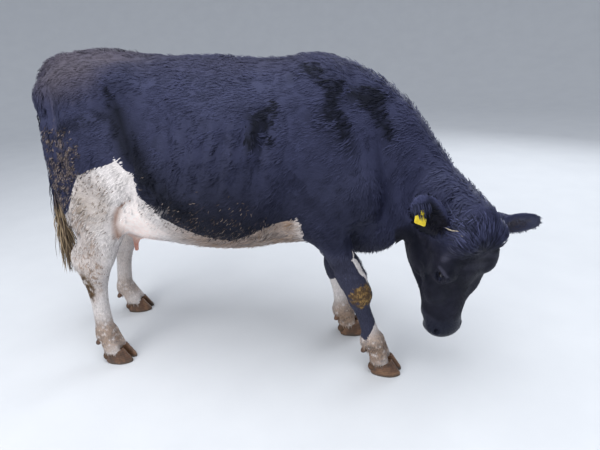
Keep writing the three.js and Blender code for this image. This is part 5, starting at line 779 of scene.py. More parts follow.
def paints(f, P, seed=0):
    """linear colours of the coat from its facts: as it is where black, and as it is where white"""
    c3 = lambda v: np.broadcast_to(v, (len(P), 3)).copy()
    n2, n3 = noise(P, 0.012, 41 + seed), noise(P, 0.05, 43 + seed)
    black = c3(BLACK_COAT) * (1 + 0.25 * n3[:, None]); black = mix(black, c3(BROWN_COAT), f["brown"][:, None] * 0.7)
    # dust over the top of the rump, painted shade on the lower flank, and the legs' coat lighter and less blue
    black = mix(black, c3(DUST_COAT), f["dust"][:, None] * 0.85); black = mix(black, c3(LOW_SHADE_COAT) * (1 + 0.3 * n3[:, None]), f["low"][:, None] * 0.86); black = black * mix(vec(1, 1, 1), vec(1.26, 1.20, 0.98), f["leg"][:, None])
    # the face's coat with random tone, painted highlights and painted shade
    face = c3(FACE_COAT) * (1 + 0.30 * noise(P, 0.045, 47)[:, None] + 0.22 * noise(P, 0.015, 49)[:, None]); face = mix(face, c3(FACE_LIT), f["lit"][:, None]); face = mix(face, c3(SHADE_COAT), f["deep"][:, None])
    # the near ear's rim is painted lighter as a highlight, and its cup is painted near black as shade
    black = mix(black, face, f["face"][:, None]); black = mix(black, c3(BLACK_COAT) * 1.15, (f["far_ear"] * 0.9)[:, None]); black = mix(black, c3(BLACK_COAT) * 1.75, f["helix"][:, None]); black = mix(black, c3(WET_AND_SHADE_COAT) * 0.8, (f["cup"] * 0.95)[:, None])
    # painted shade: the black coat is darkened in the hollows and folds, and under the wet marks, which are wet hair
    # with painted shade
    black = mix(black, c3(BROWN_COAT), f["tan"][:, None] * 0.6); black = mix(black, c3(SHADE_COAT), f["shade"][:, None]); black = mix(black, c3(WET_AND_SHADE_COAT), f["wet"][:, None])
    white = c3(WHITE_COAT) * (1 + 0.05 * n2[:, None])
    s = mix(c3(SOIL), c3(SOIL_DARK), smooth(-0.2, 0.7, n2 + 0.6 * n3)[:, None])
    s = mix(s, mix(c3(EARTH), c3(EARTH_DARK), smooth(-0.1, 0.7, n2 + 0.6 * n3)[:, None]), smooth(0.0, 0.25, f["earth"])[:, None])
    # soil on the white coat, then painted shade in dark brown along the bag's fold
    white = mix(white, s, f["soil"][:, None]); white = mix(white, c3(vec(0.200, 0.120, 0.075)), f["crease"][:, None])
    d = mix(c3(DUNG), c3(STRAW), (f["straw"] * smooth(-0.1, 0.5, n2) + (1 - f["straw"]) * 0.35 * smooth(0.0, 0.8, n2))[:, None])
    curl = c3(vec(0.190, 0.145, 0.115)); out = []
    for col in (black, white):
        col = mix(col, mix(c3(BLACK_COAT) * 1.4, c3(SWITCH), smooth(-0.4, 0.6, n2 + n3)[:, None]), f["switch"][:, None])
        col = mix(col, mix(mix(c3(BARE), c3(BAG_PALE), f["shelf"][:, None]), c3(TEAT), f["teat"][:, None]), f["bare"][:, None])
        # painted highlight on the fore part of the bag, over the white only
        col = mix(col, c3(vec(0.900, 0.860, 0.830)), (0.6 * f["glow"] * smooth(-0.003, 0.003, f["white"]))[:, None])
        # painted shade along the bag's fold
        col = mix(col, c3(vec(0.270, 0.150, 0.100)), (f["crease"] * smooth(-0.003, 0.003, f["white"]))[:, None])
        col = mix(col, mix(d, curl, np.maximum(f["curls"], f["fleck"])[:, None]), f["dung"][:, None])
        # the muzzle's bare skin; the lids take the same colour a quarter lighter, a painted highlight on the lids
        col = mix(col, c3(MUZZLE), f["muzzle"][:, None]); col = mix(col, c3(MUZZLE) * 1.25, (f["lid"] * 0.9)[:, None])
        col = mix(col, c3(HEEL) * (1 + 0.3 * n2[:, None]), f["heel"][:, None])
        out.append(np.clip(col, 0, 1))
    return out
def paint(f, P, edge=0.0012, seed=0):
    a, b = paints(f, P, seed); return mix(a, b, smooth(-edge, edge, f["white"])[:, None])

FACTS = coat_facts(SKIN_V)
SKIN_DARK, SKIN_PALE = paints(FACTS, SKIN_V)
say("markings")

# ------------------------------------------------- lie of the coat
def lie(P, N):
    x, y, z = P.T; side = np.sign(y) + (y == 0)
    F = np.zeros((len(P), 3))
    def put(v, w):
        nonlocal F
        F = F * (1 - w[:, None]) + np.asarray(v) * w[:, None]
    one = np.ones(len(P))
    flank = smooth(1.38, 0.80, z)
    put(np.stack([-one, 0 * one, -0.10 - 0.55 * flank], 1), one)
    rump = smooth(-0.42, -0.66, x) * smooth(1.40, 1.25, z)
    put(np.stack([-0.25 * one, 0.1 * side, -one], 1), rump)
    chest = smooth(0.55, 0.72, x) * smooth(1.15, 0.95, z)
    put(np.stack([-0.35 * one, 0 * one, -one], 1), chest)
    nk = smooth(0.70, 0.86, x) * smooth(0.60, 0.70, z)
    put(np.stack([-0.62 * one, 0.28 * one, -0.25 - 0.8 * smooth(1.02, 0.80, z)], 1), nk * (1 - 0.0 * x))
    crest = smooth(0.62, 0.72, x) * smooth(0.75, 0.95, N[:, 2]) 
    put(np.stack([-0.80 * one, 0.25 * one, 0.75 * one], 1), crest)
    under = smooth(-0.55, -0.9, N[:, 2]) * smooth(0.60, 0.50, np.abs(x)) * (z > 0.5)
    put(np.stack([-one, 0 * one, 0 * one], 1), under)
    legs = smooth(0.66, 0.56, z)
    fore = (x > 0.2)
    put(np.stack([np.where(fore, 0.10, -0.05), 0 * one, -one], 1), legs * (np.abs(y) > 0.02) * ~((z > 0.5) & (np.abs(x - 0.0) < 0.36)))
    tail = smooth(-0.765, -0.785, x) * on_tail(P)
    put(np.stack([0.0 * one, -0.1 * one, -one], 1), tail * (z < 1.33))
    put(np.stack([-0.9 * one, 0 * one, -0.4 * one], 1), tail * (z >= 1.33))
    i = np.flatnonzero(in_head(P, 0.0))
    if len(i):
        Q, M = P[i], N[i]; h = head_coords(Q); a, s, f = h.T
        whorl = vec(0.115, 0.0)                     # between the eyes the hair parts
        va, vs = a - whorl[0], s - whorl[1]
        r = np.hypot(va, vs) + 1e-6
        up = smooth(0.10, 0.03, a)
        d = np.stack([va / r, vs / r], 1)
        front = smooth(0.15, 0.6, M @ HEAD[2])
        da = mix(0.75 - 0.1 * np.abs(s), d[:, 0], front * smooth(0.20, 0.10, r)); ds = mix(0.15 * np.sign(s), d[:, 1] * 1.1, front * smooth(0.20, 0.12, r))
        da = mix(da, 0.95, smooth(0.20, 0.26, a)); ds = mix(ds, 0.0, smooth(0.22, 0.30, a))
        back = (1 - front) * smooth(0.30, 0.16, a)
        H = HEAD[0] * (da * (1 - 0.75 * back))[:, None] + HEAD[1] * ds[:, None] + HEAD[2] * (-0.95 * back)[:, None]
        # swirl round the parting
        sw = smooth(0.07, 0.0, r) * front
        H = H + np.cross(M, H) * (1.2 * sw)[:, None]
        for e in EARS:
            t, rr = ear_param(Q, e); w = smooth(0.05, 0.20, t) * smooth(0.10, 0.085, rr) * on_ear(Q)
            H = mix(H, np.broadcast_to(e["dir"], H.shape) + 0.35 * unit(Q - e["root"] - (t * e["len"])[:, None] * e["dir"]), w[:, None])
        F[i] = H
    # a rosette on each side and on the loin
    for c, r0, turn in (((0.315, -0.28, 1.115), 0.075, 1.6), ((0.30, 0.29, 1.10), 0.075, -1.6), ((0.15, 0.0, 1.38), 0.09, 1.4), ((-0.12, -0.31, 0.88), 0.08, -1.2)):
        V = P - np.array(c); r = np.linalg.norm(V, axis=1); w = smooth(r0, r0 * 0.25, r)
        spin = np.cross(N, V) / (r[:, None] + 1e-6) * turn + V / (r[:, None] + 1e-6) * 0.8
        F = mix(unit(F), spin, w[:, None])
    F = F - dots(F, N)[:, None] * N
    weak = np.linalg.norm(F, axis=1) < 1e-3
    F[weak] = np.cross(N[weak], vec(0.3, 0.9, 0.2))
    F = unit(F)
    ang = 0.16 * noise(P, 0.16, 61) + 0.12 * noise(P, 0.045, 63)
    return unit(F * np.cos(ang)[:, None] + np.cross(N, F) * np.sin(ang)[:, None])

# ------------------------------------------------- unwrap of the skin
def unwrap(ob):
    """islands by facing, packed into one square"""
    me = ob.data; me.uv_layers.new(name="OFBake")
    bpy.context.view_layer.objects.active = ob
    for o in bpy.context.selected_objects: o.select_set(False)
    ob.select_set(True)
    bpy.ops.object.mode_set(mode="EDIT"); bpy.ops.mesh.select_all(action="SELECT")
    bpy.ops.uv.smart_project(angle_limit=math.radians(72), island_margin=0.0015, area_weight=0.6, correct_aspect=False, scale_to_bounds=False)
    bpy.ops.object.mode_set(mode="OBJECT"); ob.select_set(False)
    uv = np.empty(len(me.loops) * 2, np.float32); me.uv_layers["OFBake"].uv.foreach_get("vector", uv)
    lv = np.empty(len(me.loops), np.int32); me.loops.foreach_get("vertex_index", lv)
    return uv.reshape(-1, 3, 2), lv.reshape(-1, 3)

# ------------------------------------------------- materials
class Nodes:
    def __init__(self, name):
        self.m = bpy.data.materials.new(name); self.m.use_nodes = True; self.t = self.m.node_tree
        self.n, self.l = self.t.nodes, self.t.links
        self.bsdf = next(x for x in self.n if x.type == "BSDF_PRINCIPLED")
    def add(self, kind, **kw):
        x = self.n.new(kind)
        for k, v in kw.items():
            if isinstance(v, bpy.types.NodeSocket): self.l.new(v, x.inputs[k])
            elif k in x.inputs: x.inputs[k].default_value = v
            else: setattr(x, k, v)
        return x
    def link(self, a, b): self.l.new(a, b)
    def attr(self, name, kind="GEOMETRY"): return self.add("ShaderNodeAttribute", attribute_name=name, attribute_type=kind)
    def math(self, op, a, b=0.0, clamp=False):
        x = self.n.new("ShaderNodeMath"); x.operation = op; x.use_clamp = clamp
        for i, v in enumerate((a, b)):
            if isinstance(v, bpy.types.NodeSocket): self.l.new(v, x.inputs[i])
            else: x.inputs[i].default_value = v
        return x.outputs[0]
    def coords(self, scale=(1, 1, 1), rot=(0, 0, 0)):
        tc = self.add("ShaderNodeTexCoord"); mp = self.n.new("ShaderNodeMapping")
        mp.inputs["Scale"].default_value = scale; mp.inputs["Rotation"].default_value = rot
        self.l.new(tc.outputs["Object"], mp.inputs["Vector"]); return mp.outputs[0]
    def noise(self, scale, detail=3.0, vec=None, rough=0.55, dist=0.0):
        x = self.n.new("ShaderNodeTexNoise"); x.inputs["Scale"].default_value = scale; x.inputs["Detail"].default_value = detail
        x.inputs["Roughness"].default_value = rough; x.inputs["Distortion"].default_value = dist
        if vec is not None: self.l.new(vec, x.inputs["Vector"])
        return x.outputs["Fac"]
    def ramp(self, fac, *stops):
        x = self.n.new("ShaderNodeValToRGB"); e = x.color_ramp.elements
        while len(e) < len(stops): e.new(0.5)
        for s, (p, c) in zip(e, stops): s.position = p; s.color = (*c, 1) if len(c) == 3 else c
        self.l.new(fac, x.inputs[0]); return x.outputs[0]
    def grey(self, fac, *stops): return self.ramp(fac, *[(p, (v, v, v)) for p, v in stops])
    def mixc(self, fac, a, b, mode="MIX"):
        x = self.n.new("ShaderNodeMix"); x.data_type = "RGBA"; x.blend_type = mode
        for s, v in ((x.inputs[0], fac), (x.inputs[6], a), (x.inputs[7], b)):
            if isinstance(v, bpy.types.NodeSocket): self.l.new(v, s)
            elif isinstance(v, (int, float)): s.default_value = v
            else: s.default_value = (*v, 1) if len(v) == 3 else v
        return x.outputs[2]
    def bump(self, height, dist, strength=1.0, chain=None):
        x = self.n.new("ShaderNodeBump"); x.inputs["Distance"].default_value = dist; x.inputs["Strength"].default_value = strength
        self.l.new(height, x.inputs["Height"])
        if chain is not None: self.l.new(chain, x.inputs["Normal"])
        return x.outputs[0]
    def set(self, **kw):
        for k, v in kw.items():
            k = k.replace("_", " "); k = {"Base Color": "Base Color"}.get(k, k)
            s = self.bsdf.inputs[k]
            if isinstance(v, bpy.types.NodeSocket): self.l.new(v, s)
            elif isinstance(v, (int, float)): s.default_value = v
            else: s.default_value = (*v, 1) if len(v) == 3 and s.type == "RGBA" else v

def hair_strands(m, masks, scale=1.0):
    """fine strand relief run along X, along Z and along the face, each where its mask says"""
    c = m.add("ShaderNodeTexCoord").outputs["Object"]
    def dirn(rot, stretch, s, det=2.0):
        mp = m.n.new("ShaderNodeMapping"); mp.vector_type = "TEXTURE"; mp.inputs["Rotation"].default_value = rot; mp.inputs["Scale"].default_value = stretch
        m.l.new(c, mp.inputs["Vector"]); return m.noise(s, det, mp.outputs[0], 0.6, 0.15)
    out = None
    for mask, rot, stretch in masks:
        h = m.math("ADD", m.math("MULTIPLY", dirn(rot, stretch, 420 * scale), 0.55), m.math("MULTIPLY", dirn(rot, stretch, 150 * scale), 0.45))
        h = m.math("MULTIPLY", h, mask)
        out = h if out is None else m.math("ADD", out, h)
    return out

def skin_material():
    m = Nodes("cow_skin")
    dark, pale = m.attr("dark").outputs["Color"], m.attr("pale").outputs["Color"]; margin = m.attr("white").outputs["Fac"]; kind = m.add("ShaderNodeSeparateColor", **{"Color": m.attr("kind").outputs["Color"]})
    run = m.add("ShaderNodeSeparateColor", **{"Color": m.attr("run").outputs["Color"]})
    bare, muzzle, wet = kind.outputs[0], kind.outputs[1], kind.outputs[2]
    rx, rz, rf = run.outputs[0], run.outputs[1], run.outputs[2]
    # the face's own axis as a rotation of the strand pattern
    from mathutils import Matrix
    R = Matrix([list(HEAD[1]), list(HEAD[2]), list(HEAD[0])]).transposed().to_euler()
    strands = hair_strands(m, ((rx, (0, math.radians(14), 0), (7, 1, 1)), (rz, (0, 0, 0), (1, 1, 7)), (rf, tuple(R), (1, 1, 6))))
    fine = m.noise(900, 3.0, m.coords()); mid = m.noise(55, 3.0, m.coords()); big = m.noise(14, 3.0, m.coords())
    # the edge between black and white is as crisp as single locks, and ragged
    frayed = m.math("ADD", margin, m.math("MULTIPLY", m.math("SUBTRACT", m.noise(260, 2.0, m.coords()), 0.5), 0.050))
    white = m.grey(frayed, (0.492, 0.0), (0.508, 1.0))
    base = m.mixc(white, dark, pale)
    tint = m.mixc(m.grey(strands, (0.30, 0.0), (0.75, 1.0)), (0.72, 0.72, 0.74), (1.22, 1.20, 1.18))
    col = m.mixc(1.0, base, tint, "MULTIPLY")
    col = m.mixc(m.math("MULTIPLY", m.grey(mid, (0.35, 0.0), (0.75, 1.0)), 0.35), col, m.mixc(1.0, col, (0.72, 0.70, 0.74), "MULTIPLY"))
    # bare skin: fine blotches; muzzle: moist plates
    blot = m.grey(m.noise(60, 4.0, m.coords(), 0.6, 0.6), (0.38, 0.0), (0.66, 1.0))
    pink = m.mixc(blot, base, m.mixc(1.0, base, (1.0, 0.86, 0.83), "MULTIPLY"))
    col = m.mixc(bare, col, pink)
    vor = m.n.new("ShaderNodeTexVoronoi"); vor.feature = "DISTANCE_TO_EDGE"; vor.inputs["Scale"].default_value = 230; m.l.new(m.coords(), vor.inputs["Vector"])
    plates = m.grey(vor.outputs["Distance"], (0.0, 0.0), (0.16, 1.0))
    col = m.mixc(m.math("MULTIPLY", muzzle, 0.6), col, m.mixc(1.0, col, m.mixc(plates, (0.55, 0.55, 0.6), (1.25, 1.25, 1.3)), "MULTIPLY"))
    furry = m.math("SUBTRACT", 1.0, m.math("MAXIMUM", bare, muzzle), True)
    h = m.math("MULTIPLY", strands, furry)
    n = m.bump(h, 0.0020, 0.75)
    n = m.bump(m.math("MULTIPLY", mid, furry), 0.0022, 0.35, n)
    n = m.bump(m.math("MULTIPLY", plates, muzzle), 0.0009, 0.7, n)
    n = m.bump(m.math("MULTIPLY", fine, bare), 0.0004, 0.5, n)
    n = m.bump(big, 0.004, 0.18, n)
    rough = m.math("ADD", 0.46, m.math("MULTIPLY", m.grey(strands, (0.3, 0.0), (0.8, 1.0)), 0.12))
    rough = m.math("SUBTRACT", rough, m.math("MULTIPLY", muzzle, 0.22)); rough = m.math("ADD", rough, m.math("MULTIPLY", white, 0.14))
    rough = m.math("ADD", rough, m.math("MULTIPLY", wet, 0.10), True)
    m.set(Base_Color=col, Roughness=rough, Normal=n, IOR=1.42, Specular_IOR_Level=0.14, Specular_Tint=(0.72, 0.80, 1.0), Sheen_Weight=0.03, Sheen_Roughness=0.42, Sheen_Tint=(0.55, 0.63, 1.0))
    m.set(Subsurface_Weight=0.0)
    return m.m

def hair_material(name, sheen=0.03, rough0=0.46, level=0.24):
    m = Nodes(name)
    a = m.attr("tint"); n1 = m.noise(700, 2.0, m.coords()); n2 = m.noise(90, 2.0, m.coords())
    col = m.mixc(1.0, a.outputs["Color"], m.mixc(m.grey(n1, (0.3, 0.0), (0.75, 1.0)), (0.78, 0.78, 0.80), (1.20, 1.18, 1.16)), "MULTIPLY")
    rough = m.math("ADD", rough0, m.math("MULTIPLY", m.grey(n2, (0.3, 0.0), (0.8, 1.0)), 0.14))
    m.set(Base_Color=col, Roughness=rough, Normal=m.bump(n1, 0.0006, 0.5), IOR=1.42, Specular_IOR_Level=level, Specular_Tint=(0.72, 0.80, 1.0), Sheen_Weight=sheen, Sheen_Roughness=0.40, Sheen_Tint=(0.55, 0.63, 1.0))
    return m.m

def horn_material():
    m = Nodes("hoof_horn")
    c = m.add("ShaderNodeTexCoord").outputs["Object"]
    w = m.n.new("ShaderNodeTexWave"); w.wave_type = "BANDS"; w.bands_direction = "Z"; w.inputs["Scale"].default_value = 34; w.inputs["Distortion"].default_value = 2.2; w.inputs["Detail"].default_value = 3; w.inputs["Detail Scale"].default_value = 2.0
    m.l.new(c, w.inputs["Vector"])
    streak = m.noise(110, 4.0, m.coords((1, 1, 0.12)), 0.6); blot = m.noise(24, 4.0, m.coords(), 0.6); sep = m.add("ShaderNodeSeparateXYZ", Vector=c)
    col = m.ramp(blot, (0.32, (0.030, 0.014, 0.008)), (0.50, (0.095, 0.043, 0.022)), (0.70, (0.210, 0.110, 0.058)))
    col = m.mixc(m.grey(streak, (0.40, 0.0), (0.75, 0.55)), col, (0.150, 0.080, 0.042))
    col = m.mixc(m.math("MULTIPLY", m.grey(w.outputs["Fac"], (0.2, 0.0), (0.8, 1.0)), 0.35), col, (0.050, 0.030, 0.018))
    dirt = m.grey(m.math("ADD", sep.outputs["Z"], m.math("MULTIPLY", m.math("SUBTRACT", blot, 0.5), 0.05)), (0.006, 1.0), (0.020, 0.0))
    col = m.mixc(m.math("MULTIPLY", dirt, 0.7), col, (0.060, 0.047, 0.035))
    n = m.bump(w.outputs["Fac"], 0.0011, 0.6); n = m.bump(streak, 0.0007, 0.6, n); n = m.bump(m.noise(380, 3.0, m.coords()), 0.0004, 0.6, n)
    m.set(Base_Color=col, Roughness=m.math("ADD", 0.30, m.math("MULTIPLY", blot, 0.34)), Normal=n, IOR=1.5)
    return m.m

def eye_material(c, front, wide):
    """dark brown iris with a lying pupil, by place on the ball"""
    m = Nodes("eye_wet")
    up = np.cross(front, wide)
    tc = m.add("ShaderNodeTexCoord").outputs["Object"]
    def dotp(ax, o):
        x = m.n.new("ShaderNodeVectorMath"); x.operation = "DOT_PRODUCT"; m.l.new(tc, x.inputs[0]); x.inputs[1].default_value = tuple(ax)
        return m.math("SUBTRACT", x.outputs["Value"], float(np.dot(ax, o)))
    u, v = dotp(wide, c), dotp(up, c)
    r = m.math("SQRT", m.math("ADD", m.math("MULTIPLY", u, u), m.math("MULTIPLY", v, v)))
    ru = m.math("DIVIDE", u, 0.0080); rv = m.math("DIVIDE", v, 0.0040)
    pupil = m.math("SQRT", m.math("ADD", m.math("MULTIPLY", ru, ru), m.math("MULTIPLY", rv, rv)))
    fib = m.noise(500, 4.0, m.coords(), 0.7)
    iris = m.ramp(fib, (0.3, (0.008, 0.005, 0.004)), (0.7, (0.020, 0.012, 0.008)))
    col = m.mixc(m.grey(pupil, (0.85, 1.0), (1.10, 0.0)), iris, (0.002, 0.002, 0.004))
    col = m.mixc(m.grey(m.math("MULTIPLY", r, 50.0), (0.66, 0.0), (0.76, 1.0)), col, m.mixc(m.noise(300, 3.0, m.coords()), (0.030, 0.022, 0.020), (0.060, 0.045, 0.040)))
    m.set(Base_Color=col, Roughness=0.09, IOR=1.40, Coat_Weight=1.0, Coat_Roughness=0.03, Normal=m.bump(m.noise(900, 2.0, m.coords()), 0.0001, 0.3))
    return m.m

def tag_material():
    m = Nodes("tag_yellow")
    n = m.noise(45, 4.0, m.coords(), 0.6); s = m.noise(160, 3.0, m.coords((1, 1, 0.2)), 0.6)
    col = m.ramp(n, (0.30, (0.62, 0.44, 0.018)), (0.55, (0.78, 0.60, 0.030)), (0.80, (0.84, 0.68, 0.075)))
    col = m.mixc(m.math("MULTIPLY", m.grey(s, (0.55, 0.0), (0.75, 1.0)), 0.35), col, (0.28, 0.19, 0.05))
    m.set(Base_Color=col, Roughness=m.math("ADD", 0.38, m.math("MULTIPLY", n, 0.25)), Normal=m.bump(s, 0.0005, 0.5), IOR=1.47)
    return m.m

# ------------------------------------------------- the skin piece
skin_mat = skin_material()
SKIN = piece_of("cow_skin", SKIN_V, SKIN_T, skin_mat)
UVS, LV = unwrap(SKIN); say("unwrap")
def point_attr(ob, name, kind, data, dim):
    a = ob.data.attributes.new(name, kind, "POINT")
    a.data.foreach_set({"FLOAT": "value", "FLOAT_COLOR": "color"}[kind], np.ascontiguousarray(data, np.float32).ravel())
rgba = lambda c, a=1.0: np.concatenate([c, np.full((len(c), 1), a)], 1)
point_attr(SKIN, "dark", "FLOAT_COLOR", rgba(SKIN_DARK), 4); point_attr(SKIN, "pale", "FLOAT_COLOR", rgba(SKIN_PALE), 4)
point_attr(SKIN, "white", "FLOAT", 0.5 + np.clip(FACTS["white"] * 10, -0.5, 0.5), 1)
point_attr(SKIN, "kind", "FLOAT_COLOR", rgba(np.stack([np.maximum(FACTS["bare"], FACTS["heel"]), np.maximum(FACTS["muzzle"], FACTS["lid"]), np.maximum(FACTS["wet"], FACTS["dung"])], 1)), 4)
x, y, z = SKIN_V.T; hd = in_head(SKIN_V).astype(float); lg = np.maximum(smooth(0.68, 0.56, z), smooth(-0.765, -0.785, x)); lg = np.maximum(lg, smooth(0.56, 0.70, x) * smooth(1.1, 0.95, z) * 0.8) * (1 - hd)
point_attr(SKIN, "run", "FLOAT_COLOR", rgba(np.stack([(1 - hd) * (1 - lg), lg, hd], 1)), 4)
FLESH_NODES = [n for n in frame["nodes"] if n.split("_")[0] in ("trunk", "neck", "head", "udder", "tail") or n.startswith(("hind_leg", "fore_leg")) or n in ("ear_right", "ear_left")]
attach(SKIN, "root"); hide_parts(*FLESH_NODES)

# ------------------------------------------------- eyes
def eyeball(e):
    """globe with a bulging cornea towards the lids"""
    front = unit(HEAD[1] * e["s"] + 0.10 * HEAD[2] + 0.05 * HEAD[0]); wide = unit(HEAD[0] - front * (HEAD[0] @ front)); up = np.cross(front, wide)
    nu, nv = 48, 32; V = [front * 0]; rows = []
    for j in range(nv + 1):
        th = math.pi * j / nv
        bulge = 0.0011 * math.exp(-(th / 0.52) ** 4)
        r = EYE_RADIUS * (1 - 0.012 * math.sin(th) ** 2) - 0.0006 + bulge
        rows.append([e["c"] + (front * math.cos(th) + (wide * math.cos(u) + up * math.sin(u)) * math.sin(th)) * r for u in np.linspace(0, 2 * math.pi, nu, endpoint=False)])
    V = [rows[0][0]] + [p for row in rows[1:-1] for p in row] + [rows[-1][0]]; T = []
    at = lambda j, i: 1 + (j - 1) * nu + i % nu
    for i in range(nu):
        T.append((0, at(1, i), at(1, i + 1))); T.append((len(V) - 1, at(nv - 1, i + 1), at(nv - 1, i)))
        for j in range(1, nv - 1): T += [(at(j, i), at(j + 1, i), at(j + 1, i + 1)), (at(j, i), at(j + 1, i + 1), at(j, i + 1))]
    return np.array(V), np.array(T), front, wide
for e in EYES:
    name = "right" if e["s"] < 0 else "left"
    V, T, front, wide = eyeball(e)
    ob = piece_of("eyeball_" + name, V, T, eye_material(e["c"] + SHIFT, front, wide))
    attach(ob, "root"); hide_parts("eye_" + name)

# ------------------------------------------------- claws and dewclaws
horn = horn_material()
def skin_rings(rings):
    m = len(rings[0]); V = [p for r in rings for p in r]; T = []
    for r in range(len(rings) - 1):
        for i in range(m): a, b = r * m + i, r * m + (i + 1) % m; T += [(a, b, b + m), (a, b + m, a + m)]
    for r, flip in ((0, True), (len(rings) - 1, False)):
        c = len(V); V.append(np.mean(rings[r], 0))
        for i in range(m): a, b = r * m + i, r * m + (i + 1) % m; T.append((c, b, a) if flip else (c, a, b))
    return np.array(V), np.array(T)
def claw(f, n=56, layers=15):
    mid, fwd, out, t = f["mid"], f["fwd"], f["out"], f["t"]; up = vec(0, 0, 1); L, W, H = CLAW_LENGTH, CLAW_WIDTH, CLAW_HEIGHT
    rings = []
    # sole edge, wall, coronet: lift, toe, heel, half width, sink
    keys = [(0.0, 0.600, -0.385, 0.455, 0), (0.03, 0.618, -0.400, 0.478, 0), (0.20, 0.603, -0.424, 0.498, 0), (0.60, 0.452, -0.424, 0.465, 0.20), (0.93, 0.335, -0.420, 0.437, 0.39), (1.0, 0.310, -0.412, 0.425, 0.42)]
    K = np.array(keys); lifts = np.concatenate([[0, 0.015, 0.03], np.linspace(0.08, 0.93, layers - 5), [0.97, 1.0]])
    for lift in lifts:
        toe, heel, half, sink = [np.interp(lift, K[:, 0], K[:, i]) for i in (1, 2, 3, 4)]
        ridge_ = 0.0005 * math.sin(lift * 46 + t) * (0.1 < lift < 0.95)
        ring = []
        for i in range(n):
            u = 2 * math.pi * i / n; cx, cy = math.cos(u), math.sin(u)
            q = (abs(cx) ** 2.4 + abs(cy) ** 2.4) ** (-1 / 2.4)
            ahead, aside = cx * q, cy * q; length = mix(heel, toe, (ahead + 1) / 2) * L
            taper = 1 - 0.20 * max(ahead, 0) ** 2; inner = 0.86 if aside * t < 0 else 1
            z = lift * H * (1 - sink * (1 - (ahead + 1) / 2))
            if lift < 0.05: z = 0.0 if lift == 0 else 0.0012 * (lift / 0.015)
            wall = aside * half * W * taper * inner * (1 - 0.03 * math.sin(min(lift, 1) * math.pi) * abs(aside))
            ring.append(mid + fwd * (length + ridge_ * ahead) + out * (wall + ridge_ * aside - t * 0.010 * max(ahead, 0) ** 2) + up * z)
        rings.append(ring)
    # the coronet closes inward and down inside the hair
    top = np.array(rings[-1]); c = top.mean(0)
    rings.append([mix(p, c, 0.12) - up * 0.002 for p in top]); rings.append([mix(p, c, 0.5) - up * 0.006 for p in top])
    return skin_rings(rings)
def frame_of(n, hint=(0, 0, 1)):
    a = unit(n); b = unit(np.cross(hint, a)); return a, b, np.cross(a, b)
for f in FEET:
    inner = "inner" if (1 if f["leg"].endswith("right") else -1) * f["t"] > 0 else "outer"
    V, T = claw(f); node = f"claw_{f['leg']}_{inner}"
    ob = piece_of("horn_" + node, V, T, horn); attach(ob, "root"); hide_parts(node)
    c = np.array(f["set"]["fetlock"]) - f["fwd"] * 0.034 + f["out"] * f["t"] * 0.024 + vec(0, 0, -0.034)
    a, b, e = frame_of(unit(-0.62 * f["fwd"] + vec(0, 0, -0.78)))
    rings = []
    for h, r in ((-0.014, 0.0130), (-0.010, 0.0146), (-0.002, 0.0146), (0.004, 0.0143), (0.009, 0.0134), (0.0135, 0.0117), (0.0175, 0.0092), (0.0200, 0.0062), (0.0213, 0.0028)):
        rings.append([c + a * h + b * (r * 0.98 * math.cos(u)) + e * (r * (0.93 + 0.03 * math.sin(3 * u)) * math.sin(u)) for u in np.linspace(0, 2 * math.pi, 28, endpoint=False)])
    V, T = skin_rings(rings); node = f"dewclaw_{f['leg']}_{inner}"
    ob = piece_of("horn_" + node, V, T, horn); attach(ob, "root"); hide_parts(node)

# ------------------------------------------------- ear tag
tag = frame["nodes"]["ear_tag_right"] if isinstance(frame["nodes"], dict) else bpy.data.objects["ear_tag_right"]
tag_ob = tag if hasattr(tag, "material_slots") else bpy.data.objects["ear_tag_right"]
tm = tag_material()
if tag_ob.material_slots:
    for s_ in tag_ob.material_slots: s_.material = tm
else: tag_ob.data.materials.append(tm)
say("pieces")

# ------------------------------------------------- coat: locks of solid mesh
# Each lock is a closed three-sided sliver: it is rooted just inside the skin,
# runs along the lie of the coat, and ends in a point.  Short locks cover the
# body; long ones make the tail switch, poll, crest, brisket, ears and curls.
from mathutils.kdtree import KDTree
TREE = KDTree(len(SKIN_V))
for i, p in enumerate(SKIN_V.tolist()): TREE.insert(p, i)
TREE.balance()
RNG = np.random.default_rng(20240611)
def nearest(P):
    return np.fromiter((TREE.find(p)[1] for p in P.tolist()), np.int64, len(P))
def put_at_height(P, h):
    """moves points along the skin's slope to the given height over it; gives the slope there"""
    i = nearest(P); n = SKIN_N[i]; d = dots(P - SKIN_V[i], n)
    return P + n * (h - d)[:, None], n

TRI = SKIN_V[SKIN_T]; CROSS = np.cross(TRI[:, 1] - TRI[:, 0], TRI[:, 2] - TRI[:, 0]); AREA = np.linalg.norm(CROSS, axis=1) / 2
MIDS = TRI.mean(1); MIDN = unit(CROSS)
TF = {k: v[SKIN_T].mean(1) for k, v in FACTS.items()}
def scatter(density):
    """evenly picked random roots, density per square metre for every triangle of skin"""
    c = np.cumsum(AREA * density); n = int(c[-1])
    if n < 1: return np.zeros(0, int), np.zeros((0, 3))
    pick = np.searchsorted(c, (np.arange(n) + RNG.random(n)) * c[-1] / n); pick = np.minimum(pick, len(c) - 1)
    u, v = RNG.random((2, n)); f = u + v > 1; u[f], v[f] = 1 - u[f], 1 - v[f]
    return pick, np.stack([1 - u - v, u, v], 1)

def root_points(pick, bary):
    P = np.einsum("ij,ijk->ik", bary, TRI[pick]); N = unit(np.einsum("ij,ijk->ik", bary, SKIN_N[SKIN_T[pick]]))
    uv = np.einsum("ij,ijk->ik", bary, UVS[pick])
    return P, N, uv
def turned(D, N, ang): return unit(D * np.cos(ang)[:, None] + np.cross(N, D) * np.sin(ang)[:, None])

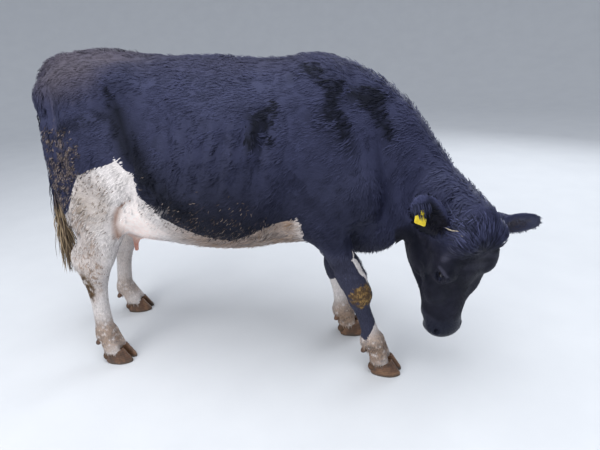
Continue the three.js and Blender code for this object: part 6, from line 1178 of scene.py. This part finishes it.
COAT_TRIS = 0
def locks(name, P, N, D, uv, color, length, width, thick, lift, rings=2, mat=None, slot="black_coat", pull=None, curl=0.0, turns=0.0, stiff=0.0, profile=None, floor=0.012, soft=0.45, tonal=1.0):
    """one joined mesh of n locks; lift is the tip's height over the skin, pull a free direction for hanging hair"""
    global COAT_TRIS
    n = len(P)
    if n == 0: return None
    full = lambda v: np.broadcast_to(np.asarray(v, float), (n,)).astype(float)
    length, width, thick, lift, curl, turns, stiff = map(full, (length, width, thick, lift, curl, turns, stiff))
    steps = rings; s_at = np.linspace(0, 1, steps + 1)
    if rings == 2: s_at = np.array([0, 0.48, 1.0])
    C = [P - N * 0.0007]; ND = [N]; DD = [D]; cur, d, nn = P.copy(), D.copy(), N.copy()
    phase = RNG.random(n) * 2 * math.pi; hand = np.where(RNG.random(n) < 0.5, -1.0, 1.0)
    for k in range(1, steps + 1):
        s0, s1 = s_at[k - 1], s_at[k]; step = (length * (s1 - s0))[:, None]
        if pull is None:
            cur = cur + d * step
            h = lift * (0.42 + 0.58 * s1) if rings == 2 else lift * s1 ** 0.8
            cur, nn = put_at_height(cur, h)
            d = unit(d - dots(d, nn)[:, None] * nn)
        else:
            w = np.clip(stiff, 0, 1)[:, None] * (1 - s1)
            d = unit(d * (0.55 + w) + pull * (0.45 - 0.3 * w))
            cur = cur + d * step; nn = unit(nn - dots(nn, d)[:, None] * d)
        q = cur
        if curl.any():
            a = phase + hand * turns * 2 * math.pi * s1; side = np.cross(d, nn)
            q = cur + (side * np.cos(a)[:, None] + nn * (np.sin(a) * 0.6 + (0.75 if pull is None else 0.0))[:, None]) * (curl * s1 ** 0.7)[:, None]
        C.append(q); ND.append(nn); DD.append(d)
    prof = np.array(profile if profile is not None else ([0.75, 1.0, 0.0] if rings == 2 else [0.55, 0.95, 1.0, 0.9, 0.7, 0.42, 0.0]))
    V = np.empty((n, steps * 3 + 1, 3))
    for k in range(steps):
        side = unit(np.cross(DD[k], ND[k])); w = (width * prof[k] / 2)[:, None]; t = (thick * (0.6 + 0.4 * prof[k]))[:, None]
        V[:, 3 * k] = C[k] - side * w; V[:, 3 * k + 1] = C[k] + ND[k] * t; V[:, 3 * k + 2] = C[k] + side * w
    V[:, -1] = C[-1]
    V[:, :, 2] = np.maximum(V[:, :, 2], floor)
    F = [(2, 1, 0)]
    for k in range(steps - 1):
        for j in range(3):
            a, b = 3 * k + j, 3 * k + (j + 1) % 3; F += [(a, b, b + 3), (a, b + 3, a + 3)]
    k = steps - 1
    for j in range(3): F.append((3 * k + j, 3 * k + (j + 1) % 3, 3 * steps))
    F = np.array(F); m = V.shape[1]
    T = (F[None] + (np.arange(n) * m)[:, None, None]).reshape(-1, 3)
    ob = piece_of(name, V.reshape(-1, 3), T, mat)
    # shaded as a rounded part of the coat it lies in
    VN = np.empty((n, m, 3))
    for k in range(steps):
        side = unit(np.cross(DD[k], ND[k])); VN[:, 3 * k] = unit(ND[k] - side * soft); VN[:, 3 * k + 1] = ND[k]; VN[:, 3 * k + 2] = unit(ND[k] + side * soft)
    VN[:, -1] = unit(ND[-1] + 0.15 * DD[-1])
    ob.data.normals_split_custom_set_from_vertices(VN.reshape(-1, 3).tolist())
    tone = 1 + tonal * (RNG.uniform(-0.20, 0.22, n) + 0.07 * RNG.standard_normal(n))
    grade = np.concatenate([np.repeat(np.interp(s_at[:-1], [0, 0.3, 1], [0.80, 0.97, 1.06]), 3), [1.10]])
    col = color[:, None, :] * tone[:, None, None] * grade[None, :, None]
    a = ob.data.attributes.new("tint", "FLOAT_COLOR", "POINT")
    a.data.foreach_set("color", np.concatenate([np.clip(col, 0, 1), np.ones((n, m, 1))], 2).astype(np.float32).ravel())
    # the lock's own small patch of the map, at its root's place
    loc = np.zeros((m, 2))
    for k in range(steps):
        y0 = -0.0015 + 0.003 * s_at[k]; wd = 0.0013 * max(prof[k], 0.25)
        loc[3 * k] = (-wd, y0); loc[3 * k + 1] = (0, y0 + 0.0001); loc[3 * k + 2] = (wd, y0)
    loc[-1] = (0, 0.0015)
    cuv = np.clip(uv, 0.0016, 0.9984)
    U = (cuv[:, None, None, :] + loc[F][None]).reshape(-1, 2)
    lay = ob.data.uv_layers.new(name="OFBake"); lay.uv.foreach_set("vector", U.astype(np.float32).ravel())
    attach(ob, "root"); COAT_TRIS += len(T)
    return ob

M_BLACK, M_WHITE = hair_material("hair_black", 0.02, 0.46, 0.13), hair_material("hair_white", 0.08, 0.60, 0.20)
M_LONG, M_TAN = hair_material("hair_long", 0.02, 0.42, 0.22), hair_material("hair_tan", 0.02, 0.60, 0.14)
def root_facts(P): return coat_facts(P)

# ---- short coat
x, y, z = MIDS.T; hd = in_head(MIDS); hc = head_coords(MIDS); TAILED = on_tail(MIDS) * smooth(-0.765, -0.780, x)
leg = smooth(0.66, 0.56, z) * (1 - hd) * ~((z > 0.5) & (np.abs(x) < 0.36)) * (TAILED < 0.5)
dens = mix(np.full(len(MIDS), 13500.0), 24000.0, leg); dens = np.where(hd, 36000.0, dens)
eyed = np.min([np.linalg.norm(MIDS - e["c"], axis=1) for e in EYES], 0)
earr = np.zeros(len(MIDS), bool); EARED = on_ear(MIDS)
for e in EARS:
    t, r = ear_param(MIDS, e); w = (t > 0.08) & (r < 0.08) & (EARED > 0.5); earr |= w
    inner = w & ((MIDN @ e["open"]) > 0.25) & (t > 0.1) & (t < 0.80); dens = np.where(inner, 5000.0, dens)
dens = dens * (1 - np.clip(TF["bare"] * 1.3, 0, 1)) * (1 - np.clip(TF["muzzle"] * 1.6, 0, 1)) * (1 - TF["lid"]) * (1 - TF["heel"]) * smooth(0.045, 0.060, z)
dens = np.where((hc[:, 2] < -0.10) & hd & (hc[:, 0] > 0.43), 0, dens)
dens *= (x > -0.95) & (eyed > 0.0265)
pick, bary = scatter(dens); P, N, uv = root_points(pick, bary)
D = turned(lie(P, N), N, 0.20 * RNG.standard_normal(len(P)))
x, y, z = P.T; hd = in_head(P); h = head_coords(P); dp = coat_depth(P)
tailed = smooth(-0.770, -0.785, x) * on_tail(P); leg = smooth(0.66, 0.56, z) * (1 - hd) * ~((z > 0.5) & (np.abs(x) < 0.36)) * (tailed < 0.5)
length = mix(np.full(len(P), 0.027), 0.0145, leg); width = mix(np.full(len(P), 0.0034), 0.0030, leg); thick = np.full(len(P), 0.0007)
face = smooth(0.0, 0.12, h[:, 0]); fl = mix(np.full(len(P), 0.0150), 0.0085, face); fl = mix(fl, 0.0050, smooth(0.36, 0.44, h[:, 0]))
length = np.where(hd, fl, length); width = np.where(hd, mix(np.full(len(P), 0.0028), 0.0020, face), width); thick = np.where(hd, 0.0007, thick)
eyed = np.min([np.linalg.norm(P - e["c"], axis=1) for e in EYES], 0); length = length * mix(0.55, 1.0, smooth(0.03, 0.06, eyed))
ragged = np.clip(0.5 + 0.9 * noise(P, 0.10, 71) + 0.5 * noise(P, 0.035, 73), 0, 1)
length *= RNG.uniform(0.70, 1.30, len(P)) * mix(0.85, 1.15, ragged)
# each lock is coloured for the place its middle covers
MID = P + D * (length * 0.5)[:, None]; F = root_facts(MID); white = F["white"] + 0.0015 * RNG.standard_normal(len(P)) > 0
a_, b_ = paints(F, MID, 3); color = np.where(white[:, None], b_, a_)
dirty = RNG.random(len(P)) < 0.36 * F["strokes"] * smooth(-0.25, 0.35, noise(MID, 0.03, 95) + 0.5 * noise(MID, 0.08, 97) + 0.15); color = np.where(dirty[:, None], vec(0.250, 0.200, 0.160) * RNG.uniform(0.40, 1.25, (len(P), 1)), color); length = np.where(dirty, length * 0.62, length); width = np.where(dirty, width * 0.85, width)
chaff = RNG.random(len(P)) < 0.35 * F["chaff"]; color = np.where(chaff[:, None], vec(0.42, 0.36, 0.26), color)
edge = smooth(0.026, 0.006, np.abs(F["white"])); length *= 1 - 0.42 * edge
stand = np.full(len(P), 0.42); stand = np.maximum(stand, 0.85 * smooth(0.45, 0.8, N[:, 2]) * smooth(0.9, 1.1, z)); stand = np.maximum(stand, 0.8 * F["curls"]); stand = np.maximum(stand, 0.7 * leg); stand = np.where(hd, 0.75, stand)
stand = np.maximum(stand, 0.8 * smooth(0.66, 0.80, x) * (N[:, 2] > 0.2)); stand = mix(stand, 0.35, edge)
lift = dp * RNG.uniform(0.18, 0.85, len(P)) * mix(0.8, 1.15, ragged) * stand
under = smooth(-0.3, -0.8, N[:, 2]) * (z > 0.52) * ~hd; length *= 1 + 0.35 * under; lift *= 1 + 0.5 * under
length = mix(length, 0.032, tailed); lift = mix(lift, 0.004, tailed)
low = smooth(0.14, 0.07, z); length *= 1 - 0.35 * low; lift = mix(lift, np.minimum(lift, 0.0012), low)
region = np.select([hd, tailed > 0.5, (leg > 0.5) & (x < 0), (leg > 0.5), x > 0.66, x > 0.12, x > -0.36], [0, 1, 2, 3, 4, 5, 6], 7)
REGIONS = ("head", "tail", "hind_legs", "fore_legs", "neck", "chest", "belly", "rump")
LIMIT = 19500
for r, rn in enumerate(REGIONS):
    for wv, wn, mat, slot in ((False, "black", M_BLACK, "black_coat"), (True, "white", M_WHITE, "white_coat")):
        idx = np.flatnonzero((region == r) & (white == wv))
        if not len(idx): continue
        parts = int(math.ceil(len(idx) / LIMIT)); order = idx[np.argsort(P[idx, 1], kind="stable")]
        for c, j in enumerate(np.array_split(order, parts)):
            locks(f"coat_{rn}_{wn}" + (f"_{c + 1}" if parts > 1 else ""), P[j], N[j], D[j], uv[j], color[j], length[j], width[j], thick[j], lift[j], 2, mat, slot, tonal=0.75)
say("short coat", len(P), COAT_TRIS)

# ---- long locks
x, y, z = MIDS.T; hd = in_head(MIDS); QF = 1.0
def sow(density):
    pick, bary = scatter(density * QF); P, N, uv = root_points(pick, bary)
    return P, N, uv, root_facts(P)
def colour_of(F, P, seed=5):
    white = F["white"] + 0.004 * RNG.standard_normal(len(P)) > 0
    a_, b_ = paints(F, P, seed); return np.where(white[:, None], b_, a_)
down = vec(0, 0, -1)

# tail switch: hanging, loosely curled locks, mostly tan
P, N, uv, F = sow(3600.0 * smooth(-0.772, -0.790, x) * TAILED * smooth(0.97, 0.86, z) * (1 + 1.6 * smooth(0.84, 0.72, z)))
D = unit(lie(P, N) + N * 0.30 + 0.18 * RNG.standard_normal(P.shape)); n = len(P)
ln = np.minimum(RNG.uniform(0.10, 0.21, n) * mix(0.55, 1.0, smooth(0.95, 0.78, P[:, 2])), P[:, 2] - 0.375)
streak = noise(np.stack([P[:, 0] * 3, P[:, 1] * 3, P[:, 2] * 0.6], 1), 0.035, 81) * 0.8 + 0.45 * RNG.standard_normal(n)
c = mix(np.broadcast_to(SWITCH, (n, 3)), np.broadcast_to(vec(0.070, 0.048, 0.034), (n, 3)), (smooth(-0.1, 0.30, streak) * 0.9).clip(0, 1)[:, None]); c = mix(c, np.broadcast_to(BLACK_COAT * 0.7, (n, 3)), smooth(0.74, 0.86, P[:, 2] + 0.03 * RNG.standard_normal(n))[:, None])
locks("hair_switch", P, N, D, uv, c, ln, 0.0058, 0.0020, 0.0, 6, M_TAN, "white_coat", pull=unit(down + N * 0.10 + vec(0.03, -0.03, 0) + 0.09 * RNG.standard_normal(P.shape)), curl=0.0055, turns=RNG.uniform(0.4, 1.4, n), stiff=0.3, soft=0.8)

# poll: the forelock, swirling from its parting
hc = head_coords(MIDS); fr = (MIDN @ HEAD[2])
poll = smooth(0.115, 0.06, hc[:, 0]) * smooth(-0.07, -0.02, hc[:, 0]) * smooth(0.0, 0.35, fr + 0.3 * smooth(0.06, 0.0, hc[:, 0])) * smooth(0.095, 0.075, np.abs(hc[:, 1])) * hd
P, N, uv, F = sow(15000.0 * poll); n = len(P); D = turned(lie(P, N), N, 0.22 * RNG.standard_normal(n))
# the forelock's locks are painted in lighter and darker streaks: partly random tone, partly painted highlights along
# its swirl
band = 0.9 * noise(P, 0.020, 91) + 0.6 * RNG.standard_normal(n); c = colour_of(F, P) * (1.05 + 0.75 * np.clip(band, -1, 1))[:, None]; hay = RNG.random(n) < 0.13 * F["chaff"]; c = np.where(hay[:, None], vec(0.42, 0.36, 0.26), c)
locks("hair_forelock", P, N, D, uv, c, RNG.uniform(0.032, 0.060, n), 0.0042, 0.0016, RNG.uniform(0.0030, 0.0090, n), 6, M_LONG, curl=0.0018, turns=RNG.uniform(0.1, 0.5, n), tonal=1.4)

# crest of the neck and withers, ragged; tufts standing on the back and tail head
P, N, uv, F = sow(6000.0 * smooth(0.60, 0.72, x) * smooth(0.62, 0.88, MIDN[:, 2] + 0.25 * smooth(0.9, 1.0, x)) * (z > 0.78) * ~hd * (MIDN[:, 2] > 0.2)); n = len(P)
D = turned(lie(P, N), N, 0.25 * RNG.standard_normal(n)); rag = np.clip(0.5 + 0.8 * noise(P, 0.05, 83), 0, 1)
locks("hair_crest", P, N, D, uv, colour_of(F, P), RNG.uniform(0.026, 0.042, n), 0.0038, 0.0013, RNG.uniform(0.0025, 0.0050, n) + 0.0065 * rag, 6, M_LONG, curl=0.0012, turns=0.4)
tuft = np.zeros(len(MIDS))
for c0, r0 in (((0.185, 0.0, 1.372), (0.060, 0.060, 0.05)), ((0.36, 0.0, 1.355), (0.05, 0.045, 0.05)), ((-0.66, 0.0, 1.39), (0.09, 0.07, 0.06)), ((-0.42, 0.0, 1.42), (0.12, 0.04, 0.05)), ((0.02, 0.0, 1.38), (0.10, 0.035, 0.05))):
    tuft = np.maximum(tuft, blob(MIDS, c0, r0, 0.4))
P, N, uv, F = sow(6500.0 * tuft); n = len(P); rag = np.clip(0.4 + 0.9 * noise(P, 0.03, 85), 0, 1)
locks("hair_back", P, N, turned(lie(P, N), N, 0.45 * RNG.standard_normal(n)), uv, colour_of(F, P), RNG.uniform(0.018, 0.032, n), 0.0034, 0.0012, RNG.uniform(0.002, 0.004, n) + 0.0060 * rag, 6, M_LONG, curl=0.0012, turns=0.4)

# brisket and belly fringes, hanging
P, N, uv, F = sow(5200.0 * (smooth(0.50, 0.60, x) * smooth(0.96, 0.86, x) * smooth(0.10, -0.35, MIDN[:, 2]) * smooth(0.74, 0.66, z) * (z > 0.52) * (np.abs(y) < 0.14) * ~hd)); n = len(P)
locks("hair_brisket", P, N, unit(lie(P, N) + 0.25 * N + 0.12 * RNG.standard_normal(P.shape)), uv, colour_of(F, P), RNG.uniform(0.024, 0.044, n), 0.0036, 0.0013, 0.0, 6, M_LONG, pull=unit(lie(P, N) * 0.8 + down * 0.6), curl=0.0016, turns=0.5)
P, N, uv, F = sow(2600.0 * smooth(-0.35, -0.75, MIDN[:, 2]) * (z > 0.54) * (z < 0.68) * smooth(-0.24, -0.14, x) * smooth(0.50, 0.40, x)); n = len(P)
locks("hair_belly", P, N, unit(lie(P, N) + 0.15 * N + 0.2 * RNG.standard_normal(P.shape)), uv, colour_of(F, P), RNG.uniform(0.022, 0.038, n), 0.0036, 0.0012, 0.0, 6, M_LONG, "white_coat", pull=unit(lie(P, N) + down * 0.28), curl=0.0014, turns=0.5)

# clotted curls on the buttock and the back of the thigh
P, N, uv, F = sow(30000.0 * TF["curls"] * (1 - 0.75 * smooth(-0.002, 0.008, TF["white"])) + 9000.0 * TF["fleck"]); n = len(P); br = RNG.random(n)
c = np.where((br < 0.33)[:, None], vec(0.215, 0.172, 0.150), np.where((br < 0.62)[:, None], vec(0.088, 0.066, 0.054), vec(0.013, 0.013, 0.018))) * (RNG.uniform(0.7, 1.25, n) * (1 - 0.60 * F["fleck"]))[:, None]
keep_ = noise(P, 0.020, 87) + 0.6 * noise(P, 0.05, 89) > -0.25
P, N, uv, c = P[keep_], N[keep_], uv[keep_], c[keep_]; n = len(P)
locks("hair_curls", P, N, turned(lie(P, N), N, 0.5 * RNG.standard_normal(n)), uv, c, RNG.uniform(0.007, 0.014, n) * (1 - 0.35 * F["fleck"][keep_]), 0.0026, 0.0010, RNG.uniform(0.0020, 0.0050, n), 6, M_TAN, "white_coat", curl=RNG.uniform(0.0014, 0.0028, n), turns=RNG.uniform(0.5, 1.2, n), soft=0.7)

# ears: rims and the hair inside
for e, en in zip(EARS, ("right", "left")):
    t, r = ear_param(MIDS, e); V = MIDS - e["root"]; ac = V @ e["across"]; op = V @ e["open"]
    onear = (t > 0.06) & (t < 1.06) & (r < 0.075) & (EARED > 0.5); width_at = 0.055 * np.sqrt(np.clip(1 - ((t - 0.5) / 0.52) ** 2, 0.03, 1))
    rim = onear * smooth(0.70, 0.92, np.abs(ac) / width_at)
    rim = np.maximum(rim, onear * smooth(0.86, 0.94, t))
    P, N, uv, F = sow(20000.0 * rim); n = len(P); V = P - e["root"]; ac = V @ e["across"]
    side = e["across"] * np.sign(ac)[:, None]; D = unit(e["dir"] * 0.75 + side * 0.55 + 0.18 * RNG.standard_normal(P.shape))
    locks(f"hair_ear_rim_{en}", P, N, D, uv, colour_of(F, P), RNG.uniform(0.009, 0.018, n), 0.0022, 0.0008, 0.0, 6, M_LONG, pull=unit(e["dir"] * 0.9 + side * 0.25 + 0.35 * down), curl=0.0008, turns=0.4)
    inside = onear * smooth(0.10, 0.35, MIDN @ e["open"]) * smooth(0.70, 0.45, t) * (np.abs(ac if len(ac) == len(MIDS) else (MIDS - e["root"]) @ e["across"]) < 0.045)
    P, N, uv, F = sow(11000.0 * inside); n = len(P); V = P - e["root"]; ac = V @ e["across"]
    D = unit(e["dir"] * 0.6 + e["open"] * 0.55 - e["across"] * (ac / 0.05)[:, None] * 0.5 + 0.25 * RNG.standard_normal(P.shape))
    # the near ear's inner hair is painted near black, as painted shade in its hollow; the far ear's is a lighter tan
    c = mix(colour_of(F, P) * 1.2, np.broadcast_to(vec(0.060, 0.045, 0.038), (n, 3)), 0.55) if en == "left" else np.broadcast_to(vec(0.012, 0.011, 0.014), (n, 3)).copy()
    locks(f"hair_ear_inside_{en}", P, N, D, uv, c, RNG.uniform(0.014, 0.028, n), 0.0022, 0.0008, 0.0, 6, M_LONG, pull=unit(e["dir"] * 0.7 - e["across"] * np.sign(ac)[:, None] * 0.5 + 0.2 * down), curl=0.0012, turns=0.6)

# the fringe of the near ear's tip hangs over the head of the tag
P, N, uv, F = sow(26000.0 * blob(MIDS, (0.893, -0.338, 0.872), (0.032, 0.034, 0.022), 0.35) * (EARED > 0.5)); n = len(P)
D = unit(np.broadcast_to(EAR_R["open"] * 0.8 + down * 0.5, P.shape) + 0.12 * RNG.standard_normal(P.shape))
locks("hair_ear_fringe", P, N, D, uv, np.tile(BLACK_COAT * 0.8, (n, 1)), RNG.uniform(0.026, 0.040, n), 0.0034, 0.0012, 0.0, 6, M_LONG, pull=unit(down + EAR_R["open"] * 0.25 + vec(0.10, -0.05, 0)), curl=0.0008, turns=0.3)

# back of the fetlocks
fet = np.zeros(len(MIDS)); back = np.zeros((len(MIDS), 3))
for f in FEET:
    c0 = np.array(f["set"]["fetlock"]) - f["fwd"] * 0.030; w = blob(MIDS, c0 + vec(0, 0, -0.015), (0.050, 0.045, 0.050), 0.3) * smooth(0.1, 0.6, -(MIDN @ f["fwd"]))
    fet = np.maximum(fet, w)
for f in FEET:                           # and a fringe all round the coronet
    fet = np.maximum(fet, 1.3 * blob(MIDS, np.array(f["mid"]) + vec(0, 0, 0.066), (0.080, 0.050, 0.018), 0.35) * (MIDS[:, 2] > 0.046))
P, N, uv, F = sow(9000.0 * fet); n = len(P)
locks("hair_fetlocks", P, N, unit(lie(P, N) + 0.22 * N + 0.15 * RNG.standard_normal(P.shape)), uv, colour_of(F, P), RNG.uniform(0.012, 0.024, n), 0.0030, 0.0010, 0.0, 6, M_LONG, "white_coat", pull=np.broadcast_to(down, P.shape), curl=0.001, turns=0.4)

# lashes on the upper lids
LP, LN, LD = [], [], []
for e in EYES:
    s, c0 = e["s"], e["c"]; A, S, H2 = HEAD[0], HEAD[1] * s, HEAD[2]
    for t in np.radians(np.linspace(22, 158, 22)):
        u, v = 0.0200 * math.cos(t), 0.0118 * math.sin(t); w = math.sqrt((EYE_RADIUS + 0.0015) ** 2 - u * u - v * v)
        LP.append(c0 + A * u + H2 * v + S * (w + 0.0010)); LN.append(H2); LD.append(unit(S * 0.85 + A * (0.30 + 0.25 * math.cos(t)) - H2 * 0.15))
LP, LN, LD = map(np.array, (LP, LN, LD)); i = nearest(LP); first = np.full(len(SKIN_V), 0); first[SKIN_T.ravel()] = np.arange(SKIN_T.size) // 3
luv = UVS[first[i]].mean(1); LN = unit(LN - dots(LN, LD)[:, None] * LD)
locks("hair_lashes", LP, LN, LD, luv, np.tile(BLACK_COAT * 0.9, (len(LP), 1)), RNG.uniform(0.009, 0.014, len(LP)), 0.0009, 0.0006, 0.0, 6, M_LONG, pull=unit(LD * 0.9 + HEAD[0] * 0.35 + down * 0.35))
say("long hair", COAT_TRIS)

# ------------------------------------------------- floor, light, camera
def stage():
    fl = Nodes("floor_pale"); n = fl.noise(3.0, 5.0, fl.coords()); g = fl.noise(120, 4.0, fl.coords())
    fl.set(Base_Color=fl.mixc(n, (0.50, 0.51, 0.53), (0.56, 0.57, 0.585)), Roughness=0.9, Specular_IOR_Level=0.2, Normal=fl.bump(g, 0.0006, 0.4))
    # the floor rises far off in one wide curve all round, as a studio's cove does
    prof = [(0.4, 0.0), (2.0, 0.0), (5.0, 0.0), (9.0, 0.0)] + [(9.0 + 7.4 * math.sin(t), 7.4 - 7.4 * math.cos(t)) for t in np.linspace(0, math.radians(75), 25)[1:]]
    m = 96; V, T = [(0.0, 0.0, 0.0)], []
    for r_, h_ in prof:
        for k in range(m): V.append((r_ * math.cos(2 * math.pi * k / m), r_ * math.sin(2 * math.pi * k / m), h_))
    for k in range(m): T.append((0, 1 + k, 1 + (k + 1) % m))
    for q in range(len(prof) - 1):
        for k in range(m): a, b = 1 + q * m + k, 1 + q * m + (k + 1) % m; T += [(a, a + m, b + m), (a, b + m, b)]
    ob = piece_of("floor", np.array(V), np.array(T), fl.m, False, False); ob.location.z = -0.0005; ob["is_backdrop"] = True
    w = bpy.data.worlds.new("studio"); bpy.context.scene.world = w; w.use_nodes = True
    bg = w.node_tree.nodes["Background"]; bg.inputs["Color"].default_value = (0.84, 0.90, 1.0, 1); bg.inputs["Strength"].default_value = 0.70
    def area(name, loc, at, size, power, color):
        l = bpy.data.lights.new(name, "AREA"); l.shape = "RECTANGLE"; l.size, l.size_y = size; l.energy = power; l.color = color
        o = bpy.data.objects.new(name, l); bpy.context.scene.collection.objects.link(o)
        from mathutils import Vector
        o.location = loc; o.rotation_euler = (Vector(at) - Vector(loc)).to_track_quat("-Z", "Y").to_euler()
    area("sky_panel", (0.2, -1.2, 5.2), (0, 0, 0.9), (5.5, 4.5), 330, (0.95, 0.97, 1.0))
    area("front_panel", (-2.2, -4.6, 2.6), (0, 0, 0.8), (3.5, 2.6), 150, (1.0, 0.99, 0.97))
    area("back_panel", (2.4, 4.2, 3.0), (0, 0, 0.9), (3.5, 2.6), 110, (0.92, 0.96, 1.0))
    from mathutils import Matrix, Vector
    pitch, roll, yaw = map(math.radians, (21.4, 3.3, 15.3)); place = vec(0.87, -1.80, 1.385)
    fwd = vec(0, math.cos(pitch), -math.sin(pitch)); r0 = vec(1, 0, 0); d0 = np.cross(fwd, r0)
    r = math.cos(roll) * r0 + math.sin(roll) * d0; d = -math.sin(roll) * r0 + math.cos(roll) * d0
    c, s = math.cos(yaw), math.sin(yaw); M = np.array([[c, -s, 0], [s, c, 0], [0, 0, 1]])
    R, D, F = M @ r, M @ d, M @ fwd
    cam = bpy.data.cameras.new("camera"); cam.sensor_width = 36; cam.lens = 447.0 / 600 * 36; cam.clip_start = 0.02; cam.clip_end = 200
    ob = bpy.data.objects.new("camera", cam); bpy.context.scene.collection.objects.link(ob)
    M4 = Matrix.Identity(4)
    for i in range(3): M4[i][0], M4[i][1], M4[i][2], M4[i][3] = R[i], -D[i], -F[i], place[i] + SHIFT[i]
    ob.matrix_world = M4; bpy.context.scene.camera = ob
    bpy.context.scene.view_settings.view_transform = "Standard"
stage()

box = [[float(v) for v in p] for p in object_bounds()]
say("size", CAD_BOX, box)
